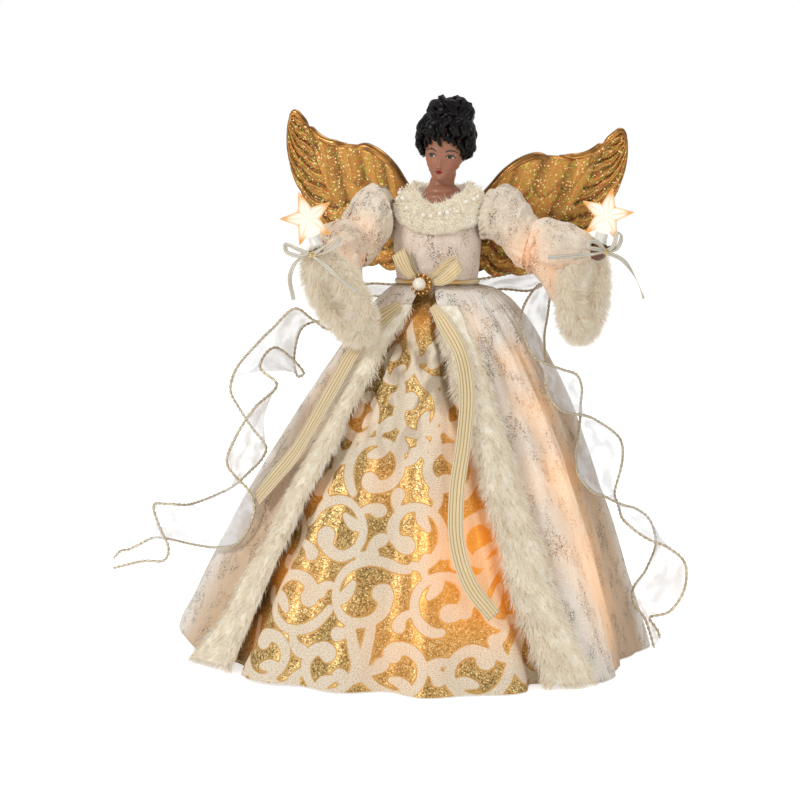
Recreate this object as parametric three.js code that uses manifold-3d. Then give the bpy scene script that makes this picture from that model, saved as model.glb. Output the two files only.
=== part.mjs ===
// A lit fabric tree topper: an angel doll in a long gathered coat over a brocade underskirt.
// The doll faces -Y, +Z is up, and lengths are in millimetres.
// The origin is the middle of the open mouth of the cone that drops over the tip of a tree.
// Angles round the figure are in degrees from the front, and grow towards +X.

import * as THREE from "three";
import { mergeVertices } from "three/addons/utils/BufferGeometryUtils.js";
import Module from "manifold-3d";

const wasm = await Module();
wasm.setup();

// Driving sizes of the whole figure
const waistHeight = 236;
const fitGap = 0.3;
const clothWall = 1.2;

// Cone that stands on a table or drops over a tree's tip
const coneFootRadius = 77.5;
const coneTopRadius = 16;
const coneTopDrop = 10;
const coneHeight = waistHeight - coneTopDrop;
const coneWall = 1.6;
const coneRimInner = 70;
const coneRimOuter = 80;
const coneRimThickness = 2;

// Torso form
const torsoHeight = 63;
const chestHalfWidth = 26.6;
const chestHalfDepth = 19.5;
const torsoPlugLength = 12;
const torsoBaseHeight = coneHeight + fitGap;

// Head, neck and hair
const neckPlugRadius = 4;
const neckPlugLength = 8;
const headNodAcross = 5.4;
const headNodForward = 2;
const headHeight = 51;
const headHalfWidth = 12.2;
const headHalfDepth = 12.4;
const hairHalfWidth = 19;
const hairHalfDepth = 17;
const hairHalfHeight = 16.5;
const hairLift = 9.5;
const bunHalfWidth = 15.5;
const bunHalfDepth = 13;
const bunHalfHeight = 10;
const bunAcross = 2;
const bunLift = 25;
const faceOpeningHalfWidth = 13.5;
const faceOpeningHalfDepth = 16;
const faceOpeningHalfHeight = 22;

// Clothes on the body
const bodiceGap = 0.4;
const coatWaistHalfWidth = 27.5;
const coatWaistHalfDepth = 22.5;
const hemRadius = 140;
const pleatDepth = 7;
const pleatCount = 8;
const pleatTurn = 59;
const coatFoldDepth = 3.4;
const hemLift = 22;
const hemClear = 1;
const skirtGap = 4;
const underskirtTopRadius = 18.2;
const underskirtTopDrop = 12;
const underskirtTopHeight = waistHeight - underskirtTopDrop;
const underskirtWall = 0.9;
const waistbandHeight = 3;
const waistbandWall = 0.9;
const collarThickness = 6;
const collarGap = 1.0;

// Sleeves and arms
const puffRadius = 19;
const shoulderOut = 28.9;
const shoulderRise = 36;
const shoulderHeight = waistHeight + shoulderRise;
const elbowSeatRadius = 15;
const sleeveWall = 0.9;
const wireRadius = 1.8;
const wireBallRadius = 3;
const wireInset = 15;
const forearmRadius = 3.4;
const forearmSeatRim = 5;
const handRadius = 6;
const cuffTubeRadius = 7.4;
const cuffHalfLength = 26.5;
const cuffHalfWidth = 11.2;

// Hand lamps
const socketRadius = 4;
const socketLength = 12;
const socketWall = 1;
const socketSink = 3;
const bulbRadius = 2.6;
const bulbLength = 17;
const bulbSink = 7;
const starRadius = 18.6;
const starNotchShare = 0.42;
const starDepth = 7;
const starLift = 3;
const starNeckRadius = 4.6;
const starWall = 1.1;
const leadRadius = 0.9;

// Lamps that light the skirts from inside
const skirtSocketRadius = 4;
const skirtSocketLength = 12;
const skirtSpigotRadius = 3;
const skirtBulbRadius = 2.7;
const skirtBulbLength = 16;
const skirtBulbSink = 8;
const cableRadius = 1.1;
const cableStandOff = 2.4;
const clipWidth = 7;
const clipDepth = 4.6;
const clipHeight = 8;
const clipOut = 79.9;

// Trims
const furThickness = 9;
const furGap = 1.1;
const ribbonWall = 0.8;
const bowRibbonWidth = 12.6;
const tailGap = 1.6;
const broochRadius = 7.5;
const broochThickness = 3.4;
const pearlRadius = 4.3;
const wristRibbonRadius = 1.3;
const shawlReach = 200;
const shawlCordRadius = 1;
const shawlWall = 0.5;

// Wings and their screws
const wingSpan = 111;
const wingHeight = 100;
const wingFootDrop = 29.5;
const wingFootHeight = shoulderHeight - wingFootDrop;
const wingBack = 23;
const wingSweep = 15;
const wingThickness = 2.4;
const wingRollRadius = 3.2;
const screwRadius = 1.2;
const screwHeadRadius = 2.6;
const screwHeadHeight = 1.4;
const screwLength = 12;

// Unit helpers
const radians = (degrees) => THREE.MathUtils.degToRad(degrees);
const point = (x, y, z) => new THREE.Vector3(x, y, z);
const ellipseRadius = (angle, halfWidth, halfDepth) =>
  1 / Math.hypot(Math.sin(radians(angle)) / halfWidth, Math.cos(radians(angle)) / halfDepth);
const aroundAxis = (angle, radius, height) =>
  point(radius * Math.sin(radians(angle)), -radius * Math.cos(radians(angle)), height);
const easeBetween = (low, high, value) => THREE.MathUtils.smoothstep(value, low, high);
const mix = THREE.MathUtils.lerp;

// Reads a table of [place, value, ...] rows at a place, with smooth steps between rows.
function readTable(rows, place, column = 1) {
  if (place <= rows[0][0]) return rows[0][column];
  for (let i = 1; i < rows.length; i += 1) {
    if (place <= rows[i][0]) {
      const step = easeBetween(rows[i - 1][0], rows[i][0], place);
      return mix(rows[i - 1][column], rows[i][column], step);
    }
  }
  return rows[rows.length - 1][column];
}

// The same for a table that goes round the figure, with angles from -180 to 180.
function readRound(rows, angle, column = 1) {
  const turned = THREE.MathUtils.euclideanModulo(angle + 180, 360) - 180;
  const last = rows[rows.length - 1];
  const wrapped = [[last[0] - 360, ...last.slice(1)], ...rows, [rows[0][0] + 360, ...rows[0].slice(1)]];
  return readTable(wrapped, turned, column);
}

// Drops everything but positions, joins shared corners and removes empty triangles.
function weld(geometry) {
  const plain = geometry.clone();
  plain.deleteAttribute("normal");
  plain.deleteAttribute("uv");
  const joined = mergeVertices(plain);
  const kept = [];
  const index = joined.index.array;
  for (let i = 0; i < index.length; i += 3) {
    const [a, b, c] = [index[i], index[i + 1], index[i + 2]];
    if (a !== b && b !== c && a !== c) kept.push(a, b, c);
  }
  joined.setIndex(kept);
  return faceOut(joined);
}

function signedVolume(geometry) {
  const spots = geometry.attributes.position;
  const index = geometry.index.array;
  const [a, b, c] = [new THREE.Vector3(), new THREE.Vector3(), new THREE.Vector3()];
  let total = 0;
  for (let i = 0; i < index.length; i += 3) {
    a.fromBufferAttribute(spots, index[i]);
    b.fromBufferAttribute(spots, index[i + 1]);
    c.fromBufferAttribute(spots, index[i + 2]);
    total += a.dot(b.cross(c)) / 6;
  }
  return total;
}

function faceOut(geometry) {
  if (signedVolume(geometry) < 0) {
    const index = geometry.index.array;
    const turned = [];
    for (let i = 0; i < index.length; i += 3) turned.push(index[i], index[i + 2], index[i + 1]);
    geometry.setIndex(turned);
  }
  geometry.computeVertexNormals();
  return geometry;
}

// Joins rings of points into one closed skin. Each ring runs out along one side and back along the
// other, so an end is closed by strips between the two sides. A closed path needs no ends. Both
// sides fold their squares along the same diagonal, so that a thin wall never crosses itself.
function ringBody(rings, closedPath = false) {
  const size = rings[0].length;
  const positions = rings.flat().flatMap((spot) => [spot.x, spot.y, spot.z]);
  const index = [];
  const spans = closedPath ? rings.length : rings.length - 1;
  for (let i = 0; i < spans; i += 1) {
    const near = i * size;
    const far = ((i + 1) % rings.length) * size;
    for (let j = 0; j < size; j += 1) {
      const next = (j + 1) % size;
      if (j < size / 2) index.push(near + j, far + j, far + next, near + j, far + next, near + next);
      else index.push(near + j, far + j, near + next, far + j, far + next, near + next);
    }
  }
  if (!closedPath) {
    const last = (rings.length - 1) * size;
    for (let j = 0; j < size / 2 - 1; j += 1) {
      const [a, b, c, d] = [j, j + 1, size - 2 - j, size - 1 - j];
      index.push(a, b, c, a, c, d);
      index.push(last + a, last + c, last + b, last + a, last + d, last + c);
    }
  }
  const geometry = new THREE.BufferGeometry();
  geometry.setAttribute("position", new THREE.Float32BufferAttribute(positions, 3));
  geometry.setIndex(index);
  return weld(geometry);
}

// A round piece turned about Z, from [radius, height] points.
function turned(profile, segments) {
  const spots = profile.map(([radius, height]) => new THREE.Vector2(radius, height));
  return weld(new THREE.LatheGeometry(spots, segments).rotateX(Math.PI / 2));
}

// Moves a piece made along +Z so that it stands at a place and points along a direction.
function aim(geometry, place, direction) {
  const up = point(0, 0, 1);
  const turn = new THREE.Quaternion().setFromUnitVectors(up, direction.clone().normalize());
  return geometry.clone().applyQuaternion(turn).translate(place.x, place.y, place.z);
}

// A round bar or cord along a smooth curve through the points.
function tube(spots, radius, sides, steps) {
  const outline = new THREE.Shape();
  for (let i = 0; i < sides; i += 1) {
    const turn = (2 * Math.PI * i) / sides;
    const [x, y] = [radius * Math.cos(turn), radius * Math.sin(turn)];
    if (i === 0) outline.moveTo(x, y);
    else outline.lineTo(x, y);
  }
  const path = new THREE.CatmullRomCurve3(spots, false, "centripetal");
  return weld(new THREE.ExtrudeGeometry(outline, { steps, extrudePath: path, curveSegments: sides }));
}

function ball(radius, segments, rings) {
  return weld(new THREE.SphereGeometry(radius, segments, rings));
}

// A flat strip with its width held along a given direction at each point.
function strip(spots, widthAt, width, wall) {
  const rings = spots.map((spot, i) => {
    const before = spots[Math.max(i - 1, 0)];
    const after = spots[Math.min(i + 1, spots.length - 1)];
    const along = after.clone().sub(before).normalize();
    const across = widthAt(i).clone().addScaledVector(along, -widthAt(i).dot(along)).normalize();
    const out = along.clone().cross(across).normalize();
    const wide = typeof width === "function" ? width(i) : width;
    const corner = (side, face) =>
      spot.clone().addScaledVector(across, (side * wide) / 2).addScaledVector(out, (face * wall) / 2);
    return [corner(-1, 1), corner(1, 1), corner(1, -1), corner(-1, -1)];
  });
  return ringBody(rings);
}

// Booleans
function toSolid(geometry) {
  return new wasm.Manifold(
    new wasm.Mesh({
      numProp: 3,
      vertProperties: new Float32Array(geometry.attributes.position.array),
      triVerts: new Uint32Array(geometry.index.array),
    }),
  );
}

function fromSolid(solid) {
  const mesh = solid.getMesh();
  const geometry = new THREE.BufferGeometry();
  geometry.setAttribute("position", new THREE.Float32BufferAttribute(mesh.vertProperties, 3));
  geometry.setIndex([...mesh.triVerts]);
  return weld(geometry);
}

const cut = (body, ...tools) =>
  fromSolid(tools.reduce((left, tool) => left.subtract(toSolid(tool)), toSolid(body)));
const join = (body, ...others) =>
  fromSolid(others.reduce((whole, other) => whole.add(toSolid(other)), toSolid(body)));

// A plain bar between two places, used as a pin or as a cutting tool.
function bar(from, to, radius, sides = 12) {
  const along = to.clone().sub(from);
  const profile = [
    [0, 0],
    [radius, 0],
    [radius, along.length()],
    [0, along.length()],
  ];
  return aim(turned(profile, sides), from, along);
}

// Finishes
const finish = (color, roughness, metalness, extra = {}) =>
  new THREE.MeshStandardMaterial({ color, roughness, metalness, ...extra });
const finishes = {
  cone: finish(0xe9e4d8, 0.6, 0),
  form: finish(0xdcd3c4, 0.7, 0),
  skin: finish(0x6b4436, 0.5, 0),
  hair: finish(0x120e0d, 0.3, 0),
  gold: finish(0xc08a3a, 0.35, 0.8),
  coat: finish(0xf0ddc9, 0.9, 0),
  brocade: finish(0xc9a75c, 0.6, 0.3),
  fur: finish(0xf3ead6, 1, 0),
  beads: finish(0xf2ead8, 0.4, 0),
  ribbon: finish(0xe6d6a8, 0.5, 0.2),
  pearl: finish(0xf6f0e2, 0.15, 0),
  brooch: finish(0xb98f3f, 0.3, 0.9),
  organza: finish(0xf6f6f4, 0.6, 0, { transparent: true, opacity: 0.35 }),
  cord: finish(0xb3a68c, 0.35, 0.7),
  socket: finish(0xf4f2ee, 0.45, 0),
  lamp: finish(0xfff1cf, 0.1, 0, { transparent: true, opacity: 0.6 }),
  star: finish(0xfff4dc, 0.1, 0, { transparent: true, opacity: 0.5 }),
  cable: finish(0xe8e6df, 0.5, 0),
  steel: finish(0x9a9a98, 0.4, 0.9),
};

const figure = new THREE.Group();
function add(name, geometry, material) {
  const mesh = new THREE.Mesh(geometry, material);
  mesh.name = name;
  figure.add(mesh);
  return mesh;
}

// Cone

const coneRadiusAt = (height) => mix(coneFootRadius, coneTopRadius, height / coneHeight);
const coneSegments = 28;

// Angle and height of each lamp on the cone, the height as a share of the cone's height.
const skirtLampShares = [
  ["right", 95, 0.31],
  ["front_right", 25, 0.33],
  ["front_left", -22, 0.55],
  ["left", -100, 0.42],
];
const skirtLamps = skirtLampShares.map(([name, angle, heightShare]) => {
  const height = heightShare * coneHeight;
  const outward = aroundAxis(angle, 1, 0);
  return { name, angle, height, outward, seat: aroundAxis(angle, coneRadiusAt(height), height) };
});

// The cone is glued up from bands. Each row: a band's name, and its foot and top as shares.
const coneBandShares = [
  ["lower", 0, 0.376],
  ["middle", 0.376, 0.664],
  ["upper", 0.664, 1],
];
const coneBands = coneBandShares.map(([name, foot, top]) => ({
  name,
  foot: Math.max(coneRimThickness, foot * coneHeight),
  top: top * coneHeight,
}));

function makeConeRim() {
  const profile = [
    [coneRimInner, 0],
    [coneRimOuter, 0],
    [coneRimOuter, coneRimThickness],
    [coneRimInner, coneRimThickness],
    [coneRimInner, 0],
  ];
  return turned(profile, coneSegments);
}

function makeConeBand({ foot, top }) {
  const profile = [
    [coneRadiusAt(foot) - coneWall, foot],
    [coneRadiusAt(foot), foot],
    [coneRadiusAt(top), top],
    [coneRadiusAt(top) - coneWall, top],
    [coneRadiusAt(foot) - coneWall, foot],
  ];
  const holes = skirtLamps
    .filter(({ height }) => height > foot && height < top)
    .map(({ seat, outward }) =>
      bar(
        seat.clone().addScaledVector(outward, -coneWall * 3),
        seat.clone().addScaledVector(outward, coneWall * 3),
        skirtSpigotRadius + fitGap,
      ),
    );
  return holes.length ? cut(turned(profile, coneSegments), ...holes) : turned(profile, coneSegments);
}

// Skirts: one outline for coat and underskirt, so that they never cross

// Each row: angle, reach of the hem as a share of its radius, and how quickly the skirt swells.
const hemShares = [
  [-180, 0.97, 0.6],
  [-140, 1.07, 0.7],
  [-95, 1.23, 0.78],
  [-70, 1.23, 0.8],
  [-45, 1.09, 0.75],
  [0, 0.98, 0.72],
  [45, 0.985, 0.61],
  [75, 0.96, 0.54],
  [110, 0.95, 0.51],
  [150, 0.945, 0.56],
];
// How far the hem stands off the floor, as a share of the largest lift.
const hemLiftShares = [
  [-180, 0.3],
  [-130, 0.65],
  [-95, 1],
  [-77, 0.9],
  [-52, 0.08],
  [0, 0],
  [110, 0],
  [150, 0.15],
];
const hemHeightAt = (angle) => hemClear + hemLift * readRound(hemLiftShares, angle);

function skirtBaseAt(angle, drop) {
  const waist = ellipseRadius(angle, coatWaistHalfWidth, coatWaistHalfDepth);
  const reach = hemRadius * readRound(hemShares, angle, 1);
  return waist + (reach - waist) * Math.pow(drop, readRound(hemShares, angle, 2));
}
const pleatAt = (angle, drop) =>
  pleatDepth * Math.pow(drop, 1.2) * Math.cos(radians(pleatCount * (angle - pleatTurn)));
const dropAt = (height) => Math.max(0, (waistHeight - height) / waistHeight);
const coatOuterAt = (angle, drop) => skirtBaseAt(angle, drop) + pleatAt(angle, drop);

// Edges of the coat's front opening and of the fur on it: drop, inner angle, outer angle.
const openingShares = {
  right: [
    [0, 4, 30],
    [0.1, 13, 34],
    [0.2, 20, 37],
    [0.46, 29, 41.5],
    [0.7, 34, 46.5],
    [1, 41.5, 53],
  ],
  left: [
    [0, -10, -36],
    [0.2, -25, -38],
    [0.34, -30, -40.5],
    [0.58, -37, -48.5],
    [0.8, -42, -55],
    [1, -46, -60],
  ],
};
const coatSetback = 4.5;
const coatEdgeAt = (side, drop) => {
  const inner = readTable(openingShares[side], drop, 1);
  return inner + Math.sign(inner) * coatSetback;
};

// Soft folds between the pleats: share of the way round the coat, and depth as a share.
const coatFoldShares = [
  [0, 0],
  [0.02, 0],
  [0.04, 0],
  [0.062, 0],
  [0.085, 0.55],
  [0.11, 0.1],
  [0.135, 0.8],
  [0.155, 0.2],
  [0.18, 0.6],
  [0.205, 0],
  [0.23, 0.9],
  [0.255, 0.3],
  [0.275, 0.7],
  [0.3, 0.05],
  [0.325, 0.75],
  [0.35, 0.25],
  [0.37, 0.55],
  [0.395, 0],
  [0.42, 1],
  [0.445, 0.2],
  [0.465, 0.6],
  [0.49, 0.1],
  [0.515, 0.85],
  [0.54, 0],
  [0.56, 0.5],
  [0.585, 0.15],
  [0.61, 0.9],
  [0.635, 0.3],
  [0.655, 0.7],
  [0.68, 0],
  [0.705, 0.8],
  [0.73, 0.25],
  [0.75, 0.6],
  [0.775, 0.05],
  [0.8, 1],
  [0.825, 0.2],
  [0.845, 0.65],
  [0.87, 0.1],
  [0.895, 0.75],
  [0.92, 0.25],
  [0.94, 0.1],
  [0.96, 0],
  [0.98, 0],
  [1, 0],
];
const coatDropShares = [0, 0.03, 0.1, 0.22, 0.36, 0.54, 0.76, 1];
const coatFoldReachAt = (drop) => coatFoldDepth * easeBetween(0, 0.22, drop);

function makeCoat() {
  const rings = [];
  for (const [across, fold] of coatFoldShares) {
    const outer = [];
    const inner = [];
    for (const dropShare of coatDropShares) {
      const from = coatEdgeAt("right", dropShare);
      const to = 360 + coatEdgeAt("left", dropShare);
      const angle = mix(from, to, across);
      const height = mix(waistHeight, hemHeightAt(angle), dropShare);
      const drop = dropAt(height);
      const radius = coatOuterAt(angle, drop) - fold * coatFoldReachAt(drop);
      outer.push(aroundAxis(angle, radius, height));
      inner.unshift(aroundAxis(angle, radius - clothWall, height));
    }
    rings.push([...outer, ...inner]);
  }
  return ringBody(rings);
}

// Folds of the brocade in the opening: angle, and depth as a share of the pleat's depth.
const frontFoldShares = [
  [-180, 0],
  [-42, 0],
  [-33, 0.5],
  [-24, -0.25],
  [-13, 0.75],
  [-1, -0.9],
  [10, 0.75],
  [20, -0.1],
  [29, 0.35],
  [40, 0],
];
const underskirtColumns = 50;
const underskirtDropShares = [0, 0.06, 0.16, 0.34, 0.56, 0.8, 1];

function underskirtRadiusAt(angle, height) {
  const drop = dropAt(height);
  const covered = coatOuterAt(angle, drop) - coatFoldReachAt(drop) - clothWall - skirtGap;
  const fold = pleatDepth * Math.pow(drop, 1.2) * readRound(frontFoldShares, angle);
  const open = skirtBaseAt(angle, drop) + fold;
  const side = angle > 0 ? "right" : "left";
  const edge = Math.abs(readTable(openingShares[side], drop, 1));
  const hidden = easeBetween(edge - 7, edge - 1, Math.abs(angle));
  const full = mix(open, Math.min(open, covered), hidden);
  const gather = easeBetween(0, 0.07, (underskirtTopHeight - height) / waistHeight);
  return mix(underskirtTopRadius, full, gather);
}

// The underskirt is sewn from panels. Each row: a panel's name, its first column and its last one.
const underskirtPanels = [
  ["left", 6, 19],
  ["front", 19, 31],
  ["right", 31, 44],
  ["back", 44, 56],
];

function makeUnderskirtPanel(firstColumn, lastColumn) {
  const rings = [];
  for (let i = firstColumn; i <= lastColumn; i += 1) {
    const angle = -180 + (360 * (i % underskirtColumns)) / underskirtColumns;
    const outer = [];
    const inner = [];
    for (const dropShare of underskirtDropShares) {
      const height = mix(underskirtTopHeight, hemHeightAt(angle), dropShare);
      const radius = underskirtRadiusAt(angle, height);
      outer.push(aroundAxis(angle, radius, height));
      inner.unshift(aroundAxis(angle, radius - underskirtWall, height));
    }
    rings.push([...outer, ...inner]);
  }
  return ringBody(rings);
}

// Fur bands down both edges of the coat

const furTopShare = 0.4;
const furFullDropShare = 0.2;
const furDropShares = [0.045, 0.08, 0.14, 0.22, 0.33, 0.45, 0.58, 0.71, 0.84, 0.93, 0.985];

// The pile starts thin under the bow and is full a little below it.
const furFill = (drop) => mix(furTopShare, 1, easeBetween(furDropShares[0], furFullDropShare, drop));

function makeFur(side) {
  const rings = furDropShares.map((dropShare) => {
    const [from, to] = [1, 2].map((column) => readTable(openingShares[side], dropShare, column));
    const height = waistHeight * (1 - dropShare);
    const thickness = furThickness * furFill(dropShare);
    const spot = (across, lift) => {
      const angle = mix(from, to, across);
      return aroundAxis(angle, coatOuterAt(angle, dropShare) + furGap + lift * thickness, height);
    };
    return [
      spot(0, 0),
      spot(0.33, 0),
      spot(0.67, 0),
      spot(1, 0),
      spot(1, 0.55),
      spot(0.75, 1),
      spot(0.25, 1),
      spot(0, 0.55),
    ];
  });
  return ringBody(rings);
}

// Torso and bodice

// Height, half width and half depth, each as a share of the torso's own size.
const torsoShares = [
  [0, 0.75, 0.8],
  [0.075, 0.91, 0.94],
  [0.155, 0.91, 0.94],
  [0.38, 0.97, 0.985],
  [0.57, 1, 1],
  [0.73, 0.99, 0.94],
  [0.84, 0.9, 0.8],
  [0.92, 0.68, 0.64],
  [1, 0.357, 0.46],
];
const bodySides = 20;
const ellipseRing = (sides, place) =>
  Array.from({ length: sides }, (_, i) => place(-180 + (360 * i) / sides));
const torsoSizeAt = (share) => [
  chestHalfWidth * readTable(torsoShares, share, 1),
  chestHalfDepth * readTable(torsoShares, share, 2),
];
const torsoSpot = (angle, share, out) => {
  const [halfWidth, halfDepth] = torsoSizeAt(share);
  const radius = ellipseRadius(angle, halfWidth + out, halfDepth + out);
  return aroundAxis(angle, radius, torsoBaseHeight + share * torsoHeight);
};

const sides = { left: -1, right: 1 };
const screwPlaces = Object.entries(sides).map(([side, sign]) => {
  const x = sign * screwHeadRadius * 3.4;
  return { side, place: point(x, wingBack, shoulderHeight - screwHeadRadius * 2) };
});
const neckBase = point(0, 0, torsoBaseHeight + torsoHeight);

function shoulderBore(sign, radius) {
  const at = (out) => point(sign * out, 0, shoulderHeight);
  return bar(at(wireInset - wireRadius), at(shoulderOut), radius);
}

function makeTorso() {
  const rings = torsoShares.map(([share]) =>
    ellipseRing(bodySides, (angle) => torsoSpot(angle, share, 0)),
  );
  const plugRadius = coneTopRadius - coneWall - fitGap * 2;
  const plug = bar(
    point(0, 0, torsoBaseHeight - torsoPlugLength),
    point(0, 0, torsoBaseHeight + torsoPlugLength / 4),
    plugRadius,
    bodySides,
  );
  const neckBore = bar(
    neckBase.clone().add(point(0, 0, -neckPlugLength - fitGap)),
    neckBase.clone().add(point(0, 0, neckPlugLength)),
    neckPlugRadius + fitGap,
    16,
  );
  const wireBores = Object.values(sides).map((sign) => shoulderBore(sign, wireRadius + fitGap));
  const screwBores = screwPlaces.map(({ place }) =>
    bar(place.clone().add(point(0, -screwLength, 0)), place, screwRadius + fitGap, 10),
  );
  return cut(join(ringBody(rings), plug), neckBore, ...wireBores, ...screwBores);
}

const bodiceSpanShares = [0.09, 0.155, 0.38, 0.57, 0.73, 0.84, 0.92];

function makeBodice() {
  const rings = ellipseRing(bodySides, (angle) => {
    const outer = bodiceSpanShares.map((share) => torsoSpot(angle, share, bodiceGap + clothWall));
    const inner = bodiceSpanShares.map((share) => torsoSpot(angle, share, bodiceGap)).reverse();
    return [...outer, ...inner];
  });
  const wireHoles = Object.values(sides).map((sign) => shoulderBore(sign * 1.05, wireRadius + fitGap * 2));
  const screwHoles = screwPlaces.map(({ place }) =>
    bar(place.clone().add(point(0, -screwLength, 0)), place, screwRadius + fitGap * 2, 10),
  );
  return cut(ringBody(rings, true), ...wireHoles, ...screwHoles);
}

const bandShare = (waistHeight + fitGap - torsoBaseHeight) / torsoHeight;
const bandInner = bodiceGap + clothWall + fitGap;

function makeWaistband() {
  const rings = ellipseRing(bodySides, (angle) => {
    const topShare = bandShare + waistbandHeight / torsoHeight;
    const spot = (share, out) => torsoSpot(angle, share, out);
    return [
      spot(topShare, bandInner + waistbandWall),
      spot(bandShare, bandInner + waistbandWall),
      spot(bandShare, bandInner),
      spot(topShare, bandInner),
    ];
  });
  return ringBody(rings, true);
}

// Collar of beads, lower in front than over the shoulders: angle, share of the torso's height
// at its lower edge, and how high its roll stands as a share of its thickness.
const collarLowShares = [
  [-180, 0.7, 0.7],
  [-130, 0.86, 1.2],
  [-90, 0.93, 1.5],
  [-55, 0.8, 1.1],
  [-28, 0.69, 0.5],
  [0, 0.63, 0.35],
  [28, 0.67, 0.5],
  [55, 0.78, 1.1],
  [90, 0.93, 1.5],
  [130, 0.86, 1.2],
];
const collarTopShare = 1.045;
const collarSteps = 6;
const collarInner = bodiceGap + clothWall + collarGap;

function makeCollar() {
  const rings = ellipseRing(bodySides, (angle) => {
    const outer = [];
    const inner = [];
    for (let i = 0; i <= collarSteps; i += 1) {
      const share = mix(collarTopShare, readRound(collarLowShares, angle), i / collarSteps);
      const bulge = Math.sin((Math.PI * (i + 0.6)) / (collarSteps + 1.2));
      const spot = torsoSpot(angle, Math.min(share, 1), collarInner);
      spot.z = torsoBaseHeight + share * torsoHeight;
      const high = torsoSpot(angle, Math.min(share, 1), collarInner + collarThickness * bulge);
      high.z = spot.z + collarThickness * bulge * readRound(collarLowShares, angle, 2);
      inner.unshift(spot);
      outer.push(high);
    }
    return [...outer, ...inner];
  });
  return ringBody(rings, true);
}

// Head and hair

// Height above the neck's foot, half width, half depth, and forward shift, as shares.
const headShares = [
  [0, 0.76, 0.72, 0],
  [0.12, 0.63, 0.61, 0],
  [0.25, 0.61, 0.6, 0.02],
  [0.3, 0.58, 0.68, 0.14],
  [0.36, 0.68, 0.78, 0.14],
  [0.45, 0.87, 0.92, 0.08],
  [0.58, 1, 1, 0.05],
  [0.7, 1, 1, 0.03],
  [0.82, 0.86, 0.88, 0],
  [0.92, 0.58, 0.6, 0],
  [1, 0.14, 0.14, 0],
];
const headSides = 18;
const headNod = point(headNodAcross, -headNodForward, 0);
const headSkullShare = 0.6;

function headRing(heightShare, halfWidth, halfDepth, forwardShare) {
  const lean = easeBetween(0.08, 0.36, heightShare);
  return ellipseRing(headSides, (angle) => {
    const spot = aroundAxis(angle, ellipseRadius(angle, halfWidth, halfDepth), 0);
    spot.y -= forwardShare * headHalfDepth;
    spot.z = neckBase.z + fitGap + heightShare * headHeight;
    return spot.addScaledVector(headNod, lean);
  });
}

function headSkin(out) {
  return ringBody(
    headShares.map(([height, width, depth, forward]) =>
      headRing(height, width * headHalfWidth + out, depth * headHalfDepth + out, forward),
    ),
  );
}

const scaledBall = (halfWidth, halfDepth, halfHeight, place, segments = 14, rings = 10) =>
  ball(1, segments, rings)
    .rotateX(Math.PI / 2)
    .scale(halfWidth, halfDepth, halfHeight)
    .translate(place.x, place.y, place.z);

const skullCentre = point(0, 0, neckBase.z + headHeight * headSkullShare).add(headNod);

function makeHead() {
  const plug = bar(
    neckBase.clone().add(point(0, 0, -neckPlugLength)),
    neckBase.clone().add(point(0, 0, neckPlugLength / 2)),
    neckPlugRadius,
    16,
  );
  const nose = scaledBall(
    headHalfWidth * 0.13,
    headHalfDepth * 0.2,
    headHalfDepth * 0.2,
    skullCentre.clone().add(point(0, -headHalfDepth * 1.03, -headHeight * 0.1)),
    8,
    6,
  );
  return join(headSkin(0), plug, nose);
}

function makeHair() {
  const cap = scaledBall(
    hairHalfWidth,
    hairHalfDepth,
    hairHalfHeight,
    skullCentre.clone().add(point(0, headHalfDepth * 0.3, hairLift)),
  );
  const bun = scaledBall(
    bunHalfWidth,
    bunHalfDepth,
    bunHalfHeight,
    skullCentre.clone().add(point(bunAcross, headHalfDepth * 0.45, bunLift)),
    14,
    10,
  );
  const face = scaledBall(
    faceOpeningHalfWidth,
    faceOpeningHalfDepth,
    faceOpeningHalfHeight,
    skullCentre.clone().add(point(0, -headHalfDepth * 1.15, -headHeight * 0.24)),
    16,
    10,
  );
  return cut(join(cap, bun), headSkin(fitGap * 3), face);
}

// Wings

// Each row: leading edge out and up, trailing edge out and up, as shares of span and height.
const wingStationShares = [
  [0.055, 0.25, 0.055, 0.13],
  [0.13, 0.37, 0.1, 0.08],
  [0.2, 0.475, 0.155, 0.04],
  [0.26, 0.565, 0.215, 0.015],
  [0.325, 0.665, 0.28, 0.005],
  [0.415, 0.75, 0.36, 0],
  [0.515, 0.795, 0.46, 0.02],
  [0.62, 0.805, 0.56, 0.065],
  [0.72, 0.81, 0.66, 0.145],
  [0.79, 0.84, 0.755, 0.245],
  [0.845, 0.89, 0.845, 0.365],
  [0.89, 0.94, 0.925, 0.505],
  [0.925, 0.98, 0.98, 0.665],
  [0.95, 1, 1, 0.815],
  [0.975, 0.985, 0.995, 0.915],
];
const wingTilt = { left: 1.5, right: -5.5 };

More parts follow.
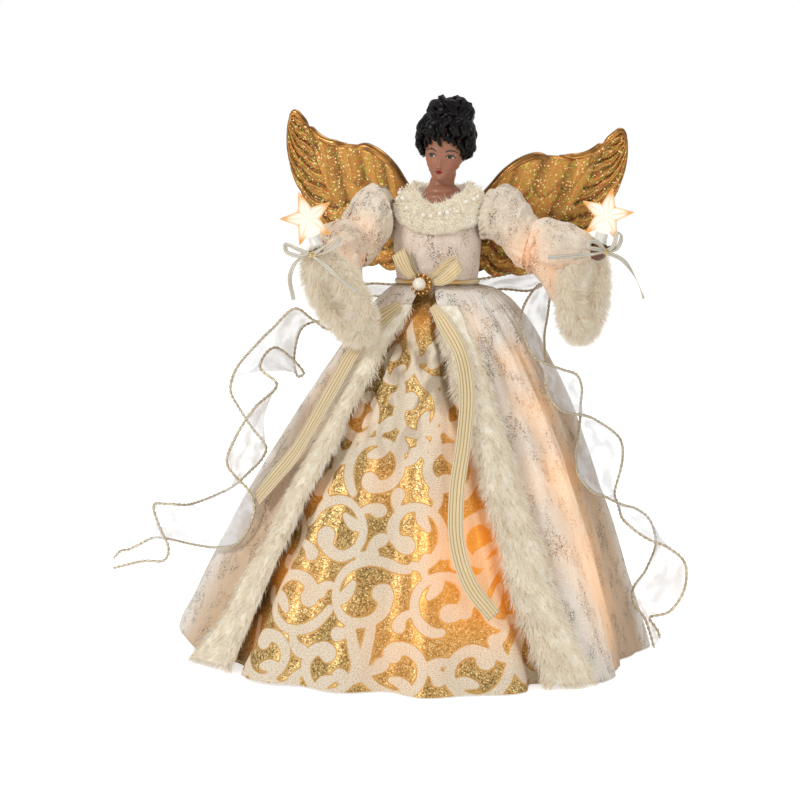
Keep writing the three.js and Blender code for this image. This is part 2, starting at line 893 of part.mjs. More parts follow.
function makeWing(side) {
  const sign = sides[side];
  const count = wingStationShares.length - 1;
  const rings = wingStationShares.map(([leadOut, leadUp, trailOut, trailUp], i) => {
    const spot = (across, back) => {
      const out = mix(leadOut, trailOut, across);
      const sweep = wingSweep * Math.pow(out, 1.3);
      return point(
        sign * out * wingSpan,
        wingBack + back + sweep,
        wingFootHeight + mix(leadUp, trailUp, across) * wingHeight,
      );
    };
    const slim = i === count ? 0.4 : 1;
    const half = (wingThickness / 2) * slim;
    const roll = wingRollRadius * slim * Math.min(1, 0.35 + i / 4);
    const rollShare = (2 * roll) / (wingHeight * Math.max(0.2, leadUp - trailUp));
    return [
      spot(0, -half),
      spot(rollShare / 2, half - 2 * roll),
      spot(rollShare, -half),
      spot(0.7, -half),
      spot(1, -half * 0.7),
      spot(1, half * 0.7),
      spot(0.7, half),
      spot(rollShare, half),
      spot(rollShare / 2, half),
      spot(0, half),
    ];
  });
  const blade = ringBody(rings);
  const pivot = point(sign * wingSpan * 0.1, 0, shoulderHeight);
  blade.translate(-pivot.x, -pivot.y, -pivot.z);
  blade.rotateY(radians(-sign * wingTilt[side]));
  blade.translate(pivot.x, pivot.y, pivot.z);
  const { place } = screwPlaces.find((screw) => screw.side === side);
  const hole = bar(
    place.clone().add(point(0, -screwLength, 0)),
    place.clone().add(point(0, screwLength, 0)),
    screwRadius + fitGap,
    10,
  );
  return cut(faceOut(blade), hole);
}

function makeScrew(side) {
  const { place } = screwPlaces.find((screw) => screw.side === side);
  const seat = wingThickness / 2 + wingSweep * 0.08 + fitGap;
  const profile = [
    [0, -screwLength],
    [screwRadius, -screwLength + screwRadius],
    [screwRadius, 0],
    [screwHeadRadius, 0],
    [screwHeadRadius * 0.8, screwHeadHeight],
    [0, screwHeadHeight],
  ];
  return aim(turned(profile, 8), place.clone().add(point(0, seat, 0)), point(0, 1, 0));
}

// Arms, sleeves, cuffs and hand lamps

// Places and directions on the arms, as shares of one span: elbow, hand, middle of the cuff, from
// there to its top, the way its mouth faces, the way the lamp stands, and the star's turn. Places
// are over the doll's axis, at the height of the shoulders.
const armSpan = 100;
const armShares = {
  right: {
    elbow: [0.62, -0.04, -0.1],
    hand: [1.05, -0.12, -0.13],
    cuff: [0.945, -0.03, -0.38],
    cuffTop: [0.02, 0, 0.31],
    cuffFace: [0.65, -0.76, 0],
    lampUp: [0.21, 0.05, 0.976],
    starTurn: 8,
  },
  left: {
    elbow: [-0.5, -0.28, -0.1],
    hand: [-0.6, -0.66, -0.14],
    cuff: [-0.475, -0.66, -0.39],
    cuffTop: [-0.185, -0.025, 0.305],
    cuffFace: [-0.3, -0.95, 0],
    lampUp: [-0.31, -0.07, 0.948],
    starTurn: 18,
  },
};
const shoulderCentre = point(0, 0, shoulderHeight);
const arms = {};
for (const [side, shares] of Object.entries(armShares)) {
  const way = (name) => point(...shares[name]).multiplyScalar(armSpan);
  const at = (name) => way(name).add(shoulderCentre);
  arms[side] = {
    elbow: at("elbow"),
    hand: at("hand"),
    cuff: at("cuff"),
    cuffTop: way("cuffTop"),
    cuffFace: way("cuffFace").normalize(),
    up: way("lampUp").normalize(),
    starTurn: shares.starTurn,
  };
}

for (const [side, arm] of Object.entries(arms)) {
  arm.sign = sides[side];
  arm.shoulder = point(arm.sign * shoulderOut, 0, shoulderHeight);
  arm.reach = arm.hand.clone().sub(arm.elbow).normalize();
  arm.long = arm.cuffTop.clone().normalize();
  arm.face = arm.cuffFace.clone().addScaledVector(arm.long, -arm.cuffFace.dot(arm.long)).normalize();
  arm.across = arm.long.clone().cross(arm.face).normalize();
  arm.socketFoot = arm.hand.clone().addScaledVector(arm.up, -socketSink);
}

// Puff sleeve: place along the sleeve, radius and upward bulge, as shares.
const puffShares = [
  [0, 0.66, 0.3],
  [0.16, 0.84, 0.56],
  [0.36, 0.98, 0.74],
  [0.56, 1, 0.62],
  [0.76, 0.98, 0.3],
  [0.86, 0.93, 0.06],
  [1, 0.84, 0],
];
const sleeveSides = 14;

// A ring in the plane square to a direction, with one axis given.
function squareRing(centre, normal, long, halfLong, halfShort, count) {
  const n = normal.clone().normalize();
  const a = long.clone().addScaledVector(n, -long.dot(n)).normalize();
  const b = n.clone().cross(a).normalize();
  return Array.from({ length: count }, (_, i) => {
    const turn = (2 * Math.PI * i) / count;
    return centre
      .clone()
      .addScaledVector(a, halfLong * Math.cos(turn))
      .addScaledVector(b, halfShort * Math.sin(turn));
  });
}

// Turns matching outer and inner rings into a hollow sleeve.
function hollow(outerRings, innerRings) {
  const columns = outerRings[0].map((_, i) => [
    ...outerRings.map((ring) => ring[i]),
    ...innerRings.map((ring) => ring[i]).reverse(),
  ]);
  return ringBody(columns, true);
}

function makePuff(side) {
  const arm = arms[side];
  const axis = arm.elbow.clone().sub(arm.shoulder);
  const start = point(arm.sign, 0, 0);
  const skin = (inset) =>
    puffShares.map(([place, radiusShare, lift]) => {
      const centre = arm.shoulder.clone().addScaledVector(axis, place);
      centre.z += lift * puffRadius;
      const normal = start.clone().lerp(axis.clone().normalize(), easeBetween(0, 0.5, place));
      const radius = place === 1 ? elbowSeatRadius + sleeveWall : radiusShare * puffRadius;
      return squareRing(centre, normal, point(0, 0, 1), radius - inset, radius - inset, sleeveSides);
    });
  return hollow(skin(0), skin(sleeveWall));
}

function makeWire(side) {
  const arm = arms[side];
  const inner = point(arm.sign * wireInset, 0, shoulderHeight);
  const middle = arm.shoulder.clone().lerp(arm.elbow, 0.5);
  middle.z += wireRadius;
  const straight = [0, 0.4, 0.75, 0.95].map((share) => inner.clone().lerp(arm.shoulder, share));
  const wire = tube([...straight, middle, arm.elbow], wireRadius, 6, 12);
  return join(wire, ball(wireBallRadius, 8, 6).translate(arm.elbow.x, arm.elbow.y, arm.elbow.z));
}

const socketBar = (arm, grow) =>
  bar(
    arm.socketFoot.clone().addScaledVector(arm.up, -grow),
    arm.hand.clone().addScaledVector(arm.up, socketLength),
    socketRadius + grow,
    14,
  );

function makeForearm(side) {
  const arm = arms[side];
  const length = arm.hand.distanceTo(arm.elbow);
  const seat = wireBallRadius + fitGap;
  const profile = [
    [0, seat],
    [seat * Math.sin(radians(30)), seat * Math.cos(radians(30))],
    [seat * Math.sin(radians(60)), seat * Math.cos(radians(60))],
    [seat, 0],
    [forearmSeatRim, 0],
    [forearmSeatRim, seat],
    [forearmRadius, seat * 2.5],
    [forearmRadius * 0.85, length - handRadius / 2],
    [0, length - handRadius / 2],
  ];
  const limb = aim(turned(profile, 14), arm.elbow, arm.reach);
  const fist = ball(handRadius, 14, 10).translate(arm.hand.x, arm.hand.y, arm.hand.z);
  return cut(join(limb, fist), socketBar(arm, fitGap));
}

// The lamp's lead runs under the forearm, from the elbow to the fist.
function leadEnds(arm) {
  const below = point(0, 0, -1).addScaledVector(arm.reach, arm.reach.z).normalize();
  const from = arm.elbow
    .clone()
    .addScaledVector(below, forearmSeatRim + leadRadius + fitGap)
    .addScaledVector(arm.reach, wireBallRadius);
  const to = arm.hand
    .clone()
    .addScaledVector(below, forearmRadius + leadRadius + fitGap)
    .addScaledVector(arm.reach, -handRadius);
  return { from, to };
}
const leadBar = (arm) => {
  const { from, to } = leadEnds(arm);
  return bar(from, to, leadRadius + fitGap, 8);
};

// Bell sleeve: place between elbow and cuff, half length and half width in shares of the cuff's.
const bellShares = [
  [0.13, 0, 0],
  [0.3, 0.1, 0.1],
  [0.55, 0.45, 0.5],
  [0.8, 0.8, 0.85],
  [1, 1, 1],
];
const bellBallRadius = elbowSeatRadius - fitGap * 2;

function makeBell(side) {
  const arm = arms[side];
  const axis = arm.elbow.clone().sub(arm.shoulder).normalize();
  const end = arm.cuff.clone().addScaledVector(arm.face, -cuffTubeRadius - fitGap);
  const skin = (inset) => {
    const rings = [-18, 0, 14].map((tilt) => {
      const radius = (bellBallRadius - inset) * Math.cos(radians(tilt));
      const rise = (bellBallRadius - inset) * Math.sin(radians(tilt));
      const centre = arm.elbow.clone().addScaledVector(axis, rise);
      return squareRing(centre, axis, point(0, 0, 1), radius, radius, sleeveSides);
    });
    const neck = bellBallRadius * Math.cos(radians(14));
    for (const [place, longShare, shortShare] of bellShares.slice(1)) {
      const start = arm.elbow.clone().addScaledVector(axis, bellBallRadius * Math.sin(radians(14)));
      const centre = start.lerp(end, place);
      const normal = axis.clone().lerp(arm.face, easeBetween(0, 1, place));
      const halfLong = mix(neck, cuffHalfLength, longShare) - inset;
      const halfShort = mix(neck, cuffHalfWidth, shortShare) - inset;
      const long = point(0, 0, 1).lerp(arm.long, place);
      rings.push(squareRing(centre, normal, long, halfLong, halfShort, sleeveSides));
    }
    return rings;
  };
  const wrist = arm.elbow.clone().addScaledVector(arm.reach, wireBallRadius);
  const limb = bar(wrist, arm.hand, forearmRadius + fitGap * 2, 12);
  return cut(hollow(skin(0), skin(sleeveWall)), limb, leadBar(arm));
}

const cuffSteps = 18;
const cuffSides = 6;

function makeCuff(side) {
  const arm = arms[side];
  const rings = Array.from({ length: cuffSteps }, (_, i) => {
    const turn = (2 * Math.PI * i) / cuffSteps;
    const out = arm.long
      .clone()
      .multiplyScalar(Math.cos(turn) / cuffHalfLength)
      .addScaledVector(arm.across, Math.sin(turn) / cuffHalfWidth)
      .normalize();
    const centre = arm.cuff
      .clone()
      .addScaledVector(arm.long, cuffHalfLength * Math.cos(turn))
      .addScaledVector(arm.across, cuffHalfWidth * Math.sin(turn));
    return Array.from({ length: cuffSides }, (_, j) => {
      const roll = (2 * Math.PI * j) / cuffSides;
      return centre
        .clone()
        .addScaledVector(out, cuffTubeRadius * Math.cos(roll))
        .addScaledVector(arm.face, cuffTubeRadius * Math.sin(roll));
    });
  });
  const fist = ball(handRadius + fitGap, 14, 10).translate(arm.hand.x, arm.hand.y, arm.hand.z);
  const limb = bar(arm.elbow, arm.hand, forearmSeatRim + fitGap, 14);
  return cut(ringBody(rings, true), fist, limb, socketBar(arm, fitGap * 2), leadBar(arm));
}

function makeSocket(side) {
  const arm = arms[side];
  const inner = socketRadius - socketWall;
  const floor = socketLength + socketSink - bulbSink;
  const profile = [
    [0, fitGap],
    [socketRadius, fitGap],
    [socketRadius, socketLength + socketSink],
    [inner, socketLength + socketSink],
    [inner, floor],
    [0, floor],
  ];
  return aim(turned(profile, 16), arm.socketFoot, arm.up);
}

const bulbFootAt = (arm) => arm.hand.clone().addScaledVector(arm.up, socketLength - bulbSink + fitGap);

function makeBulb(side) {
  const arm = arms[side];
  const profile = [
    [0, 0],
    [bulbRadius, 0],
    [bulbRadius, bulbLength * 0.75],
    [bulbRadius * 0.7, bulbLength * 0.9],
    [0, bulbLength],
  ];
  return aim(turned(profile, 12), bulbFootAt(arm), arm.up);
}

// The star is made standing up, facing -Y, with the foot of its neck at the origin.
function makeStar(side) {
  const arm = arms[side];
  const middle = starLift + starRadius * starNotchShare;
  const tips = 10;
  const rim = Array.from({ length: tips }, (_, i) => {
    const radius = i % 2 === 0 ? starRadius : starRadius * starNotchShare;
    const turn = (2 * Math.PI * i) / tips;
    return point(radius * Math.sin(turn), 0, middle + radius * Math.cos(turn));
  });
  const positions = [point(0, -starDepth, middle), point(0, starDepth, middle), ...rim];
  const index = [];
  for (let i = 0; i < tips; i += 1) {
    const [here, next] = [2 + i, 2 + ((i + 1) % tips)];
    index.push(0, here, next, 1, next, here);
  }
  const body = new THREE.BufferGeometry();
  const flat = positions.flatMap((spot) => [spot.x, spot.y, spot.z]);
  body.setAttribute("position", new THREE.Float32BufferAttribute(flat, 3));
  body.setIndex(index);
  const neckTop = middle - starRadius * starNotchShare * 0.4;
  const neck = bar(point(0, 0, 0), point(0, 0, neckTop), starNeckRadius, 16);
  const bulbTop = bulbLength - bulbSink + fitGap * 3;
  const bore = bar(point(0, 0, -starWall), point(0, 0, bulbTop + starWall), starNeckRadius - starWall, 12);
  const star = cut(join(weld(body), neck), bore);
  star.rotateZ(radians(arm.starTurn));
  return aim(star, arm.hand.clone().addScaledVector(arm.up, socketLength + fitGap), arm.up);
}

const makeLead = (side) => {
  const { from, to } = leadEnds(arms[side]);
  return bar(from, to, leadRadius, 8);
};

// Ribbon tied round the wrist: loops and tails as shares of its reach, across, up and forward.
const wristReach = 30;
const wristBowShares = {
  left: [
    [[0, 0, 0], [-0.3, 0.12, 0.04], [-0.6, 0.2, 0], [-0.56, 0.06, 0.02], [-0.25, -0.02, 0.05], [0, 0, 0]],
    [[0, 0, 0], [0.3, 0.18, 0.03], [0.62, 0.36, 0], [0.58, 0.22, 0.04], [0.28, 0.05, 0.05], [0, 0, 0]],
    [[0, 0, 0.02], [-0.3, -0.12, 0.06], [-0.47, -0.45, 0.06], [-0.4, -0.92, 0.04]],
    [[0, 0, 0.02], [0.35, -0.18, 0.12], [0.75, -0.48, 0.16], [1.08, -0.72, 0.16]],
  ],
  right: [
    [[0, 0, 0], [-0.2, 0.06, 0.05], [-0.43, 0.12, 0.03], [-0.4, 0.22, 0], [-0.2, 0.2, 0], [0, 0, 0]],
    [[0, 0, 0], [0.18, 0.12, 0.02], [0.3, 0.4, 0], [0.36, 0.32, 0.04], [0.24, 0.06, 0.05], [0, 0, 0]],
    [[0, 0, 0.02], [0.4, -0.18, 0.04], [0.72, -0.55, 0.04], [0.96, -1, 0]],
    [[0, 0, 0.02], [-0.5, -0.03, 0.2], [-1, -0.04, 0.26], [-1.5, -0.06, 0.2]],
  ],
};

// The left cuff reaches in front of the hand, so the knot there sits on the cuff.
const wristCoreRadius = wristRibbonRadius * 1.8;
const wristKnotOut = {
  left: cuffTubeRadius + wristRibbonRadius * 3,
  right: handRadius + wristCoreRadius + fitGap,
};

function makeWristBow(side) {
  const arm = arms[side];
  const forward = arm.face.clone();
  forward.z = 0;
  forward.normalize();
  const outward = forward.clone().cross(point(0, 0, 1)).normalize().negate();
  const knot = arm.hand.clone().addScaledVector(forward, wristKnotOut[side]);
  const spots = (rows) =>
    rows.map(([across, up, out]) =>
      knot
        .clone()
        .addScaledVector(outward, across * wristReach)
        .addScaledVector(point(0, 0, 1), up * wristReach)
        .addScaledVector(forward, out * wristReach),
    );
  const strands = wristBowShares[side].map((rows) => tube(spots(rows), wristRibbonRadius, 4, 8));
  const core = ball(wristCoreRadius, 6, 4).translate(knot.x, knot.y, knot.z);
  return join(core, ...strands);
}

// Bow on the waist and its brooch

const broochAcross = -4;
const broochStandOff = 4.6;
const broochRise = 1.5;
const broochFaceShares = [-0.1, -1, 0.12];
const broochPlace = point(broochAcross, -coatWaistHalfDepth - broochStandOff, waistHeight + broochRise);
const broochFace = point(...broochFaceShares).normalize();

function makeBroochSetting() {
  const cup = pearlRadius * 0.92;
  const profile = [
    [0, 0],
    [broochRadius * 0.8, 0],
    [broochRadius, broochThickness * 0.5],
    [broochRadius * 0.85, broochThickness],
    [cup, broochThickness],
    [cup * 0.7, broochThickness * 0.55],
    [0, broochThickness * 0.45],
  ];
  return aim(turned(profile, 18), broochPlace, broochFace);
}

function makeBroochPearl() {
  const lift = broochThickness * 0.45 + pearlRadius + fitGap * 1.5;
  const centre = broochPlace.clone().addScaledVector(broochFace, lift);
  return ball(pearlRadius * 0.93, 14, 8).translate(centre.x, centre.y, centre.z);
}

// Points of each loop as shares of the loop's length: across, up, forward from the knot.
const loopLength = 24;
const bowLoopShares = {
  left: [
    [-0.05, 0.03, 0],
    [-0.4, 0.35, 0.1],
    [-0.62, 0.78, 0.12],
    [-0.66, 0.86, 0.02],
    [-0.6, 0.74, -0.1],
    [-0.3, 0.3, -0.12],
    [-0.05, 0.1, -0.1],
  ],
  right: [
    [0.06, 0.03, 0],
    [0.5, 0.12, 0.14],
    [0.9, 0.42, 0.2],
    [1, 0.56, 0.12],
    [0.92, 0.6, 0.02],
    [0.5, 0.42, -0.08],
    [0.08, 0.12, -0.08],
  ],
};
const bowLoopTilts = { left: [0.75, 0.1, 0.5], right: [-0.4, 0.1, 0.9] };
const bowKnotWidthShare = 0.3;
const bowKnot = broochPlace.clone().addScaledVector(broochFace, -ribbonWall * 3);

function makeBowLoop(side) {
  const rows = bowLoopShares[side];
  const spots = rows.map(([across, up, out]) =>
    bowKnot.clone().add(point(across * loopLength, -out * loopLength, up * loopLength)),
  );
  const tilt = point(...bowLoopTilts[side]);
  const atKnot = (i) => i === 0 || i === rows.length - 1;
  const width = (i) => bowRibbonWidth * (atKnot(i) ? bowKnotWidthShare : 1);
  return strip(spots, () => tilt, width, ribbonWall);
}

// Ribbon tails lying over the fur: drop, angle, lift off the coat as a share of the fur.
const tailShares = {
  left: [
    [0.045, -22, 1.03],
    [0.09, -34, 1.05],
    [0.16, -37, 1.06],
    [0.25, -39, 1.05],
    [0.34, -42, 1.05],
    [0.43, -47, 1.04],
    [0.5, -53, 1.04],
    [0.56, -57, 1.03],
  ],
  right: [
    [0.045, 8, 1.03],
    [0.09, 17, 1.04],
    [0.16, 24, 1.05],
    [0.25, 25, 1.05],
    [0.37, 22, 1.03],
    [0.5, 18.5, 0.9],
    [0.62, 18, 0.75],
    [0.72, 21, 0.9],
    [0.8, 27, 1.04],
  ],
};
const tailWidth = { left: bowRibbonWidth, right: bowRibbonWidth * 0.75 };

function makeTail(side) {
  const rows = tailShares[side];
  const spots = [];
  for (let i = 0; i <= 2 * (rows.length - 1); i += 1) {
    const drop = i % 2 === 0 ? rows[i / 2][0] : (rows[(i - 1) / 2][0] + rows[(i + 1) / 2][0]) / 2;
    const angle = readTable(rows, drop, 1);
    const lift = tailGap + readTable(rows, drop, 2) * furThickness * furFill(drop);
    spots.push(aroundAxis(angle, coatOuterAt(angle, drop) + furGap + lift, waistHeight * (1 - drop)));
  }
  const widthAt = (i) => {
    const level = point(-spots[i].y, spots[i].x, 0).normalize();
    return level;
  };
  const wide = (i) => tailWidth[side] * Math.min(1, 0.45 + i * 0.3);
  return strip(spots, widthAt, wide, ribbonWall);
}

// Sheer shawl with a cord on each edge. It passes behind the waist and falls at both sides.
// Each row is a point on its lower or outer edge and one on its other edge, as shares of its reach.
const shawlEdgeShares = [
  [-1.005, -0.28, 0.265, -1.055, -0.145, 0.27],
  [-0.895, -0.29, 0.295, -1.03, -0.145, 0.295],
  [-0.83, -0.295, 0.3, -0.995, -0.16, 0.305],
  [-0.81, -0.305, 0.34, -0.965, -0.165, 0.32],
  [-0.84, -0.32, 0.425, -0.915, -0.155, 0.345],
  [-0.85, -0.33, 0.485, -0.855, -0.185, 0.35],
  [-0.8, -0.355, 0.495, -0.745, -0.24, 0.345],
  [-0.76, -0.355, 0.495, -0.65, -0.295, 0.35],
  [-0.74, -0.325, 0.49, -0.57, -0.335, 0.375],
  [-0.725, -0.275, 0.49, -0.53, -0.34, 0.43],
  [-0.705, -0.235, 0.495, -0.515, -0.33, 0.495],
  [-0.68, -0.195, 0.505, -0.535, -0.34, 0.55],
  [-0.64, -0.175, 0.525, -0.57, -0.355, 0.59],
  [-0.575, -0.18, 0.58, -0.595, -0.365, 0.635],
  [-0.525, -0.205, 0.63, -0.56, -0.37, 0.725],
  [-0.51, -0.215, 0.665, -0.505, -0.355, 0.81],
  [-0.565, -0.18, 0.72, -0.455, -0.28, 0.875],
  [-0.61, -0.155, 0.77, -0.52, -0.245, 0.925],
  [-0.655, -0.125, 0.835, -0.495, -0.155, 0.98],
  [-0.635, -0.125, 0.905, -0.415, -0.105, 0.895],
  [-0.565, -0.11, 0.99, -0.44, -0.085, 0.88],
  [-0.51, -0.125, 1.04, -0.465, -0.04, 0.935],
  [-0.43, -0.145, 1.105, -0.455, 0.015, 1.025],
  [-0.385, -0.115, 1.07, -0.425, 0.055, 1.045],
  [-0.335, -0.085, 1.035, -0.375, 0.07, 1.05],
  [-0.28, 0.09, 1.125, -0.285, 0.12, 1.16],
  [-0.17, 0.165, 1.12, -0.17, 0.165, 1.165],
  [-0.09, 0.19, 1.122, -0.09, 0.15, 1.18],
  [0, 0.215, 1.122, 0, 0.145, 1.185],
  [0.095, 0.205, 1.122, 0.09, 0.16, 1.185],
  [0.16, 0.195, 1.15, 0.16, 0.195, 1.195],
  [0.27, 0.17, 1.15, 0.255, 0.175, 1.215],
  [0.33, 0.11, 1.18, 0.36, 0.155, 1.215],
  [0.315, 0.065, 1.175, 0.345, 0.13, 1.14],
  [0.29, -0.03, 1.125, 0.345, 0.08, 1.08],
  [0.29, -0.105, 1.075, 0.345, 0.02, 1.025],
  [0.315, -0.15, 1.02, 0.36, -0.065, 0.98],
  [0.345, -0.155, 0.965, 0.37, -0.125, 0.93],
  [0.385, -0.135, 0.945, 0.38, -0.165, 0.89],
  [0.42, -0.055, 0.92, 0.395, -0.185, 0.85],
  [0.455, -0.01, 0.9, 0.425, -0.155, 0.805],
  [0.465, 0.035, 0.855, 0.475, -0.065, 0.78],
  [0.465, 0.01, 0.805, 0.485, -0.025, 0.7725],
  [0.47, -0.04, 0.75, 0.505, 0.06, 0.75],
  [0.47, -0.085, 0.705, 0.575, 0.12, 0.685],
  [0.47, -0.125, 0.67, 0.595, 0.05, 0.625],
  [0.49, -0.185, 0.605, 0.58, 0.01, 0.54],
  [0.525, -0.11, 0.54, 0.575, 0.025, 0.515],
  [0.55, -0.065, 0.525, 0.58, 0.03, 0.495],
  [0.58, -0.015, 0.5, 0.59, 0.015, 0.475],
  [0.605, 0.035, 0.48, 0.61, -0.03, 0.445],
  [0.635, 0.095, 0.46, 0.685, -0.06, 0.395],
  [0.675, 0.13, 0.42, 0.755, -0.03, 0.36],
  [0.695, 0.135, 0.345, 0.805, -0.01, 0.31],
  [0.67, 0.1, 0.265, 0.805, -0.01, 0.225],
  [0.64, 0, 0.215, 0.76, -0.035, 0.155],
  [0.645, -0.005, 0.17, 0.7, -0.045, 0.135],
  [0.675, 0.025, 0.12, 0.715, -0.055, 0.115],
  [0.695, 0.035, 0.06, 0.73, -0.06, 0.095],
  [0.705, 0.04, 0.02, 0.735, -0.06, 0.075],
];
const shawlSteps = 90;
const shawlInsetShare = 2.1;
const shawlSlantInsetShare = 6;
const shawlInsetLimitShare = 0.3;
const shawlEdge = (first) =>
  new THREE.CatmullRomCurve3(
    shawlEdgeShares.map((row) => point(...row.slice(first, first + 3)).multiplyScalar(shawlReach)),
    false,
    "centripetal",
  );
const shawlEdges = { lower: shawlEdge(0), upper: shawlEdge(3) };

function makeShawl() {
  const pairs = Array.from({ length: shawlSteps + 1 }, (_, i) => {
    const place = i / shawlSteps;
    const [low, high] = [shawlEdges.lower.getPoint(place), shawlEdges.upper.getPoint(place)];
    const across = high.clone().sub(low).normalize();
    const inward = (edge) => {
      const along = shawlEdges[edge].getTangent(place);
      const slant = across.dot(along);
      const wanted = shawlCordRadius * mix(shawlInsetShare, shawlSlantInsetShare, slant * slant);
      const inset = Math.min(wanted, low.distanceTo(high) * shawlInsetLimitShare);
      return across.clone().addScaledVector(along, -slant).setLength(inset);
    };
    low.add(inward("lower"));
    high.sub(inward("upper"));
    return { low, high, across, middle: low.clone().lerp(high, 0.5) };
  });
  const rings = pairs.map(({ low, high, across, middle }, i) => {
    const before = pairs[Math.max(i - 1, 0)].middle;
    const after = pairs[Math.min(i + 1, shawlSteps)].middle;
    const out = after.clone().sub(before).cross(across).normalize();
    const face = (spot, side) => spot.clone().addScaledVector(out, (side * shawlWall) / 2);
    return [face(low, 1), face(high, 1), face(high, -1), face(low, -1)];
  });
  return ringBody(rings);
}

const makeShawlCord = (edge) => tube(shawlEdges[edge].getPoints(shawlSteps), shawlCordRadius, 5, shawlSteps);

// Lamps on the cone, their cable and the clip where it leaves under the hem

function makeSkirtSocket({ seat, outward }) {
  const inner = skirtSocketRadius - socketWall;
  const shoulder = coneWall + fitGap;
  const floor = skirtSocketLength - skirtBulbSink;
  const profile = [
    [0, -coneWall * 2],
    [skirtSpigotRadius, -coneWall * 2],
    [skirtSpigotRadius, shoulder],
    [skirtSocketRadius, shoulder],
    [skirtSocketRadius, skirtSocketLength],
    [inner, skirtSocketLength],
    [inner, floor],
    [0, floor],
  ];
  return aim(turned(profile, 12), seat, outward);
}

function makeSkirtBulb({ seat, outward }) {
  const profile = [
    [0, 0],
    [skirtBulbRadius, 0],
    [skirtBulbRadius, skirtBulbLength * 0.75],
    [skirtBulbRadius * 0.7, skirtBulbLength * 0.92],
    [0, skirtBulbLength],
  ];
  const foot = skirtSocketLength - skirtBulbSink + fitGap;
  return aim(turned(profile, 8), seat.clone().addScaledVector(outward, foot), outward);
}

// The cable's route on the cone: angle, and height as a share of the cone's height.
const cableRouteShares = [
  [180, 0.03],
  [165, 0.06],
  [150, 0.1],
  [122, 0.19],
  [95, 0.26],
  [60, 0.26],
  [25, 0.28],
  [2, 0.36],
  [-22, 0.5],
  [-60, 0.47],
  [-100, 0.37],
  [-130, 0.5],
  [-155, 0.72],
  [-170, 0.9],
];

const cableSpots = cableRouteShares.map(([angle, heightShare]) => {
  const height = heightShare * coneHeight;
  return aroundAxis(angle, coneRadiusAt(height) + cableStandOff, height);
});
const makeCable = () => tube(cableSpots, cableRadius, 5, 44);

// A block on the rim at the back, with the cable passing through it.
function makeCableClip() {
  const foot = coneRimThickness + fitGap;
  const block = new THREE.BoxGeometry(clipWidth, clipDepth, clipHeight);
  block.translate(0, clipOut, foot + clipHeight / 2);
  const [start, next] = cableSpots;
  const before = start.clone().lerp(next, -1);
  return cut(weld(block), bar(before, next, cableRadius + fitGap, 8));
}

add("cone_rim", makeConeRim(), finishes.cone);
for (const band of coneBands) add(`cone_${band.name}`, makeConeBand(band), finishes.cone);
add("torso_form", makeTorso(), finishes.form);
add("head", makeHead(), finishes.skin);
add("hair", makeHair(), finishes.hair);
add("bodice", makeBodice(), finishes.coat);
add("collar_trim", makeCollar(), finishes.beads);
for (const [name, first, last] of underskirtPanels) {
  add(`underskirt_${name}`, makeUnderskirtPanel(first, last), finishes.brocade);
}
add("coat", makeCoat(), finishes.coat);
add("waistband", makeWaistband(), finishes.ribbon);
add("brooch_setting", makeBroochSetting(), finishes.brooch);
add("brooch_pearl", makeBroochPearl(), finishes.pearl);
add("shawl", makeShawl(), finishes.organza);
add("shawl_cord_lower", makeShawlCord("lower"), finishes.cord);
add("shawl_cord_upper", makeShawlCord("upper"), finishes.cord);
add("light_cable", makeCable(), finishes.cable);
add("cable_clip", makeCableClip(), finishes.socket);
for (const lamp of skirtLamps) {
  add(`skirt_socket_${lamp.name}`, makeSkirtSocket(lamp), finishes.socket);
  add(`skirt_bulb_${lamp.name}`, makeSkirtBulb(lamp), finishes.lamp);
}
for (const side of Object.keys(sides)) {
  add(`fur_trim_${side}`, makeFur(side), finishes.fur);
  add(`bow_loop_${side}`, makeBowLoop(side), finishes.ribbon);
  add(`ribbon_tail_${side}`, makeTail(side), finishes.ribbon);
  add(`wing_${side}`, makeWing(side), finishes.gold);
  add(`wing_screw_${side}`, makeScrew(side), finishes.steel);
  add(`puff_sleeve_${side}`, makePuff(side), finishes.coat);
  add(`arm_wire_${side}`, makeWire(side), finishes.steel);
  add(`forearm_${side}`, makeForearm(side), finishes.skin);
  add(`bell_sleeve_${side}`, makeBell(side), finishes.coat);
  add(`fur_cuff_${side}`, makeCuff(side), finishes.fur);
  add(`lamp_socket_${side}`, makeSocket(side), finishes.socket);
  add(`lamp_lead_${side}`, makeLead(side), finishes.cable);
  add(`wrist_bow_${side}`, makeWristBow(side), finishes.ribbon);
  add(`bulb_${side}`, makeBulb(side), finishes.lamp);
  add(`star_cap_${side}`, makeStar(side), finishes.star);
}

export default figure;
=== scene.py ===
"""A lit fabric tree topper, dressed for the look: an angel doll in a long coat over brocade.

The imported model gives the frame. Each sub-assembly is a class that builds its own pieces over it.
Sizes are in millimetres until a mesh is finished, and angles round the doll are in degrees from
the front, growing towards +X.
"""

from __future__ import annotations

import logging
import math
from dataclasses import dataclass
from enum import Enum
from typing import Callable, Sequence

import bmesh
import bpy
import numpy as np
from mathutils import Matrix, Vector, noise

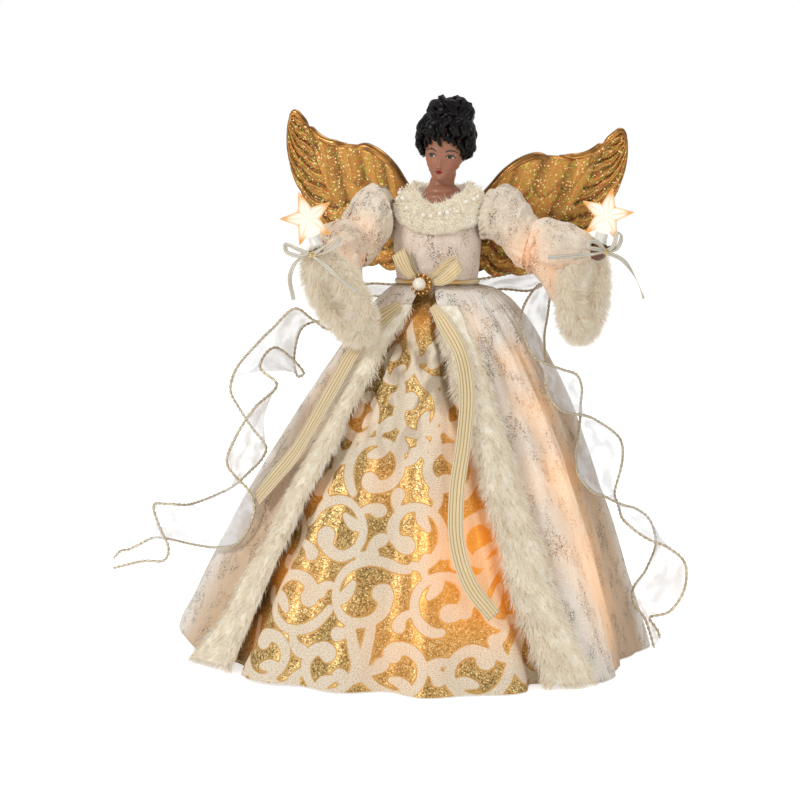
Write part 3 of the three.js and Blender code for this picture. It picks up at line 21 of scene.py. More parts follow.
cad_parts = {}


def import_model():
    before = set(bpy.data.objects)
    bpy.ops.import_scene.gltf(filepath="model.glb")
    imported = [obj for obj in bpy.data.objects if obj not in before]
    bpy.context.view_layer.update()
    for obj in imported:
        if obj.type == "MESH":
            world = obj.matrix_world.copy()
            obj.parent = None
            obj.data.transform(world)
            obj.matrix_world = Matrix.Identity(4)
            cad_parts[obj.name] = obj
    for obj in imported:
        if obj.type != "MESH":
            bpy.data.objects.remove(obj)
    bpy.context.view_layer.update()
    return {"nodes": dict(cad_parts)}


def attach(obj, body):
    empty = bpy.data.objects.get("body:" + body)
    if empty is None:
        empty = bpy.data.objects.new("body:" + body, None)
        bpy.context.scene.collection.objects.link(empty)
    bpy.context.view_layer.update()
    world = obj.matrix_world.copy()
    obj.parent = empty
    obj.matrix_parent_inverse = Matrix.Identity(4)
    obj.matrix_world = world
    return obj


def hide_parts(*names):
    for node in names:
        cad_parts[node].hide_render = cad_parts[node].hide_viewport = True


log = logging.getLogger("topper")

MM = 0.001
WAIST_HEIGHT = 236.0
FLOOR_GAP = 0.3
UP = Vector((0, 0, 1))
Placer = Callable[[float, float], Vector]
Rows = Sequence[Sequence[float]]


class Side(Enum):
    """The two sides of the doll, by the sign of X."""

    LEFT = -1
    RIGHT = 1

    @property
    def word(self) -> str:
        """The side's name as the model's nodes spell it."""
        return self.name.lower()


def srgb(red: float, green: float, blue: float) -> tuple[float, float, float, float]:
    """Turns a colour as seen on a screen, 0 to 255, into the renderer's own values.

    Args:
        red, green, blue: The colour as shown.

    Returns:
        Red, green, blue and alpha, 0 to 1.
    """

    def one(value: float) -> float:
        """Undoes the screen's curve on one value."""
        share = value / 255
        return share / 12.92 if share <= 0.04045 else ((share + 0.055) / 1.055) ** 2.4

    return (one(red), one(green), one(blue), 1.0)


def ease(low: float, high: float, value: float) -> float:
    """Goes smoothly from 0 at low to 1 at high."""
    share = min(1.0, max(0.0, (value - low) / (high - low)))
    return share * share * (3 - 2 * share)


def mix(low: float, high: float, share: float) -> float:
    """Blends two numbers."""
    return low + (high - low) * share


def read_table(rows: Rows, place: float, column: int = 1) -> float:
    """Reads a table of rows at a place, with smooth steps between its rows.

    Args:
        rows: Rows that start with their place.
        place: Where to read.
        column: Which value to read.

    Returns:
        The blended value.
    """
    if place <= rows[0][0]:
        return rows[0][column]
    for before, after in zip(rows, rows[1:]):
        if place <= after[0]:
            return mix(before[column], after[column], ease(before[0], after[0], place))
    return rows[-1][column]


def read_round(rows: Rows, angle: float, column: int = 1) -> float:
    """Reads a table that goes round the doll, with angles from -180 to 180.

    Args:
        rows: Rows that start with their angle.
        angle: Where to read, in degrees.
        column: Which value to read.

    Returns:
        The blended value.
    """
    last, first = rows[-1], rows[0]
    wrapped = [(last[0] - 360, *last[1:]), *rows, (first[0] + 360, *first[1:])]
    return read_table(wrapped, signed(angle), column)


def around(angle: float, radius: float, height: float) -> Vector:
    """A place round the doll's axis, in millimetres."""
    turn = math.radians(angle)
    return Vector((radius * math.sin(turn), -radius * math.cos(turn), height))


def ellipse_radius(angle: float, half_width: float, half_depth: float) -> float:
    """Distance from the middle to an ellipse's edge at an angle."""
    turn = math.radians(angle)
    return 1 / math.hypot(math.sin(turn) / half_width, math.cos(turn) / half_depth)


def signed(angle: float) -> float:
    """The same angle, from -180 to 180 degrees."""
    return (angle + 180) % 360 - 180


def drop_at(height: float) -> float:
    """How far down the skirts a height is, 0 at the waist and 1 at the floor."""
    return (WAIST_HEIGHT - height) / WAIST_HEIGHT


def wobble(x: float, y: float, z: float = 0.0) -> float:
    """A smooth random value from about -1 to 1, the same on every run."""
    return noise.noise(Vector((x, y, z)))


def spline(points: Sequence[Vector], place: float) -> Vector:
    """A place on a smooth curve through points, as far apart as they may be.

    Args:
        points: What the curve passes through.
        place: 0 at the first point, 1 at the last.

    Returns:
        The place on the curve.
    """
    spans = len(points) - 1
    at = min(max(place, 0.0), 1.0) * spans
    i = min(int(at), spans - 1)
    p1, p2 = points[i], points[i + 1]
    p0 = points[i - 1] if i else p1 * 2 - p2
    p3 = points[i + 2] if i + 2 <= spans else p2 * 2 - p1
    k1 = max((p2 - p1).length, 1e-4) ** 0.5
    k0 = max((p1 - p0).length, 1e-4) ** 0.5 if p1 != p0 else k1
    k2 = max((p3 - p2).length, 1e-4) ** 0.5 if p3 != p2 else k1
    leave = ((p1 - p0) / k0 - (p2 - p0) / (k0 + k1) + (p2 - p1) / k1) * k1
    enter = ((p2 - p1) / k1 - (p3 - p1) / (k1 + k2) + (p3 - p2) / k2) * k1
    t = at - i
    rise = (p2 - p1) * 3 - leave * 2 - enter
    turn = (p1 - p2) * 2 + leave + enter
    return p1 + leave * t + rise * t * t + turn * t**3


def heading(points: Sequence[Vector], place: float, step: float = 0.01) -> Vector:
    """Which way a curve through points runs at a place."""
    return spline(points, min(1, place + step)) - spline(points, max(0, place - step))


def spun(first: Vector, second: Vector, turn: float) -> Vector:
    """The direction that is a turn away from the first of two square directions."""
    return first * math.cos(turn) + second * math.sin(turn)


def square_to(direction: Vector, near: Vector) -> tuple[Vector, Vector]:
    """Two unit directions square to a given one, the first as near as it can be to a wish.

    Args:
        direction: What both are square to.
        near: The wish.

    Returns:
        The two directions.
    """
    along = direction.normalized()
    first = (near - along * near.dot(along)).normalized()
    return first, along.cross(first)


def stood(foot: Vector, up: Vector) -> Matrix:
    """What carries a piece from the origin to its foot and points its top the right way."""
    return Matrix.Translation(foot) @ UP.rotation_difference(up.normalized()).to_matrix().to_4x4()


class Piece:
    """A mesh in the making, kept in millimetres until it is finished."""

    def __init__(self, name: str) -> None:
        """Starts an empty piece.

        Args:
            name: The object's name.
        """
        self.name = name
        self.mesh = bmesh.new()
        self.cloth_map = self.mesh.loops.layers.uv.new("cloth")

    def sheet(self, columns: int, rows: int, place: Placer, closed: bool = False) -> Piece:
        """Adds a grid and moves each of its points to where a function puts it.

        Args:
            columns: Squares across.
            rows: Squares along.
            place: Gives the place for a share across and a share along.
            closed: Whether the first and last columns meet.

        Returns:
            The piece.
        """
        made = bmesh.ops.create_grid(
            self.mesh, x_segments=columns, y_segments=rows, size=0.5, calc_uvs=True
        )
        for vert in made["verts"]:
            vert.co = place(vert.co.x + 0.5, vert.co.y + 0.5)
        if closed:
            bmesh.ops.remove_doubles(self.mesh, verts=made["verts"], dist=0.002)
        return self

    def rope(
        self, points: Sequence[Vector], radius: Callable[[float], float] | float, sides: int = 6,
        steps: int = 24, near: Vector = Vector((0.13, 0.21, 0.97)), ribs: int = 0,
    ) -> Piece:
        """Adds a closed round cord along a smooth curve.

        Args:
            points: What the curve passes through.
            radius: Its radius, or a function of the share along it.
            sides: Sides round it.
            steps: Steps along it.
            near: Wish for the first side's direction.
            ribs: Ridges along it, or 0 for a round cord.

        Returns:
            The piece.
        """
        spots = [spline(points, i / steps) for i in range(steps + 1)]
        frames = []
        side = near
        for i in range(steps + 1):
            along = spots[min(i + 1, steps)] - spots[max(i - 1, 0)]
            first, second = square_to(along, side)
            frames.append((first, second))
            side = first
        wide = radius if callable(radius) else (lambda _: radius)

        def place(across: float, along: float) -> Vector:
            """A point of the cord's skin."""
            i = round(along * steps)
            turn = -2 * math.pi * across
            first, second = frames[i]
            size = wide(along) * (1 + (0.16 * math.cos(ribs * turn) if ribs else 0))
            return spots[i] + spun(first, second, turn) * size

        self.sheet(sides, steps, place, closed=True)
        return self.close_rims()

    def close_rims(self) -> Piece:
        """Closes every open rim with a face."""
        rims = [edge for edge in self.mesh.edges if edge.is_boundary]
        bmesh.ops.holes_fill(self.mesh, edges=rims, sides=0)
        return self

    def stand_clear(self) -> None:
        """Lifts every point that would touch the floor."""
        for vert in self.mesh.verts:
            vert.co.z = max(vert.co.z, FLOOR_GAP)

    def area(self) -> float:
        """The area of its faces, in square metres."""
        return sum(face.calc_area() for face in self.mesh.faces) * MM * MM

    def store(self, name: str, values: Sequence[float]) -> None:
        """Stores one number at each point, for the finish to read."""
        layer = self.mesh.verts.layers.float.new(name)
        for vert, value in zip(self.mesh.verts, values):
            vert[layer] = value

    def ball(self, place: Vector, radius: float, detail: int = 2) -> Piece:
        """Adds a ball.

        Args:
            place: Its middle.
            radius: Its radius.
            detail: How often its faces are divided.

        Returns:
            The piece.
        """
        bmesh.ops.create_icosphere(
            self.mesh, subdivisions=detail, radius=radius, matrix=Matrix.Translation(place)
        )
        return self

    def turned(
        self, profile: Sequence[tuple[float, float]], foot: Vector, up: Vector, steps: int = 24,
    ) -> Piece:
        """Starts with a round shape, spun from an outline of radius and height.

        Args:
            profile: Radius and height of each point, from the foot upwards.
            foot: Where the outline's zero stands.
            up: The way the piece points.
            steps: Steps round it.

        Returns:
            The piece.
        """
        verts = [self.mesh.verts.new((radius, 0, height)) for radius, height in profile]
        edges = [self.mesh.edges.new(pair) for pair in zip(verts, verts[1:])]
        bmesh.ops.spin(
            self.mesh, geom=verts + edges, axis=(0, 0, 1), cent=(0, 0, 0), steps=steps, angle=2 * math.pi,
            use_merge=True,
        )
        bmesh.ops.remove_doubles(self.mesh, verts=self.mesh.verts, dist=0.001)
        bmesh.ops.transform(self.mesh, matrix=stood(foot, up), verts=self.mesh.verts)
        bmesh.ops.recalc_face_normals(self.mesh, faces=self.mesh.faces)
        return self

    def finish(
        self, finish: Finish, body: str, replaced: Sequence[str] = (), slot: str = "",
        smooth: bool = True, outward: bool = False,
    ) -> bpy.types.Object:
        """Makes the object, dresses it and hands it to the frame.

        Args:
            finish: The finish it wears.
            body: The body it rides on.
            replaced: Nodes that it stands for.
            slot: The record's material slot; it is not used.
            smooth: Whether its faces shade smoothly.
            outward: Whether its faces are turned outwards first.

        Returns:
            The object.
        """
        if outward:
            bmesh.ops.recalc_face_normals(self.mesh, faces=self.mesh.faces)
        bmesh.ops.scale(self.mesh, vec=Vector((MM, MM, MM)), verts=self.mesh.verts)
        data = bpy.data.meshes.new(self.name)
        self.mesh.to_mesh(data)
        self.mesh.free()
        return hand_over(data, finish, body, replaced, smooth)


def hand_over(
    data: bpy.types.Mesh, finish: Finish, body: str, replaced: Sequence[str] = (),
    smooth: bool = True,
) -> bpy.types.Object:
    """Puts a finished mesh into the scene and ties it to the frame.

    Args:
        data: The mesh, in metres.
        finish: The finish it wears.
        body: The body it rides on.
        replaced: Nodes that it stands for.
        smooth: Whether its faces shade smoothly.

    Returns:
        The object.
    """
    data.polygons.foreach_set("use_smooth", [smooth] * len(data.polygons))
    data.materials.append(finish.material())
    thing = bpy.data.objects.new(data.name, data)
    bpy.context.scene.collection.objects.link(thing)
    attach(thing, body)
    if replaced:
        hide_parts(*replaced)
    log.info("%s: %d faces", data.name, len(data.polygons))
    return thing


def dress(thing: bpy.types.Object, finish: Finish) -> None:
    """Gives one of the model's own nodes its finish."""
    thing.data.materials.clear()
    thing.data.materials.append(finish.material())


def give_wall(thing: bpy.types.Object, thickness: float, offset: float = 0.0) -> None:
    """Gives a sheet its thickness: behind its faces at -1, on both sides at 0, in front at 1."""
    wall = thing.modifiers.new("wall", "SOLIDIFY")
    wall.thickness = thickness * MM
    wall.offset = offset


class Swarm:
    """Hundreds or thousands of copies of one small shape in a single mesh."""

    def __init__(self, name: str, shape: bmesh.types.BMesh) -> None:
        """Keeps the shape that is copied.

        Args:
            name: The object's name.
            shape: One copy, made with bmesh; it is freed here.
        """
        self.name = name
        bmesh.ops.triangulate(shape, faces=shape.faces)
        shape.verts.index_update()
        self.points = np.array([vert.co for vert in shape.verts])
        self.faces = np.array([[vert.index for vert in face.verts] for face in shape.faces])
        shape.free()

    def spread(self, spots: np.ndarray, **values: np.ndarray) -> bpy.types.Mesh:
        """Makes the mesh from where each copy's points go.

        Args:
            spots: Copies by points by three, in millimetres.
            values: Named values, one for each copy or each point of each copy.

        Returns:
            The mesh, in metres.
        """
        count, size = spots.shape[0], spots.shape[1]
        faces = (self.faces[None] + np.arange(count)[:, None, None] * size).reshape(-1, 3)
        data = bpy.data.meshes.new(self.name)
        data.vertices.add(count * size)
        data.vertices.foreach_set("co", (spots * MM).astype(np.float32).ravel())
        data.loops.add(faces.size)
        data.loops.foreach_set("vertex_index", faces.astype(np.int32).ravel())
        data.polygons.add(len(faces))
        data.polygons.foreach_set("loop_start", np.arange(0, faces.size, 3, dtype=np.int32))
        for name, value in values.items():
            full = value if value.size == count * size else np.repeat(value, size)
            put_values(data, name, full)
        data.update(calc_edges=True)
        return data

    def stand(self, roots: np.ndarray, ways: np.ndarray, sizes: np.ndarray, sag: np.ndarray) -> np.ndarray:
        """Stands each copy up along a direction and lets its tip bend.

        Args:
            roots: Where each copy stands.
            ways: The unit direction of each.
            sizes: Width and length of each.
            sag: How far the tip of each is carried off, as a vector.

        Returns:
            Copies by points by three.
        """
        helper = np.where(np.abs(ways[:, 2:3]) < 0.9, [[0.0, 0.0, 1.0]], [[1.0, 0.0, 0.0]])
        first = np.cross(ways, helper)
        first /= np.linalg.norm(first, axis=1, keepdims=True)
        second = np.cross(ways, first)
        x, y, z = (self.points[None, :, i, None] for i in range(3))
        wide, long = sizes[:, 0, None, None], sizes[:, 1, None, None]
        flat = (first[:, None] * x + second[:, None] * y) * wide
        return roots[:, None] + flat + ways[:, None] * z * long + sag[:, None] * z * z


def put_values(data: bpy.types.Mesh, name: str, values: np.ndarray) -> None:
    """Stores one number at each point of a mesh, for its finish to read."""
    layer = data.attributes.new(name, "FLOAT", "POINT")
    layer.data.foreach_set("value", values.astype(np.float32).ravel())


def strand_shape() -> bmesh.types.BMesh:
    """One tapered strand, one unit long and one unit wide, standing on the origin."""
    shape = bmesh.new()
    bmesh.ops.create_cone(shape, segments=3, radius1=0.5, radius2=0.02, depth=1.0, cap_ends=False)
    bmesh.ops.translate(shape, vec=(0, 0, 0.5), verts=shape.verts)
    uprights = [e for e in shape.edges if abs(e.verts[0].co.z - e.verts[1].co.z) > 0.5]
    bmesh.ops.subdivide_edges(shape, edges=uprights, cuts=1)
    return shape


def strands(
    name: str, feet: np.ndarray, ways: np.ndarray, sizes: np.ndarray, sag: np.ndarray, tone: np.ndarray,
    fade: float = 1.3,
) -> bpy.types.Mesh:
    """Grows strands out of a surface, none of them into the floor.

    Args:
        name: The object's name.
        feet: Where each strand stands.
        ways: The unit direction of each.
        sizes: Width and length of each.
        sag: How far the tip of each is carried off.
        tone: How much of the odd strand's colour each has.
        fade: How soon along a strand its root's colour has gone.

    Returns:
        The mesh, in metres.
    """
    swarm = Swarm(name, strand_shape())
    spots = swarm.stand(feet, ways, sizes, sag)
    spots[:, :, 2] = np.maximum(spots[:, :, 2], 0.2)
    along = np.tile(np.clip(swarm.points[:, 2] * fade, 0, 1), (len(feet), 1))
    return swarm.spread(spots, along=along.ravel(), tone=tone)


class Wire:
    """A shader socket that Python's operators work on, each adding its Math node."""

    def __init__(self, shader: Shader, socket: bpy.types.NodeSocket) -> None:
        """Wraps a socket."""
        self.shader = shader
        self.socket = socket

    def __add__(self, other: Wire | float) -> Wire:
        """Adds."""
        return self.shader.math("ADD", self, other)

    def __radd__(self, other: float) -> Wire:
        """Adds to a number."""
        return self.shader.math("ADD", other, self)

    def __sub__(self, other: Wire | float) -> Wire:
        """Takes away."""
        return self.shader.math("SUBTRACT", self, other)

    def __rsub__(self, other: float) -> Wire:
        """Is taken from a number."""
        return self.shader.math("SUBTRACT", other, self)

    def __mul__(self, other: Wire | float) -> Wire:
        """Multiplies."""
        return self.shader.math("MULTIPLY", self, other)

    def __rmul__(self, other: float) -> Wire:
        """Multiplies a number."""
        return self.shader.math("MULTIPLY", other, self)


class Shader:
    """One material in the making: a Principled shader and what feeds it."""

    def __init__(self, name: str) -> None:
        """Starts a material.

        Args:
            name: Its name.
        """
        self.made = bpy.data.materials.new(name)
        self.made.use_nodes = True
        self.tree = self.made.node_tree
        self.tree.nodes.clear()
        self.surface = self.node("ShaderNodeBsdfPrincipled")
        self.exit = self.node("ShaderNodeOutputMaterial", {}, {"Surface": self.surface.outputs[0]})

    def node(self, kind: str, settings: dict | None = None, sockets: dict | None = None) -> bpy.types.Node:
        """Adds a node: its settings first, then its sockets.

        Args:
            kind: The node's type.
            settings: Its settings.
            sockets: Values or links by a socket's name or number.

        Returns:
            The node.
        """
        made = self.tree.nodes.new(kind)
        for name, value in (settings or {}).items():
            setattr(made, name, value)
        for name, value in (sockets or {}).items():
            self.feed(made.inputs[name], value)
        return made

    def feed(self, socket: bpy.types.NodeSocket, value: object) -> None:
        """Links a socket, or sets its value.

        Args:
            socket: The input socket.
            value: A wire, a socket or a plain value.
        """
        if isinstance(value, Wire):
            self.tree.links.new(value.socket, socket)
        elif isinstance(value, bpy.types.NodeSocket):
            self.tree.links.new(value, socket)
        else:
            socket.default_value = value

    def math(self, operation: str, *values: object) -> Wire:
        """Adds a Math node."""
        made = self.node("ShaderNodeMath", {"operation": operation}, dict(enumerate(values)))
        return Wire(self, made.outputs[0])

    def clip(self, value: Wire | float) -> Wire:
        """Keeps a value between 0 and 1."""
        made = self.node("ShaderNodeClamp", {}, {0: value})
        return Wire(self, made.outputs[0])

    def step(self, value: Wire, low: float, high: float) -> Wire:
        """Goes smoothly from 0 to 1 as a value goes from low to high."""
        sockets = {0: value, 1: low, 2: high, 3: 0.0, 4: 1.0}
        made = self.node("ShaderNodeMapRange", {"interpolation_type": "SMOOTHSTEP"}, sockets)
        return Wire(self, made.outputs[0])

    def blend(self, low: object, high: object, factor: object) -> Wire:
        """Mixes two colours."""
        made = self.node("ShaderNodeMix", {"data_type": "RGBA"}, {0: factor, 6: low, 7: high})
        return Wire(self, made.outputs[2])

    def place(self, scale: Sequence[float] = (1, 1, 1), source: str = "Object") -> Wire:
        """The place on the piece, in metres times a scale, or on its own cloth map.

        Args:
            scale: What each direction is multiplied by.
            source: Object for the place in space, UV for the cloth map.

        Returns:
            The place.
        """
        spot = self.node("ShaderNodeTexCoord").outputs[source]
        made = self.node("ShaderNodeMapping", {}, {"Vector": spot, "Scale": scale})
        return Wire(self, made.outputs[0])

    def painted(self, name: str) -> Wire:
        """The value stored at each point of the mesh."""
        return Wire(self, self.node("ShaderNodeAttribute", {"attribute_name": name}).outputs["Fac"])

    def cloud(self, place: Wire, scale: float, detail: float = 2, rough: float = 0.5) -> Wire:
        """Soft random blots."""
        sockets = {"Vector": place, "Scale": scale, "Detail": detail, "Roughness": rough}
        return Wire(self, self.node("ShaderNodeTexNoise", {}, sockets).outputs[0])

    def cells(self, place: Wire, scale: float, output: str = "Distance") -> Wire:
        """Random cells."""
        made = self.node("ShaderNodeTexVoronoi", {}, {"Vector": place, "Scale": scale})
        return Wire(self, made.outputs[output])

    def part(self, colour: Wire, number: int) -> Wire:
        """One part of a colour or place: 0, 1 or 2."""
        made = self.node("ShaderNodeSeparateXYZ", {}, {0: colour})
        return Wire(self, made.outputs[number])

    def glow_near(self, spots: Rows) -> Wire:
        """How near a place is to some lamps, fading smoothly with distance.

        Args:
            spots: Place in millimetres, reach and strength of each.

        Returns:
            The sum of their light.
        """
        here = self.place()
        total: Wire | float = 0.0
        for x, y, z, reach, strength in spots:
            sockets = {0: here, 1: (x * MM, y * MM, z * MM)}
            far = self.node("ShaderNodeVectorMath", {"operation": "DISTANCE"}, sockets)
            near = self.step(Wire(self, far.outputs["Value"]), reach * MM, 0.0)
            total = near * strength + total
        return total

    def bump(self, height: Wire, strength: float, depth: float) -> Wire:
        """Turns a height into small relief."""
        sockets = {"Height": height, "Strength": strength, "Distance": depth * MM}
        return Wire(self, self.node("ShaderNodeBump", {}, sockets).outputs[0])

    def dress(self, **sockets: object) -> bpy.types.Material:
        """Sets the surface's sockets, with _ for a space in their names."""
        for name, value in sockets.items():
            self.feed(self.surface.inputs[name.replace("_", " ")], value)
        return self.made


@dataclass(frozen=True)
class Finish:
    """What a surface looks like. Each kind of finish builds its own nodes."""

    name: str

    def material(self) -> bpy.types.Material:
        """The material, built once."""
        return bpy.data.materials.get(self.name) or self.build(Shader(self.name))

    def build(self, shader: Shader) -> bpy.types.Material:
        """Builds the nodes; each kind of finish has its own."""
        raise NotImplementedError


@dataclass(frozen=True)
class Plain(Finish):
    """A plain surface with a little unevenness, such as plastic, wire, skin or thread."""

    colour: tuple = (0.8, 0.8, 0.8, 1)
    shade: tuple = (0.6, 0.6, 0.6, 1)
    blot: float = 300
    roughness: float = 0.5
    metallic: float = 0.0
    coat: float = 0.0
    relief: float = 0.0
    glow: tuple = (0, 0, 0, 1)
    glow_strength: float = 0.0

    def build(self, shader: Shader) -> bpy.types.Material:
        """Colour and roughness wander between two values."""
        blots = shader.step(shader.cloud(shader.place(), self.blot, 3), 0.35, 0.65)
        colour = shader.blend(self.shade, self.colour, blots)
        rough = blots * -0.1 + (self.roughness + 0.05)
        if self.relief:
            shader.dress(Normal=shader.bump(blots, 0.5, self.relief))
        return shader.dress(
            Base_Color=colour, Roughness=rough, Metallic=self.metallic, Coat_Weight=self.coat,
            Coat_Roughness=0.15, Emission_Color=self.glow, Emission_Strength=self.glow_strength,
        )


@dataclass(frozen=True)
class Strands(Finish):
    """Fur, hair or thread: each strand has a tone of its own and is darker at its root and between tufts,
    which is painted shade in the pile.
    """

    root: tuple = (0.5, 0.5, 0.5, 1)
    tip: tuple = (1, 1, 1, 1)
    other: tuple = (1, 1, 1, 1)
    roughness: float = 0.8
    metallic: float = 0.0
    sheen: float = 0.0
    scatter: float = 0.0
    specular: float = 0.5

    def build(self, shader: Shader) -> bpy.types.Material:
        """Mixes root, tip and the odd strand's colour, with painted shade at the roots and between tufts;
        pale pile also glows a little, painted light for the light it passes on.
        """
        along, tone = shader.painted("along"), shader.painted("tone")
        # The root's darker colour is painted shade deep in the pile.
        colour = shader.blend(self.root, self.tip, along)
        colour = shader.blend(colour, self.other, tone)
        # Painted shade between tufts, in the root's colour.
        tuft_shade = shader.step(shader.cloud(shader.place(), 150, 3), 0.52, 0.68) * 0.5
        colour = shader.blend(colour, self.root, tuft_shade * (1 - along * 0.6))
        # Emission at the scatter strength is painted light, not a lamp.
        shader.dress(
            Base_Color=colour, Roughness=self.roughness, Metallic=self.metallic, Sheen_Weight=self.sheen,
            Specular_IOR_Level=self.specular, Emission_Color=colour, Emission_Strength=self.scatter,
        )
        return shader.made


@dataclass(frozen=True)
class Suede(Finish):
    """Soft pale cloth with clusters of dark and gold foil flecks, painted shade in the valleys between
    pleats, and light that shines through.
    """

    cloth: tuple = srgb(252, 248, 240)
    dip: tuple = srgb(226, 206, 186)
    valley_shade: tuple = srgb(206, 166, 120)
    dark_fleck: tuple = srgb(96, 84, 72)
    gold_fleck: tuple = srgb(186, 150, 96)
    glow: tuple = srgb(255, 178, 84)
    glow_spots: tuple = ()

    def build(self, shader: Shader) -> bpy.types.Material:
        """Cloth, painted shade in the valleys, flecks, fine creases and glow."""
        here = shader.place()
        blots = shader.step(shader.cloud(here, 60, 4), 0.35, 0.68)
        nap = shader.step(shader.cloud(here, 760, 3, 0.7), 0.36, 0.62)
        base = shader.blend(self.dip, self.cloth, blots * 0.2 + nap * 0.4 + 0.4)
        # Painted shade: the cloth turns warm brown as deep in a valley as the mesh stores.
        base = shader.blend(base, self.valley_shade, shader.painted("valley_shade") * 0.75)
        tall = shader.place((1, 1, 0.4))
        cluster = shader.step(shader.cloud(tall, 110, 4, 0.65), 0.47, 0.6)
        grain = shader.step(shader.cloud(here, 1250, 2), 0.5, 0.58)
        strew = shader.step(shader.cells(here, 620), 0.16, 0.08) * 0.4
        flecks = shader.clip(cluster * grain * 0.85 + strew)
        gold = shader.step(shader.cloud(here, 190, 1), 0.5, 0.56)
        fleck_colour = shader.blend(self.dark_fleck, self.gold_fleck, gold)
        colour = shader.blend(base, fleck_colour, flecks)
        height = shader.cloud(here, 420, 3) * 0.5 + nap * 0.5 - flecks * 0.5
        shader.dress(
            Base_Color=colour, Roughness=flecks * -0.45 + 0.88, Metallic=flecks * 0.5, Sheen_Weight=0.25,
            Normal=shader.bump(height, 0.6, 0.7),
        )
        if self.glow_spots:
            light = shader.clip(shader.glow_near(self.glow_spots))
            warm = shader.blend(self.glow, colour, 0.25)
            shader.dress(Base_Color=shader.blend(colour, self.glow, light * 0.4))
            shader.dress(Emission_Color=shader.blend((0, 0, 0, 1), warm, light), Emission_Strength=0.5)
        return shader.made


@dataclass(frozen=True)
class ScrollCloth(Finish):
    """Gold glitter cloth with raised ivory scrolls, read from each point's distance to a band."""

    ivory: tuple = srgb(234, 220, 198)
    ivory_shade: tuple = srgb(190, 168, 134)
    ground: tuple = srgb(210, 174, 106)
    ground_dark: tuple = srgb(124, 92, 48)
    ground_bright: tuple = srgb(255, 236, 180)
    outline: tuple = srgb(206, 160, 92)
    shadow: tuple = srgb(112, 78, 42)
    glow: tuple = srgb(244, 152, 50)
    glow_spots: tuple = ()

    def build(self, shader: Shader) -> bpy.types.Material:
        """Ground, bands, their outlines, painted shadow in the pleats near the waist and the light behind.
        """
        here = shader.place()
        weave = shader.place((420, 420, 1), "UV")
        band = shader.painted("band")
        ragged = band + (shader.cloud(here, 700, 2) - 0.5) * 0.9
        ivory = shader.step(ragged, -0.25, 0.25)
        edge = shader.step(ragged, -0.95, -0.3) * shader.step(ragged, 0.75, 0.15)
        grit = shader.cells(here, 1500, "Color")
        sparkle = shader.part(grit, 0)
        ground = shader.blend(self.ground_dark, self.ground, shader.step(sparkle, 0.1, 0.75))
        ground = shader.blend(ground, self.ground_bright, shader.step(sparkle, 0.86, 0.94))
        twill = shader.cloud(weave, 1.0, 1)
        pale = shader.blend(self.ivory_shade, self.ivory, shader.step(twill, 0.3, 0.55))
        gold_stitch = shader.step(shader.cells(here, 760), 0.16, 0.1) * 0.6
        pale = shader.blend(pale, self.outline, gold_stitch)
        colour = shader.blend(ground, pale, ivory)
        colour = shader.blend(colour, self.outline, edge * 0.85)
        metal = (1 - ivory) * 0.55 + edge * 0.3
        height = ivory * 0.8 + sparkle * (1 - ivory) * 0.35 + twill * ivory * 0.25
        # Painted shadow: brown streaks down the pleats, only near the waist.
        pleat = shader.step(shader.cloud(shader.place((1, 1, 0.1)), 85, 2), 0.44, 0.6)
        pleat = pleat * shader.step(shader.part(here, 2), 0.1, 0.2) * 0.6
        colour = shader.blend(colour, self.shadow, pleat)
        light = shader.clip(shader.glow_near(self.glow_spots))
        colour = shader.blend(colour, self.glow, light * (0.76 - ivory * 0.28))
        warm = shader.blend(self.glow, colour, ivory * 0.4 + 0.1)
        return shader.dress(
            Base_Color=colour, Roughness=ivory * 0.3 + 0.42, Metallic=shader.clip(metal),
            Normal=shader.bump(height, 0.7, 0.6), Emission_Color=shader.blend((0, 0, 0, 1), warm, light),
            Emission_Strength=0.42,
        )


@dataclass(frozen=True)
class Glitter(Finish):
    """Gold plastic under coarse glitter in many colours, over the ribs the mesh has, with painted light
    and shade along them that the mesh stores.
    """

    gold: tuple = srgb(198, 142, 70)
    deep: tuple = srgb(44, 24, 8)
    bright: tuple = srgb(255, 232, 170)
    warm: tuple = srgb(224, 98, 44)
    green: tuple = srgb(186, 200, 80)
    scale: float = 1250
    metallic: float = 0.6

    def build(self, shader: Shader) -> bpy.types.Material:
        """Gold that wanders, from deep painted shade to lit gold as the mesh's stored light says, with
        bright, warm and green grains.
        """
        here = shader.place()
        blots = shader.step(shader.cloud(here, 45, 3), 0.38, 0.62)
        # Painted light and shade: deep is the shade in the grooves, gold the lit crests.
        base = shader.blend(self.deep, self.gold, blots * 0.14 + shader.painted("lit") * 0.86)
        grain = shader.cells(here, self.scale, "Color")
        first, second = shader.part(grain, 0), shader.part(grain, 1)
        colour = shader.blend(base, self.warm, shader.step(first, 0.8, 0.88) * 0.6)
        colour = shader.blend(colour, self.green, shader.step(second, 0.8, 0.88) * 0.6)
        colour = shader.blend(colour, self.bright, shader.step(first * second, 0.66, 0.74))
        height = shader.part(grain, 2)
        return shader.dress(
            Base_Color=colour, Roughness=shader.part(grain, 1) * 0.3 + 0.32, Metallic=self.metallic,
            Normal=shader.bump(height, 0.6, 0.3),
        )


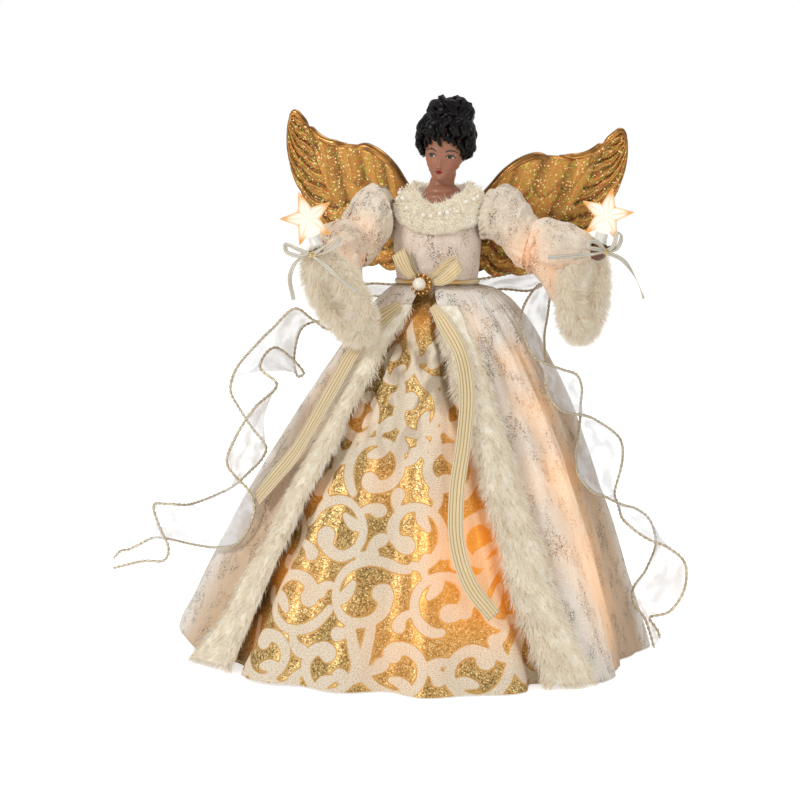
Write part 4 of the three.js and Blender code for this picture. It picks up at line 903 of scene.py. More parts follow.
@dataclass(frozen=True)
class Striped(Finish):
    """Ribbon with stripes along it: places across its width and how wide each stripe is."""

    satin: tuple = srgb(238, 222, 184)
    satin_shade: tuple = srgb(206, 184, 138)
    stripe: tuple = srgb(196, 150, 76)
    dark: tuple = srgb(120, 96, 64)
    stripes: tuple = (0.28, 0.5, 0.72)
    dark_stripes: tuple = (0.1, 0.9)
    half_width: float = 0.045

    def build(self, shader: Shader) -> bpy.types.Material:
        """Satin with its stripes and a fine weave."""
        across = shader.part(shader.place(source="UV"), 0)
        weave = shader.cloud(shader.place((30, 900, 1), "UV"), 1.0, 2)
        colour = shader.blend(self.satin_shade, self.satin, shader.step(weave, 0.3, 0.6))

        def lines(places: tuple, half: float) -> Wire:
            """1 on the stripes."""
            total: Wire | float = 0.0
            for centre in places:
                off = shader.math("ABSOLUTE", across - centre)
                total = shader.step(off, half, half * 0.55) + total
            return shader.clip(total)

        gold = lines(self.stripes, self.half_width)
        dark = lines(self.dark_stripes, self.half_width * 0.5)
        thread = shader.step(shader.cloud(shader.place((60, 1600, 1), "UV"), 1.0, 1), 0.35, 0.6)
        colour = shader.blend(colour, self.stripe, gold * (thread * 0.4 + 0.6))
        colour = shader.blend(colour, self.dark, dark * 0.8)
        return shader.dress(
            Base_Color=colour, Roughness=0.5 - gold * 0.18, Metallic=gold * 0.6, Sheen_Weight=0.3,
            Normal=shader.bump(weave + gold * 0.5, 0.35, 0.3),
        )


@dataclass(frozen=True)
class Sheer(Finish):
    """See-through organza, a fine mesh cloth, which covers more of what is behind it where it gathers."""

    cloth: tuple = srgb(236, 237, 240)
    cover: float = 0.34

    def build(self, shader: Shader) -> bpy.types.Material:
        """A thin veil over what is behind it."""
        folds = shader.cloud(shader.place((3.0, 55.0, 1.0), "UV"), 1.0, 2)
        cover = shader.step(folds, 0.4, 0.66) * 0.36 + self.cover
        return shader.dress(Base_Color=self.cloth, Roughness=0.55, Sheen_Weight=0.2, Alpha=cover)


@dataclass(frozen=True)
class Lit(Finish):
    """A clear shell lit from inside: nearly white, warmer towards its edges."""

    core: tuple = srgb(255, 246, 226)
    rim: tuple = srgb(255, 170, 60)
    strength: float = 1.0

    def build(self, shader: Shader) -> bpy.types.Material:
        """Emission that warms towards the points and edges painted on the mesh."""
        rim = shader.clip(shader.painted("rim"))
        colour = shader.blend(self.core, self.rim, rim)
        return shader.dress(
            Base_Color=(0.1, 0.09, 0.07, 1), Roughness=0.2, Coat_Weight=0.3, Emission_Color=colour,
            Emission_Strength=self.strength,
        )


@dataclass(frozen=True)
class Face(Finish):
    """Painted doll's skin: the brows, eyes and lips are stored at the mesh's points, and so is the painted
    shade under the nose, among the dark paint.
    """

    lit: tuple = srgb(168, 112, 84)
    shade: tuple = srgb(116, 72, 52)
    ink_and_shade: tuple = srgb(34, 20, 16)
    white: tuple = srgb(190, 174, 160)
    lips: tuple = srgb(128, 14, 16)
    blush: tuple = srgb(178, 92, 72)

    def build(self, shader: Shader) -> bpy.types.Material:
        """Skin first, then what is painted over it."""
        here = shader.place()
        mottle = shader.step(shader.cloud(here, 160, 3), 0.3, 0.7)
        colour = shader.blend(self.shade, self.lit, mottle * 0.25 + 0.7)
        colour = shader.blend(colour, self.blush, shader.painted("blush") * 0.45)
        colour = shader.blend(colour, self.white, shader.step(shader.painted("white"), 0.4, 0.6))
        colour = shader.blend(colour, self.ink_and_shade, shader.step(shader.painted("ink_and_shade"), 0.4, 0.6))
        lips = shader.step(shader.painted("lips"), 0.35, 0.65)
        colour = shader.blend(colour, self.lips, lips)
        return shader.dress(
            Base_Color=colour, Roughness=0.5 - lips * 0.15, Coat_Weight=0.12, Subsurface_Weight=0.06,
            Normal=shader.bump(shader.cloud(here, 900, 2), 0.06, 0.1),
        )


# Where light shines through the skirts: place, reach and strength, in millimetres.
FRONT_GLOW = (
    (60, -102, 60, 60, 0.8), (48, -90, 100, 52, 0.7), (36, -76, 150, 36, 0.45), (24, -118, 84, 44, 0.4),
    (-12, -98, 124, 30, 0.35), (8, -126, 34, 54, 0.35), (-60, -112, 60, 44, 0.15), (-4, -40, 218, 24, 0.4),
    (-62, -82, 112, 22, 0.5), (-80, -90, 64, 26, 0.5), (-38, -70, 158, 22, 0.4), (-94, -98, 24, 26, 0.4),
)
COAT_GLOW = (
    (112, -50, 78, 46, 0.85), (93, -48, 122, 40, 0.85), (78, -43, 165, 32, 0.75), (63, -37, 195, 24, 0.6),
    (126, -46, 40, 46, 0.7), (-22, -36, 214, 24, 0.3), (26, -38, 212, 22, 0.35), (-108, 4, 92, 44, 0.24),
)

COAT_CLOTH = Suede("coat suede", glow_spots=COAT_GLOW)
SLEEVE_CLOTH = Suede(
    "sleeve suede", cloth=srgb(244, 232, 214), dip=srgb(208, 182, 154), glow=srgb(255, 168, 86),
    glow_spots=(
        (-58, -42, 258, 26, 0.9), (-54, -62, 244, 24, 0.9), (-42, -30, 270, 20, 0.4),
        (62, -12, 258, 26, 0.6), (84, -10, 240, 24, 0.5),
    ),
)
BODICE_CLOTH = Suede("bodice suede", cloth=srgb(246, 230, 216), dip=srgb(216, 190, 170))
SCROLLS = ScrollCloth("scroll cloth", glow_spots=FRONT_GLOW)
# The fur's scatter is painted light: a faint glow in its own colour for light passed on inside the pile.
FUR = Strands(
    "fur pile", srgb(216, 202, 176), srgb(255, 251, 242), srgb(236, 218, 182), 0.9, sheen=0.3,
    scatter=0.15,
)
# The backing's faint glow is painted light, not a lamp: it brightens the pale backing as light passed on
# through the pile would.
FUR_SKIN = Plain(
    "fur backing", srgb(244, 238, 224), srgb(226, 214, 190), 260, 0.95, relief=0.8,
    glow=srgb(244, 234, 214), glow_strength=0.12,
)
TINSEL = Strands("gold tinsel", srgb(150, 108, 52), srgb(216, 172, 96), srgb(240, 214, 150), 0.3, 0.9)


@dataclass(frozen=True)
class SkirtShape:
    """The outline that the coat, the fur on it and the underskirt share."""

    waist_half_width: float = 27.5
    waist_half_depth: float = 22.5
    hem_reach: float = 140.0
    pleat_depth: float = 7.0
    pleat_count: int = 8
    pleat_turn: float = 59.0
    hem_lift: float = 22.0
    setback: float = 4.5
    hem_rows: tuple = (
        (-180, 0.97, 0.6), (-140, 1.07, 0.7), (-95, 1.23, 0.78), (-70, 1.23, 0.8), (-45, 1.09, 0.75),
        (0, 0.98, 0.72), (45, 0.985, 0.61), (75, 0.96, 0.54), (110, 0.95, 0.51), (150, 0.945, 0.56),
    )
    lift_rows: tuple = (
        (-180, 0.3), (-130, 0.65), (-95, 1), (-77, 0.9), (-52, 0.08), (0, 0), (110, 0), (150, 0.15),
    )
    fold_rows: tuple = (
        (-180, 0), (-42, 0), (-33, 0.5), (-24, -0.25), (-13, 0.75), (-1, -0.9), (10, 0.75), (20, -0.1),
        (29, 0.35), (40, 0),
    )
    right_edges: tuple = (
        (0, 4, 30), (0.1, 13, 34), (0.2, 20, 37), (0.46, 29, 41.5), (0.7, 34, 46.5), (1, 41.5, 53),
    )
    left_edges: tuple = (
        (0, -10, -36), (0.2, -25, -38), (0.34, -30, -40.5), (0.58, -37, -48.5), (0.8, -42, -55),
        (1, -46, -60),
    )

    def hem_height(self, angle: float) -> float:
        """How high the hem hangs at an angle."""
        return 1 + self.hem_lift * read_round(self.lift_rows, angle)

    def base(self, angle: float, drop: float) -> float:
        """The radius without pleats, at an angle and a share of the way down."""
        waist = ellipse_radius(angle, self.waist_half_width, self.waist_half_depth)
        reach = self.hem_reach * read_round(self.hem_rows, angle, 1)
        return waist + (reach - waist) * drop ** read_round(self.hem_rows, angle, 2)

    def pleat(self, angle: float, drop: float) -> float:
        """How far the coat's pleats stand in or out."""
        wave = math.cos(math.radians(self.pleat_count * (angle - self.pleat_turn)))
        return self.pleat_depth * drop**1.2 * wave

    def coat(self, angle: float, drop: float) -> float:
        """The radius of the coat's outside."""
        return self.base(angle, drop) + self.pleat(angle, drop)

    def edges(self, side: Side) -> tuple:
        """The fur's inner and outer edge on one side, by drop."""
        return self.right_edges if side is Side.RIGHT else self.left_edges

    def coat_edge(self, side: Side, drop: float) -> float:
        """The angle of the coat's own edge, under the fur."""
        return read_table(self.edges(side), drop, 1) + side.value * self.setback

    def underskirt(self, angle: float, height: float) -> float:
        """The radius of the brocade's outside."""
        drop = max(0.0, drop_at(height))
        covered = self.coat(angle, drop) - 3.4 * ease(0, 0.22, drop) - 1.2 - 4
        fold = self.pleat_depth * drop**1.2 * read_round(self.fold_rows, angle)
        open_radius = self.base(angle, drop) + fold
        side = Side.RIGHT if angle > 0 else Side.LEFT
        edge = abs(read_table(self.edges(side), drop, 1))
        hidden = ease(edge - 7, edge - 1, abs(angle))
        full = mix(open_radius, min(open_radius, covered), hidden)
        return mix(20.4, full, ease(0, 0.06, (231 - height) / WAIST_HEIGHT))


SKIRT = SkirtShape()


@dataclass
class Underskirt:
    """The brocade skirt, with its scrolls as distances stored in the mesh."""

    top: float = 232.0
    front_half: float = 62.0
    front_columns: int = 340
    back_columns: int = 84
    rows: int = 184
    cloth_length: float = 0.26
    scroll_rows: tuple = (
        # across, up and radius in millimetres, start in degrees, turns, way, lobes
        (-78, 20, 16, 200, 0.78, 1, 2), (-40, 16, 17, 20, 0.83, -1, 3), (0, 17, 18, 170, 0.88, 1, 3),
        (42, 16, 17, 340, 0.83, -1, 3), (82, 20, 17, 150, 0.78, 1, 2), (-62, 52, 18, 300, 0.83, -1, 3),
        (-20, 55, 20, 60, 0.88, 1, 3), (24, 54, 17, 230, 0.83, -1, 2), (62, 54, 19, 80, 0.83, 1, 3),
        (100, 56, 16, 200, 0.78, -1, 2), (-84, 84, 15, 330, 0.78, 1, 2), (-42, 90, 19, 150, 0.88, -1, 3),
        (2, 92, 18, 310, 0.83, 1, 3), (44, 92, 18, 20, 0.88, -1, 3), (82, 92, 16, 260, 0.78, 1, 2),
        (-62, 122, 15, 60, 0.78, 1, 2), (-22, 128, 18, 200, 0.88, -1, 3), (20, 128, 16, 330, 0.83, 1, 3),
        (56, 128, 16, 120, 0.83, -1, 2), (-40, 160, 14, 240, 0.78, 1, 2), (-3, 163, 16, 60, 0.83, -1, 3),
        (32, 162, 15, 180, 0.83, 1, 2), (-20, 192, 13, 30, 0.78, -1, 2), (12, 194, 13, 270, 0.78, 1, 2),
    )

    def strokes(self) -> list[tuple[np.ndarray, np.ndarray]]:
        """The scrolls, lobes, leaves and stems on the flat cloth.

        Returns:
            The middle line and the half width along it of each, in millimetres.
        """
        made = []
        share, far = np.linspace(0, 1, 40), np.linspace(0, 1, 10)
        for x, z, radius, start, turns, way, lobes in self.scroll_rows:
            turn = np.radians(start + way * 360 * turns * share)
            reach = radius * (1.06 - 0.66 * share**1.6)
            spots = np.stack([x + reach * np.cos(turn), z + reach * np.sin(turn)], 1)
            ball = 1.6 * np.clip((share - 0.9) / 0.1, 0, 1) ** 0.5
            made.append((spots, 3.5 - 0.7 * np.sin(share * math.pi * 1.5) + ball))
            for lobe in range(lobes):
                at = int(4 + lobe * 9.5)
                bend = turn[at] + way * (0.9 if lobe % 2 else -0.7) * far**1.3 * 1.5
                step = np.stack([np.cos(bend), np.sin(bend)], 1) * (12.5 - lobe * 1.2) / 9
                made.append((spots[at] + np.cumsum(step, 0), 2.3 + 2.2 * far**1.5))
            inward = np.array([x, z]) - spots[16]
            beside = np.array([-inward[1], inward[0]]) * way * 0.5
            leaf = spots[16] + np.outer(far * 0.62, inward) + np.outer(far**2, beside)
            made.append((leaf, 1.7 + 2.2 * np.sin(far * math.pi * 0.9)))
            lean = math.radians(start - way * 90)
            stem = spots[0] + np.outer(far * 13, [math.cos(lean), math.sin(lean)])
            made.append((stem + np.outer(far**2 * 5, [0, 1]), 3.6 - 0.7 * far))
        return made

    def band_distance(self, flat: np.ndarray) -> np.ndarray:
        """Signed distance from each point of the cloth to the nearest band's edge.

        Args:
            flat: Across and up of each point, in millimetres.

        Returns:
            Above zero inside a band.
        """
        best = np.full(len(flat), -9.0)
        for spots, wide in self.strokes():
            low, high = spots.min(0) - 9, spots.max(0) + 9
            near = np.all((flat > low) & (flat < high), axis=1)
            if not near.any():
                continue
            here = flat[near]
            starts, ways = spots[:-1], np.diff(spots, axis=0)
            along = np.einsum("pij,ij->pi", here[:, None] - starts, ways) / (ways**2).sum(1)
            along = np.clip(along, 0, 1)
            gaps = np.linalg.norm(here[:, None] - starts - ways * along[..., None], axis=2)
            inside = wide[:-1] + np.diff(wide) * along - gaps
            best[near] = np.maximum(best[near], inside.max(1))
        return np.clip(best, -4, 4)

    def angle_at(self, across: float) -> float:
        """The angle of a column: most of them are in front, where the coat is open."""
        total = self.front_columns + self.back_columns
        column = across * total - self.back_columns / 2
        if column < 0:
            return -self.front_half + column * (360 - 2 * self.front_half) / self.back_columns
        if column > self.front_columns:
            over = column - self.front_columns
            return self.front_half + over * (360 - 2 * self.front_half) / self.back_columns
        return mix(-self.front_half, self.front_half, column / self.front_columns)

    def place(self, across: float, along: float) -> Vector:
        """A point of the cloth."""
        angle = self.angle_at(across)
        turned = signed(angle)
        height = mix(self.top, SKIRT.hem_height(turned), along)
        drop = drop_at(height)
        radius = SKIRT.underskirt(turned, height)
        fold = wobble(turned * 0.11, height * 0.006, 3.0) * 2.2
        fold += wobble(turned * 0.3, height * 0.02, 7) * 0.7
        front = 1 - ease(30, 44, abs(turned))
        radius += fold * ease(0.03, 0.3, drop) * front
        wave = math.sin(math.radians(turned * 7)) * 0.9 * ease(0.93, 1, along)
        return around(angle, radius + wave, height)

    def build(self) -> bpy.types.Object:
        """Builds the cloth, with the bands' distances stored in it."""
        columns = self.front_columns + self.back_columns
        piece = Piece("brocade_skirt")
        piece.sheet(columns, self.rows, self.place, closed=True)
        piece.stand_clear()
        spots = np.array([vert.co for vert in piece.mesh.verts])
        angles = np.arctan2(spots[:, 0], -spots[:, 1])
        reach = np.hypot(spots[:, 0], spots[:, 1])
        across = angles * (22 + 0.72 * reach)
        flat = np.stack([across - 4, spots[:, 2]], 1)
        piece.store("band", self.band_distance(flat))
        made = piece.finish(
            SCROLLS,
            "figure", ("underskirt_left", "underskirt_front", "underskirt_right", "underskirt_back"),
            "brocade_cloth", outward=True,
        )
        self.declare(made)
        return made

    def declare(self, made: bpy.types.Object) -> None:
        area = sum(face.area for face in made.data.polygons)
        length = self.cloth_length
        area / length


@dataclass
class Coat:
    """The long open coat, with soft folds between its pleats."""

    columns: int = 380
    rows: int = 112
    wall: float = 1.0
    fold_depth: float = 4.4
    cloth_length: float = 0.265
    fold_shares: tuple = (
        # share of the way round, and depth as a share
        (0, 0), (0.02, 0), (0.04, 0), (0.062, 0), (0.085, 0.55), (0.11, 0.1), (0.135, 0.8), (0.155, 0.2),
        (0.18, 0.6), (0.205, 0), (0.23, 0.9), (0.255, 0.3), (0.275, 0.7), (0.3, 0.05), (0.325, 0.75),
        (0.35, 0.25), (0.37, 0.55), (0.395, 0), (0.42, 1), (0.445, 0.2), (0.465, 0.6), (0.49, 0.1),
        (0.515, 0.85), (0.54, 0), (0.56, 0.5), (0.585, 0.15), (0.61, 0.9), (0.635, 0.3), (0.655, 0.7),
        (0.68, 0), (0.705, 0.8), (0.73, 0.25), (0.75, 0.6), (0.775, 0.05), (0.8, 1), (0.825, 0.2),
        (0.845, 0.65), (0.87, 0.1), (0.895, 0.75), (0.92, 0.25), (0.94, 0.1), (0.96, 0), (0.98, 0), (1, 0),
    )

    def place(self, across: float, along: float) -> Vector:
        """A point of the coat's outside."""
        low = SKIRT.coat_edge(Side.RIGHT, along)
        high = 360 + SKIRT.coat_edge(Side.LEFT, along)
        angle = mix(low, high, across)
        turned = signed(angle)
        height = mix(WAIST_HEIGHT, SKIRT.hem_height(turned), along)
        drop = drop_at(height)
        fold = -read_table(self.fold_shares, across) * self.fold_depth * ease(0, 0.22, drop)
        fine = wobble(turned * 0.2, height * 0.007, 1.0) * 1.5
        gather = wobble(turned * 0.42, height * 0.008, 5.0) * 1.6
        near_waist = 1 - ease(0.12, 0.4, drop)
        fold += fine * ease(0, 0.22, drop) + gather * (0.3 + 0.7 * near_waist) * ease(0, 0.05, drop)
        calm = ease(0, 0.05, across) * ease(0, 0.05, 1 - across)
        return around(angle, SKIRT.coat(turned, drop) + fold * calm - 0.4, height)

    def valley_shade(self, spot: Vector) -> float:
        """How deep between two pleats a point of the coat lies, from 0 to 1, for the shade painted there.
        """
        drop = drop_at(spot.z)
        angle = math.degrees(math.atan2(spot.x, -spot.y))
        out = math.hypot(spot.x, spot.y) - SKIRT.base(angle, max(0.0, drop))
        return ease(1.0, -6.0, out - 3.0 * drop) * ease(0.02, 0.2, drop)

    def build(self) -> bpy.types.Object:
        """Builds the coat."""
        piece = Piece("coat_skirt").sheet(self.columns, self.rows, self.place)
        piece.stand_clear()
        area = piece.area()
        # Stores where the finish paints shade between the pleats.
        piece.store("valley_shade", [self.valley_shade(vert.co) for vert in piece.mesh.verts])
        made = piece.finish(COAT_CLOTH, "figure", ("coat",), "coat_cloth", outward=False)
        give_wall(made, self.wall, 1.0)
        length = self.cloth_length
        area / length
        return made


def pile_fill(drop: float) -> float:
    """How thick the trims' pile is, as a share: thin under the bow."""
    return mix(0.4, 1, ease(0.045, 0.2, drop))


@dataclass
class FurTrims:
    """The long fur down both edges of the coat, strand by strand over a soft backing."""

    thickness: float = 8.2
    gap: float = 0.9
    strands: int = 15000
    tinsel: int = 900
    # width, shortest and longest
    strand_sizes: tuple = (0.5, 4.6, 9.4)
    tinsel_sizes: tuple = (0.42, 5.0, 10.5)
    top: float = 0.045
    foot: float = 0.985
    seed: int = 7

    def skin(self, side: Side, across: float, drop: float, lift: float) -> Vector:
        """A point in the pile: across the band, down it and off the cloth, as shares."""
        rows = SKIRT.edges(side)
        angle = mix(read_table(rows, drop, 1), read_table(rows, drop, 2), across)
        crown = 1 - abs(2 * across - 1) ** 3 * 0.6
        rise = self.gap + lift * crown * self.thickness * pile_fill(drop)
        return around(angle, SKIRT.coat(angle, drop) + rise, WAIST_HEIGHT * (1 - drop))

    def build_backing(self, side: Side) -> bpy.types.Object:
        """The padded band that the strands grow from."""

        def place(across: float, along: float) -> Vector:
            """A point of the band's skin, which runs out over the top and back underneath."""
            drop = mix(self.top, self.foot, along)
            turn = across * 2
            if turn <= 1:
                lump = 1 + 0.12 * wobble(turn * 5, along * 22, side.value * 4)
                return self.skin(side, 0.04 + 0.92 * turn, drop, 0.62 * lump)
            return self.skin(side, 0.96 - 0.92 * (turn - 1), drop, 0.0)

        piece = Piece(f"fur_backing_{side.word}").sheet(20, 120, place, closed=True)
        piece.close_rims()
        return piece.finish(FUR_SKIN, "figure", (f"fur_trim_{side.word}",), "fur_trim", outward=True)

    def grow(self, side: Side, count: int, finish: Finish, name: str, sizes: tuple) -> None:
        """Grows strands over one trim.

        Args:
            side: Which trim.
            count: How many strands.
            finish: What they look like.
            name: The object's name.
            sizes: Width, shortest and longest strand in millimetres.
        """
        rng = np.random.default_rng(self.seed + side.value)
        roots, ways, long, sag = [], [], [], []
        for _ in range(count):
            across = rng.uniform(0.0, 1.0)
            drop = self.top + (self.foot - self.top) * rng.uniform(0, 1) ** 0.85
            foot = self.skin(side, across, drop, 0.5)
            out = (self.skin(side, across, drop, 1.5) - foot).normalized()
            ends = [self.skin(side, at, drop, 0.5) for at in (min(1, across + 0.1), max(0, across - 0.1))]
            beside = (ends[0] - ends[1]).normalized()
            down = (self.skin(side, across, min(1, drop + 0.02), 0.5) - foot).normalized()
            spread = (across - 0.5) * 2.6
            clump = wobble(across * 3 + side.value, drop * 26) * 1.3
            lean = wobble(across * 3 + 9, drop * 26) * 0.9
            way = out * 0.62 + beside * (spread * 0.55 + clump * 0.6) + down * (0.62 + lean * 0.5)
            way += Vector(rng.normal(0, 0.16, 3))
            roots.append(foot - out * 0.8)
            ways.append(way.normalized())
            long.append(rng.uniform(sizes[1], sizes[2]) * (0.55 + 0.45 * pile_fill(drop)))
            sag.append(Vector((0, 0, -1)) * rng.uniform(0.6, 2.2) - out * 0.9)
        wide = rng.uniform(0.75, 1.25, count) * sizes[0]
        shapes = np.stack([wide, np.array(long)], 1)
        tone = rng.uniform(0, 1, count) ** 3
        data = strands(name, np.array(roots), np.array(ways), shapes, np.array(sag), tone)
        hand_over(data, finish, "figure", (f"fur_trim_{side.word}",))

    def build(self) -> None:
        """Builds both trims."""
        for side in Side:
            self.build_backing(side)
            self.grow(side, self.strands, FUR, f"fur_pile_{side.word}", self.strand_sizes)
            self.grow(side, self.tinsel, TINSEL, f"fur_tinsel_{side.word}", self.tinsel_sizes)


RIBBON = Striped("striped ribbon")
BAND_RIBBON = Striped("waist ribbon", stripes=(0.5,), dark_stripes=(), half_width=0.2)
FILIGREE = Plain("brooch gold", srgb(214, 164, 84), srgb(140, 92, 38), 700, 0.28, metallic=1.0, relief=0.3)
STONES = Plain(
    "brooch stones", srgb(255, 240, 206), srgb(220, 178, 112), 900, 0.12, metallic=0.35, coat=1.0
)
PEARL = Plain("pearl", srgb(255, 251, 244), srgb(240, 228, 208), 90, 0.2, coat=0.9)
# The beads' faint glow is painted light, not a lamp: it brightens the pale trim.
BEADS = Plain(
    "tiny beads", srgb(250, 244, 230), srgb(232, 216, 186), 400, 0.35, coat=0.4, glow=srgb(250, 240, 216),
    glow_strength=0.12,
)
GOLD_THREAD = Strands("gold thread", srgb(140, 98, 44), srgb(206, 158, 82), srgb(240, 224, 186), 0.35, 0.8)
# The loops' scatter is painted light: a faint glow for light passed on inside the pile.
PILE_THREAD = Strands(
    "ivory loops", srgb(222, 214, 198), srgb(250, 249, 243), srgb(230, 220, 194), 0.75, scatter=0.22
)

TORSO_ROWS = (
    (0, 0.75, 0.8), (0.075, 0.91, 0.94), (0.155, 0.91, 0.94), (0.38, 0.97, 0.985), (0.57, 1, 1),
    (0.73, 0.99, 0.94), (0.84, 0.9, 0.8), (0.92, 0.68, 0.64), (1, 0.357, 0.46),
)
TORSO_BASE = 226.3
TORSO_HEIGHT = 63.0
TORSO_HALF_WIDTH = 26.6
TORSO_HALF_DEPTH = 19.5
BROOCH_OUTLINE = ((0.01, 0.2), (5.4, 0.0), (6.4, 0.6), (6.0, 1.5), (4.9, 1.9), (4.6, 2.7), (0.01, 1.2))


def torso_spot(angle: float, share: float, out: float) -> Vector:
    """A point over the body form.

    Args:
        angle: Degrees from the front.
        share: Share of the form's height.
        out: How far off the form, in millimetres.

    Returns:
        The place.
    """
    half_width = TORSO_HALF_WIDTH * read_table(TORSO_ROWS, share, 1) + out
    half_depth = TORSO_HALF_DEPTH * read_table(TORSO_ROWS, share, 2) + out
    radius = ellipse_radius(angle, half_width, half_depth)
    return around(angle, radius, TORSO_BASE + share * TORSO_HEIGHT)


@dataclass
class Bodice:
    """The fitted top, creased where the sleeves and the waist pull it."""

    low: float = 0.09
    high: float = 0.925

    def place(self, across: float, along: float) -> Vector:
        """A point of the cloth."""
        angle = -180 + 360 * across
        share = mix(self.low, self.high, along)
        crease = wobble(angle * 0.05, share * 5, 2) * 0.55
        pull = wobble(angle * 0.12, share * 2.2, 6) * 0.9 * (1 - ease(0.05, 0.5, along))
        gather = math.sin(math.radians(angle * 22)) * 0.35 * (1 - ease(0.0, 0.22, along))
        return torso_spot(angle, share, 1.6 + crease * 0.6 + pull * 0.5 + gather)

    def build(self) -> bpy.types.Object:
        """Builds the bodice."""
        piece = Piece("bodice_cloth").sheet(220, 60, self.place, closed=True)
        return piece.finish(BODICE_CLOTH, "figure", ("bodice",), "coat_cloth", outward=True)


@dataclass
class Waist:
    """The band, the bow with its two tails and the brooch on its knot."""

    band_foot: float = 236.6
    band_height: float = 3.0
    brooch_place: tuple = (-4.0, -27.1, 237.5)
    brooch_face: tuple = (-0.1, -1.0, 0.12)
    petals: int = 12
    beads: int = 30
    pearl_radius: float = 4.15
    loop_length: float = 24.0
    ribbon_width: float = 12.6
    loop_width: float = 9.4
    under_pile: float = 1.1
    pile_height: float = 9.0
    over_pile: float = 1.6
    left_loop: tuple = (
        (-0.05, 0.03, 0), (-0.4, 0.35, 0.1), (-0.62, 0.78, 0.12), (-0.66, 0.86, 0.02), (-0.6, 0.74, -0.1),
        (-0.3, 0.3, -0.12), (-0.05, 0.1, -0.1),
    )
    right_loop: tuple = (
        (0.06, 0.03, 0), (0.5, 0.12, 0.14), (0.9, 0.42, 0.2), (1, 0.56, 0.12), (0.92, 0.6, 0.02),
        (0.5, 0.42, -0.08), (0.08, 0.12, -0.08),
    )
    left_tail: tuple = (
        (0.045, -22, 1.03), (0.09, -34, 1.05), (0.16, -37, 1.06), (0.25, -39, 1.05), (0.34, -42, 1.05),
        (0.43, -47, 1.04), (0.5, -53, 1.04), (0.56, -57, 1.03),
    )
    right_tail: tuple = (
        (0.045, 8, 1.03), (0.09, 17, 1.04), (0.16, 24, 1.05), (0.25, 25, 1.05), (0.37, 22, 1.03),
        (0.5, 18.5, 0.9), (0.62, 18, 0.75), (0.72, 21, 0.9), (0.8, 27, 1.04),
    )

    def ribbon(
        self, piece: Piece, spots: Sequence[Vector], wide: Callable[[float], Vector], steps: int = 60,
        crease: float = 0.35,
    ) -> None:
        """Lays a ribbon along a curve, with soft waves across it.

        Args:
            piece: What it is added to.
            spots: Its middle line.
            wide: Half its width, as a vector, for a share along it.
            steps: Steps along it.
            crease: How deep its waves are.
        """

        def place(across: float, along: float) -> Vector:
            """A point of the ribbon."""
            here = spline(spots, along)
            half = wide(along)
            out = heading(spots, along).cross(half).normalized()
            side = across * 2 - 1
            wave = wobble(along * 9, side * 1.1, len(spots)) * crease
            return here + half * side + out * (wave + 0.25 * (1 - side * side))

        piece.sheet(14, steps, place)

    def tail_spots(self, rows: Rows) -> list[Vector]:
        """The middle line of a tail that lies over the fur."""
        made = []
        for drop, angle, lift in rows:
            pile = self.pile_height * pile_fill(drop) * lift
            radius = SKIRT.coat(angle, drop) + self.under_pile + pile + self.over_pile
            made.append(around(angle, radius, WAIST_HEIGHT * (1 - drop)))
        return made

    def build_tail(self, side: Side) -> None:
        """Builds one tail of the bow."""
        rows = self.left_tail if side is Side.LEFT else self.right_tail
        width = self.ribbon_width * (1 if side is Side.LEFT else 0.75)
        spots = self.tail_spots(rows)

        def wide(along: float) -> Vector:
            """Half the width, square to the tail and level with the cloth."""
            here = spline(spots, along)
            outward = Vector((here.x, here.y, 0)).normalized()
            beside = heading(spots, along, 0.02).cross(outward).normalized()
            twist = wobble(along * 2.3, side.value * 3.0, 4) * 0.35
            pinch = mix(0.55, 1, ease(0, 0.14, along))
            return (beside + outward * twist).normalized() * (width / 2 * pinch)

        piece = Piece(f"bow_tail_{side.word}")
        self.ribbon(piece, spots, wide, 110, 0.6)
        made = piece.finish(RIBBON, "figure", (f"ribbon_tail_{side.word}",), "ribbon_cloth", outward=False)
        give_wall(made, 0.35)

    def build_loop(self, side: Side) -> None:
        """Builds one loop of the bow."""
        rows = self.left_loop if side is Side.LEFT else self.right_loop
        tilt = Vector((0.75, 0.1, 0.5)) if side is Side.LEFT else Vector((-0.4, 0.1, 0.9))
        knot = Vector(self.brooch_place) - Vector(self.brooch_face).normalized() * 2.4
        spots = [knot + Vector((across, -out, up)) * self.loop_length for across, up, out in rows]

        def wide(along: float) -> Vector:
            """Half the width; the ribbon is pinched at the knot."""
            pinch = 0.3 + 0.7 * ease(0.0, 0.3, min(along, 1 - along))
            return tilt.normalized() * (self.loop_width / 2 * pinch)

        piece = Piece(f"bow_loop_cloth_{side.word}")
        self.ribbon(piece, spots, wide, 64, 0.5)
        made = piece.finish(RIBBON, "figure", (f"bow_loop_{side.word}",), "ribbon_cloth", outward=False)
        give_wall(made, 0.35)

    def build_band(self) -> None:
        """Builds the band round the waist."""
        share = (self.band_foot - TORSO_BASE) / TORSO_HEIGHT
        high = share + self.band_height / TORSO_HEIGHT

        def place(across: float, along: float) -> Vector:
            """A point of the band's outside."""
            angle = -180 + 360 * across
            bulge = math.sin(math.pi * along) * 0.8
            return torso_spot(angle, mix(share, high, along), 2.2 + bulge)

        piece = Piece("waist_band").sheet(140, 6, place, closed=True)
        made = piece.finish(BAND_RIBBON, "figure", ("waistband",), "ribbon_cloth", outward=True)
        give_wall(made, 0.4)

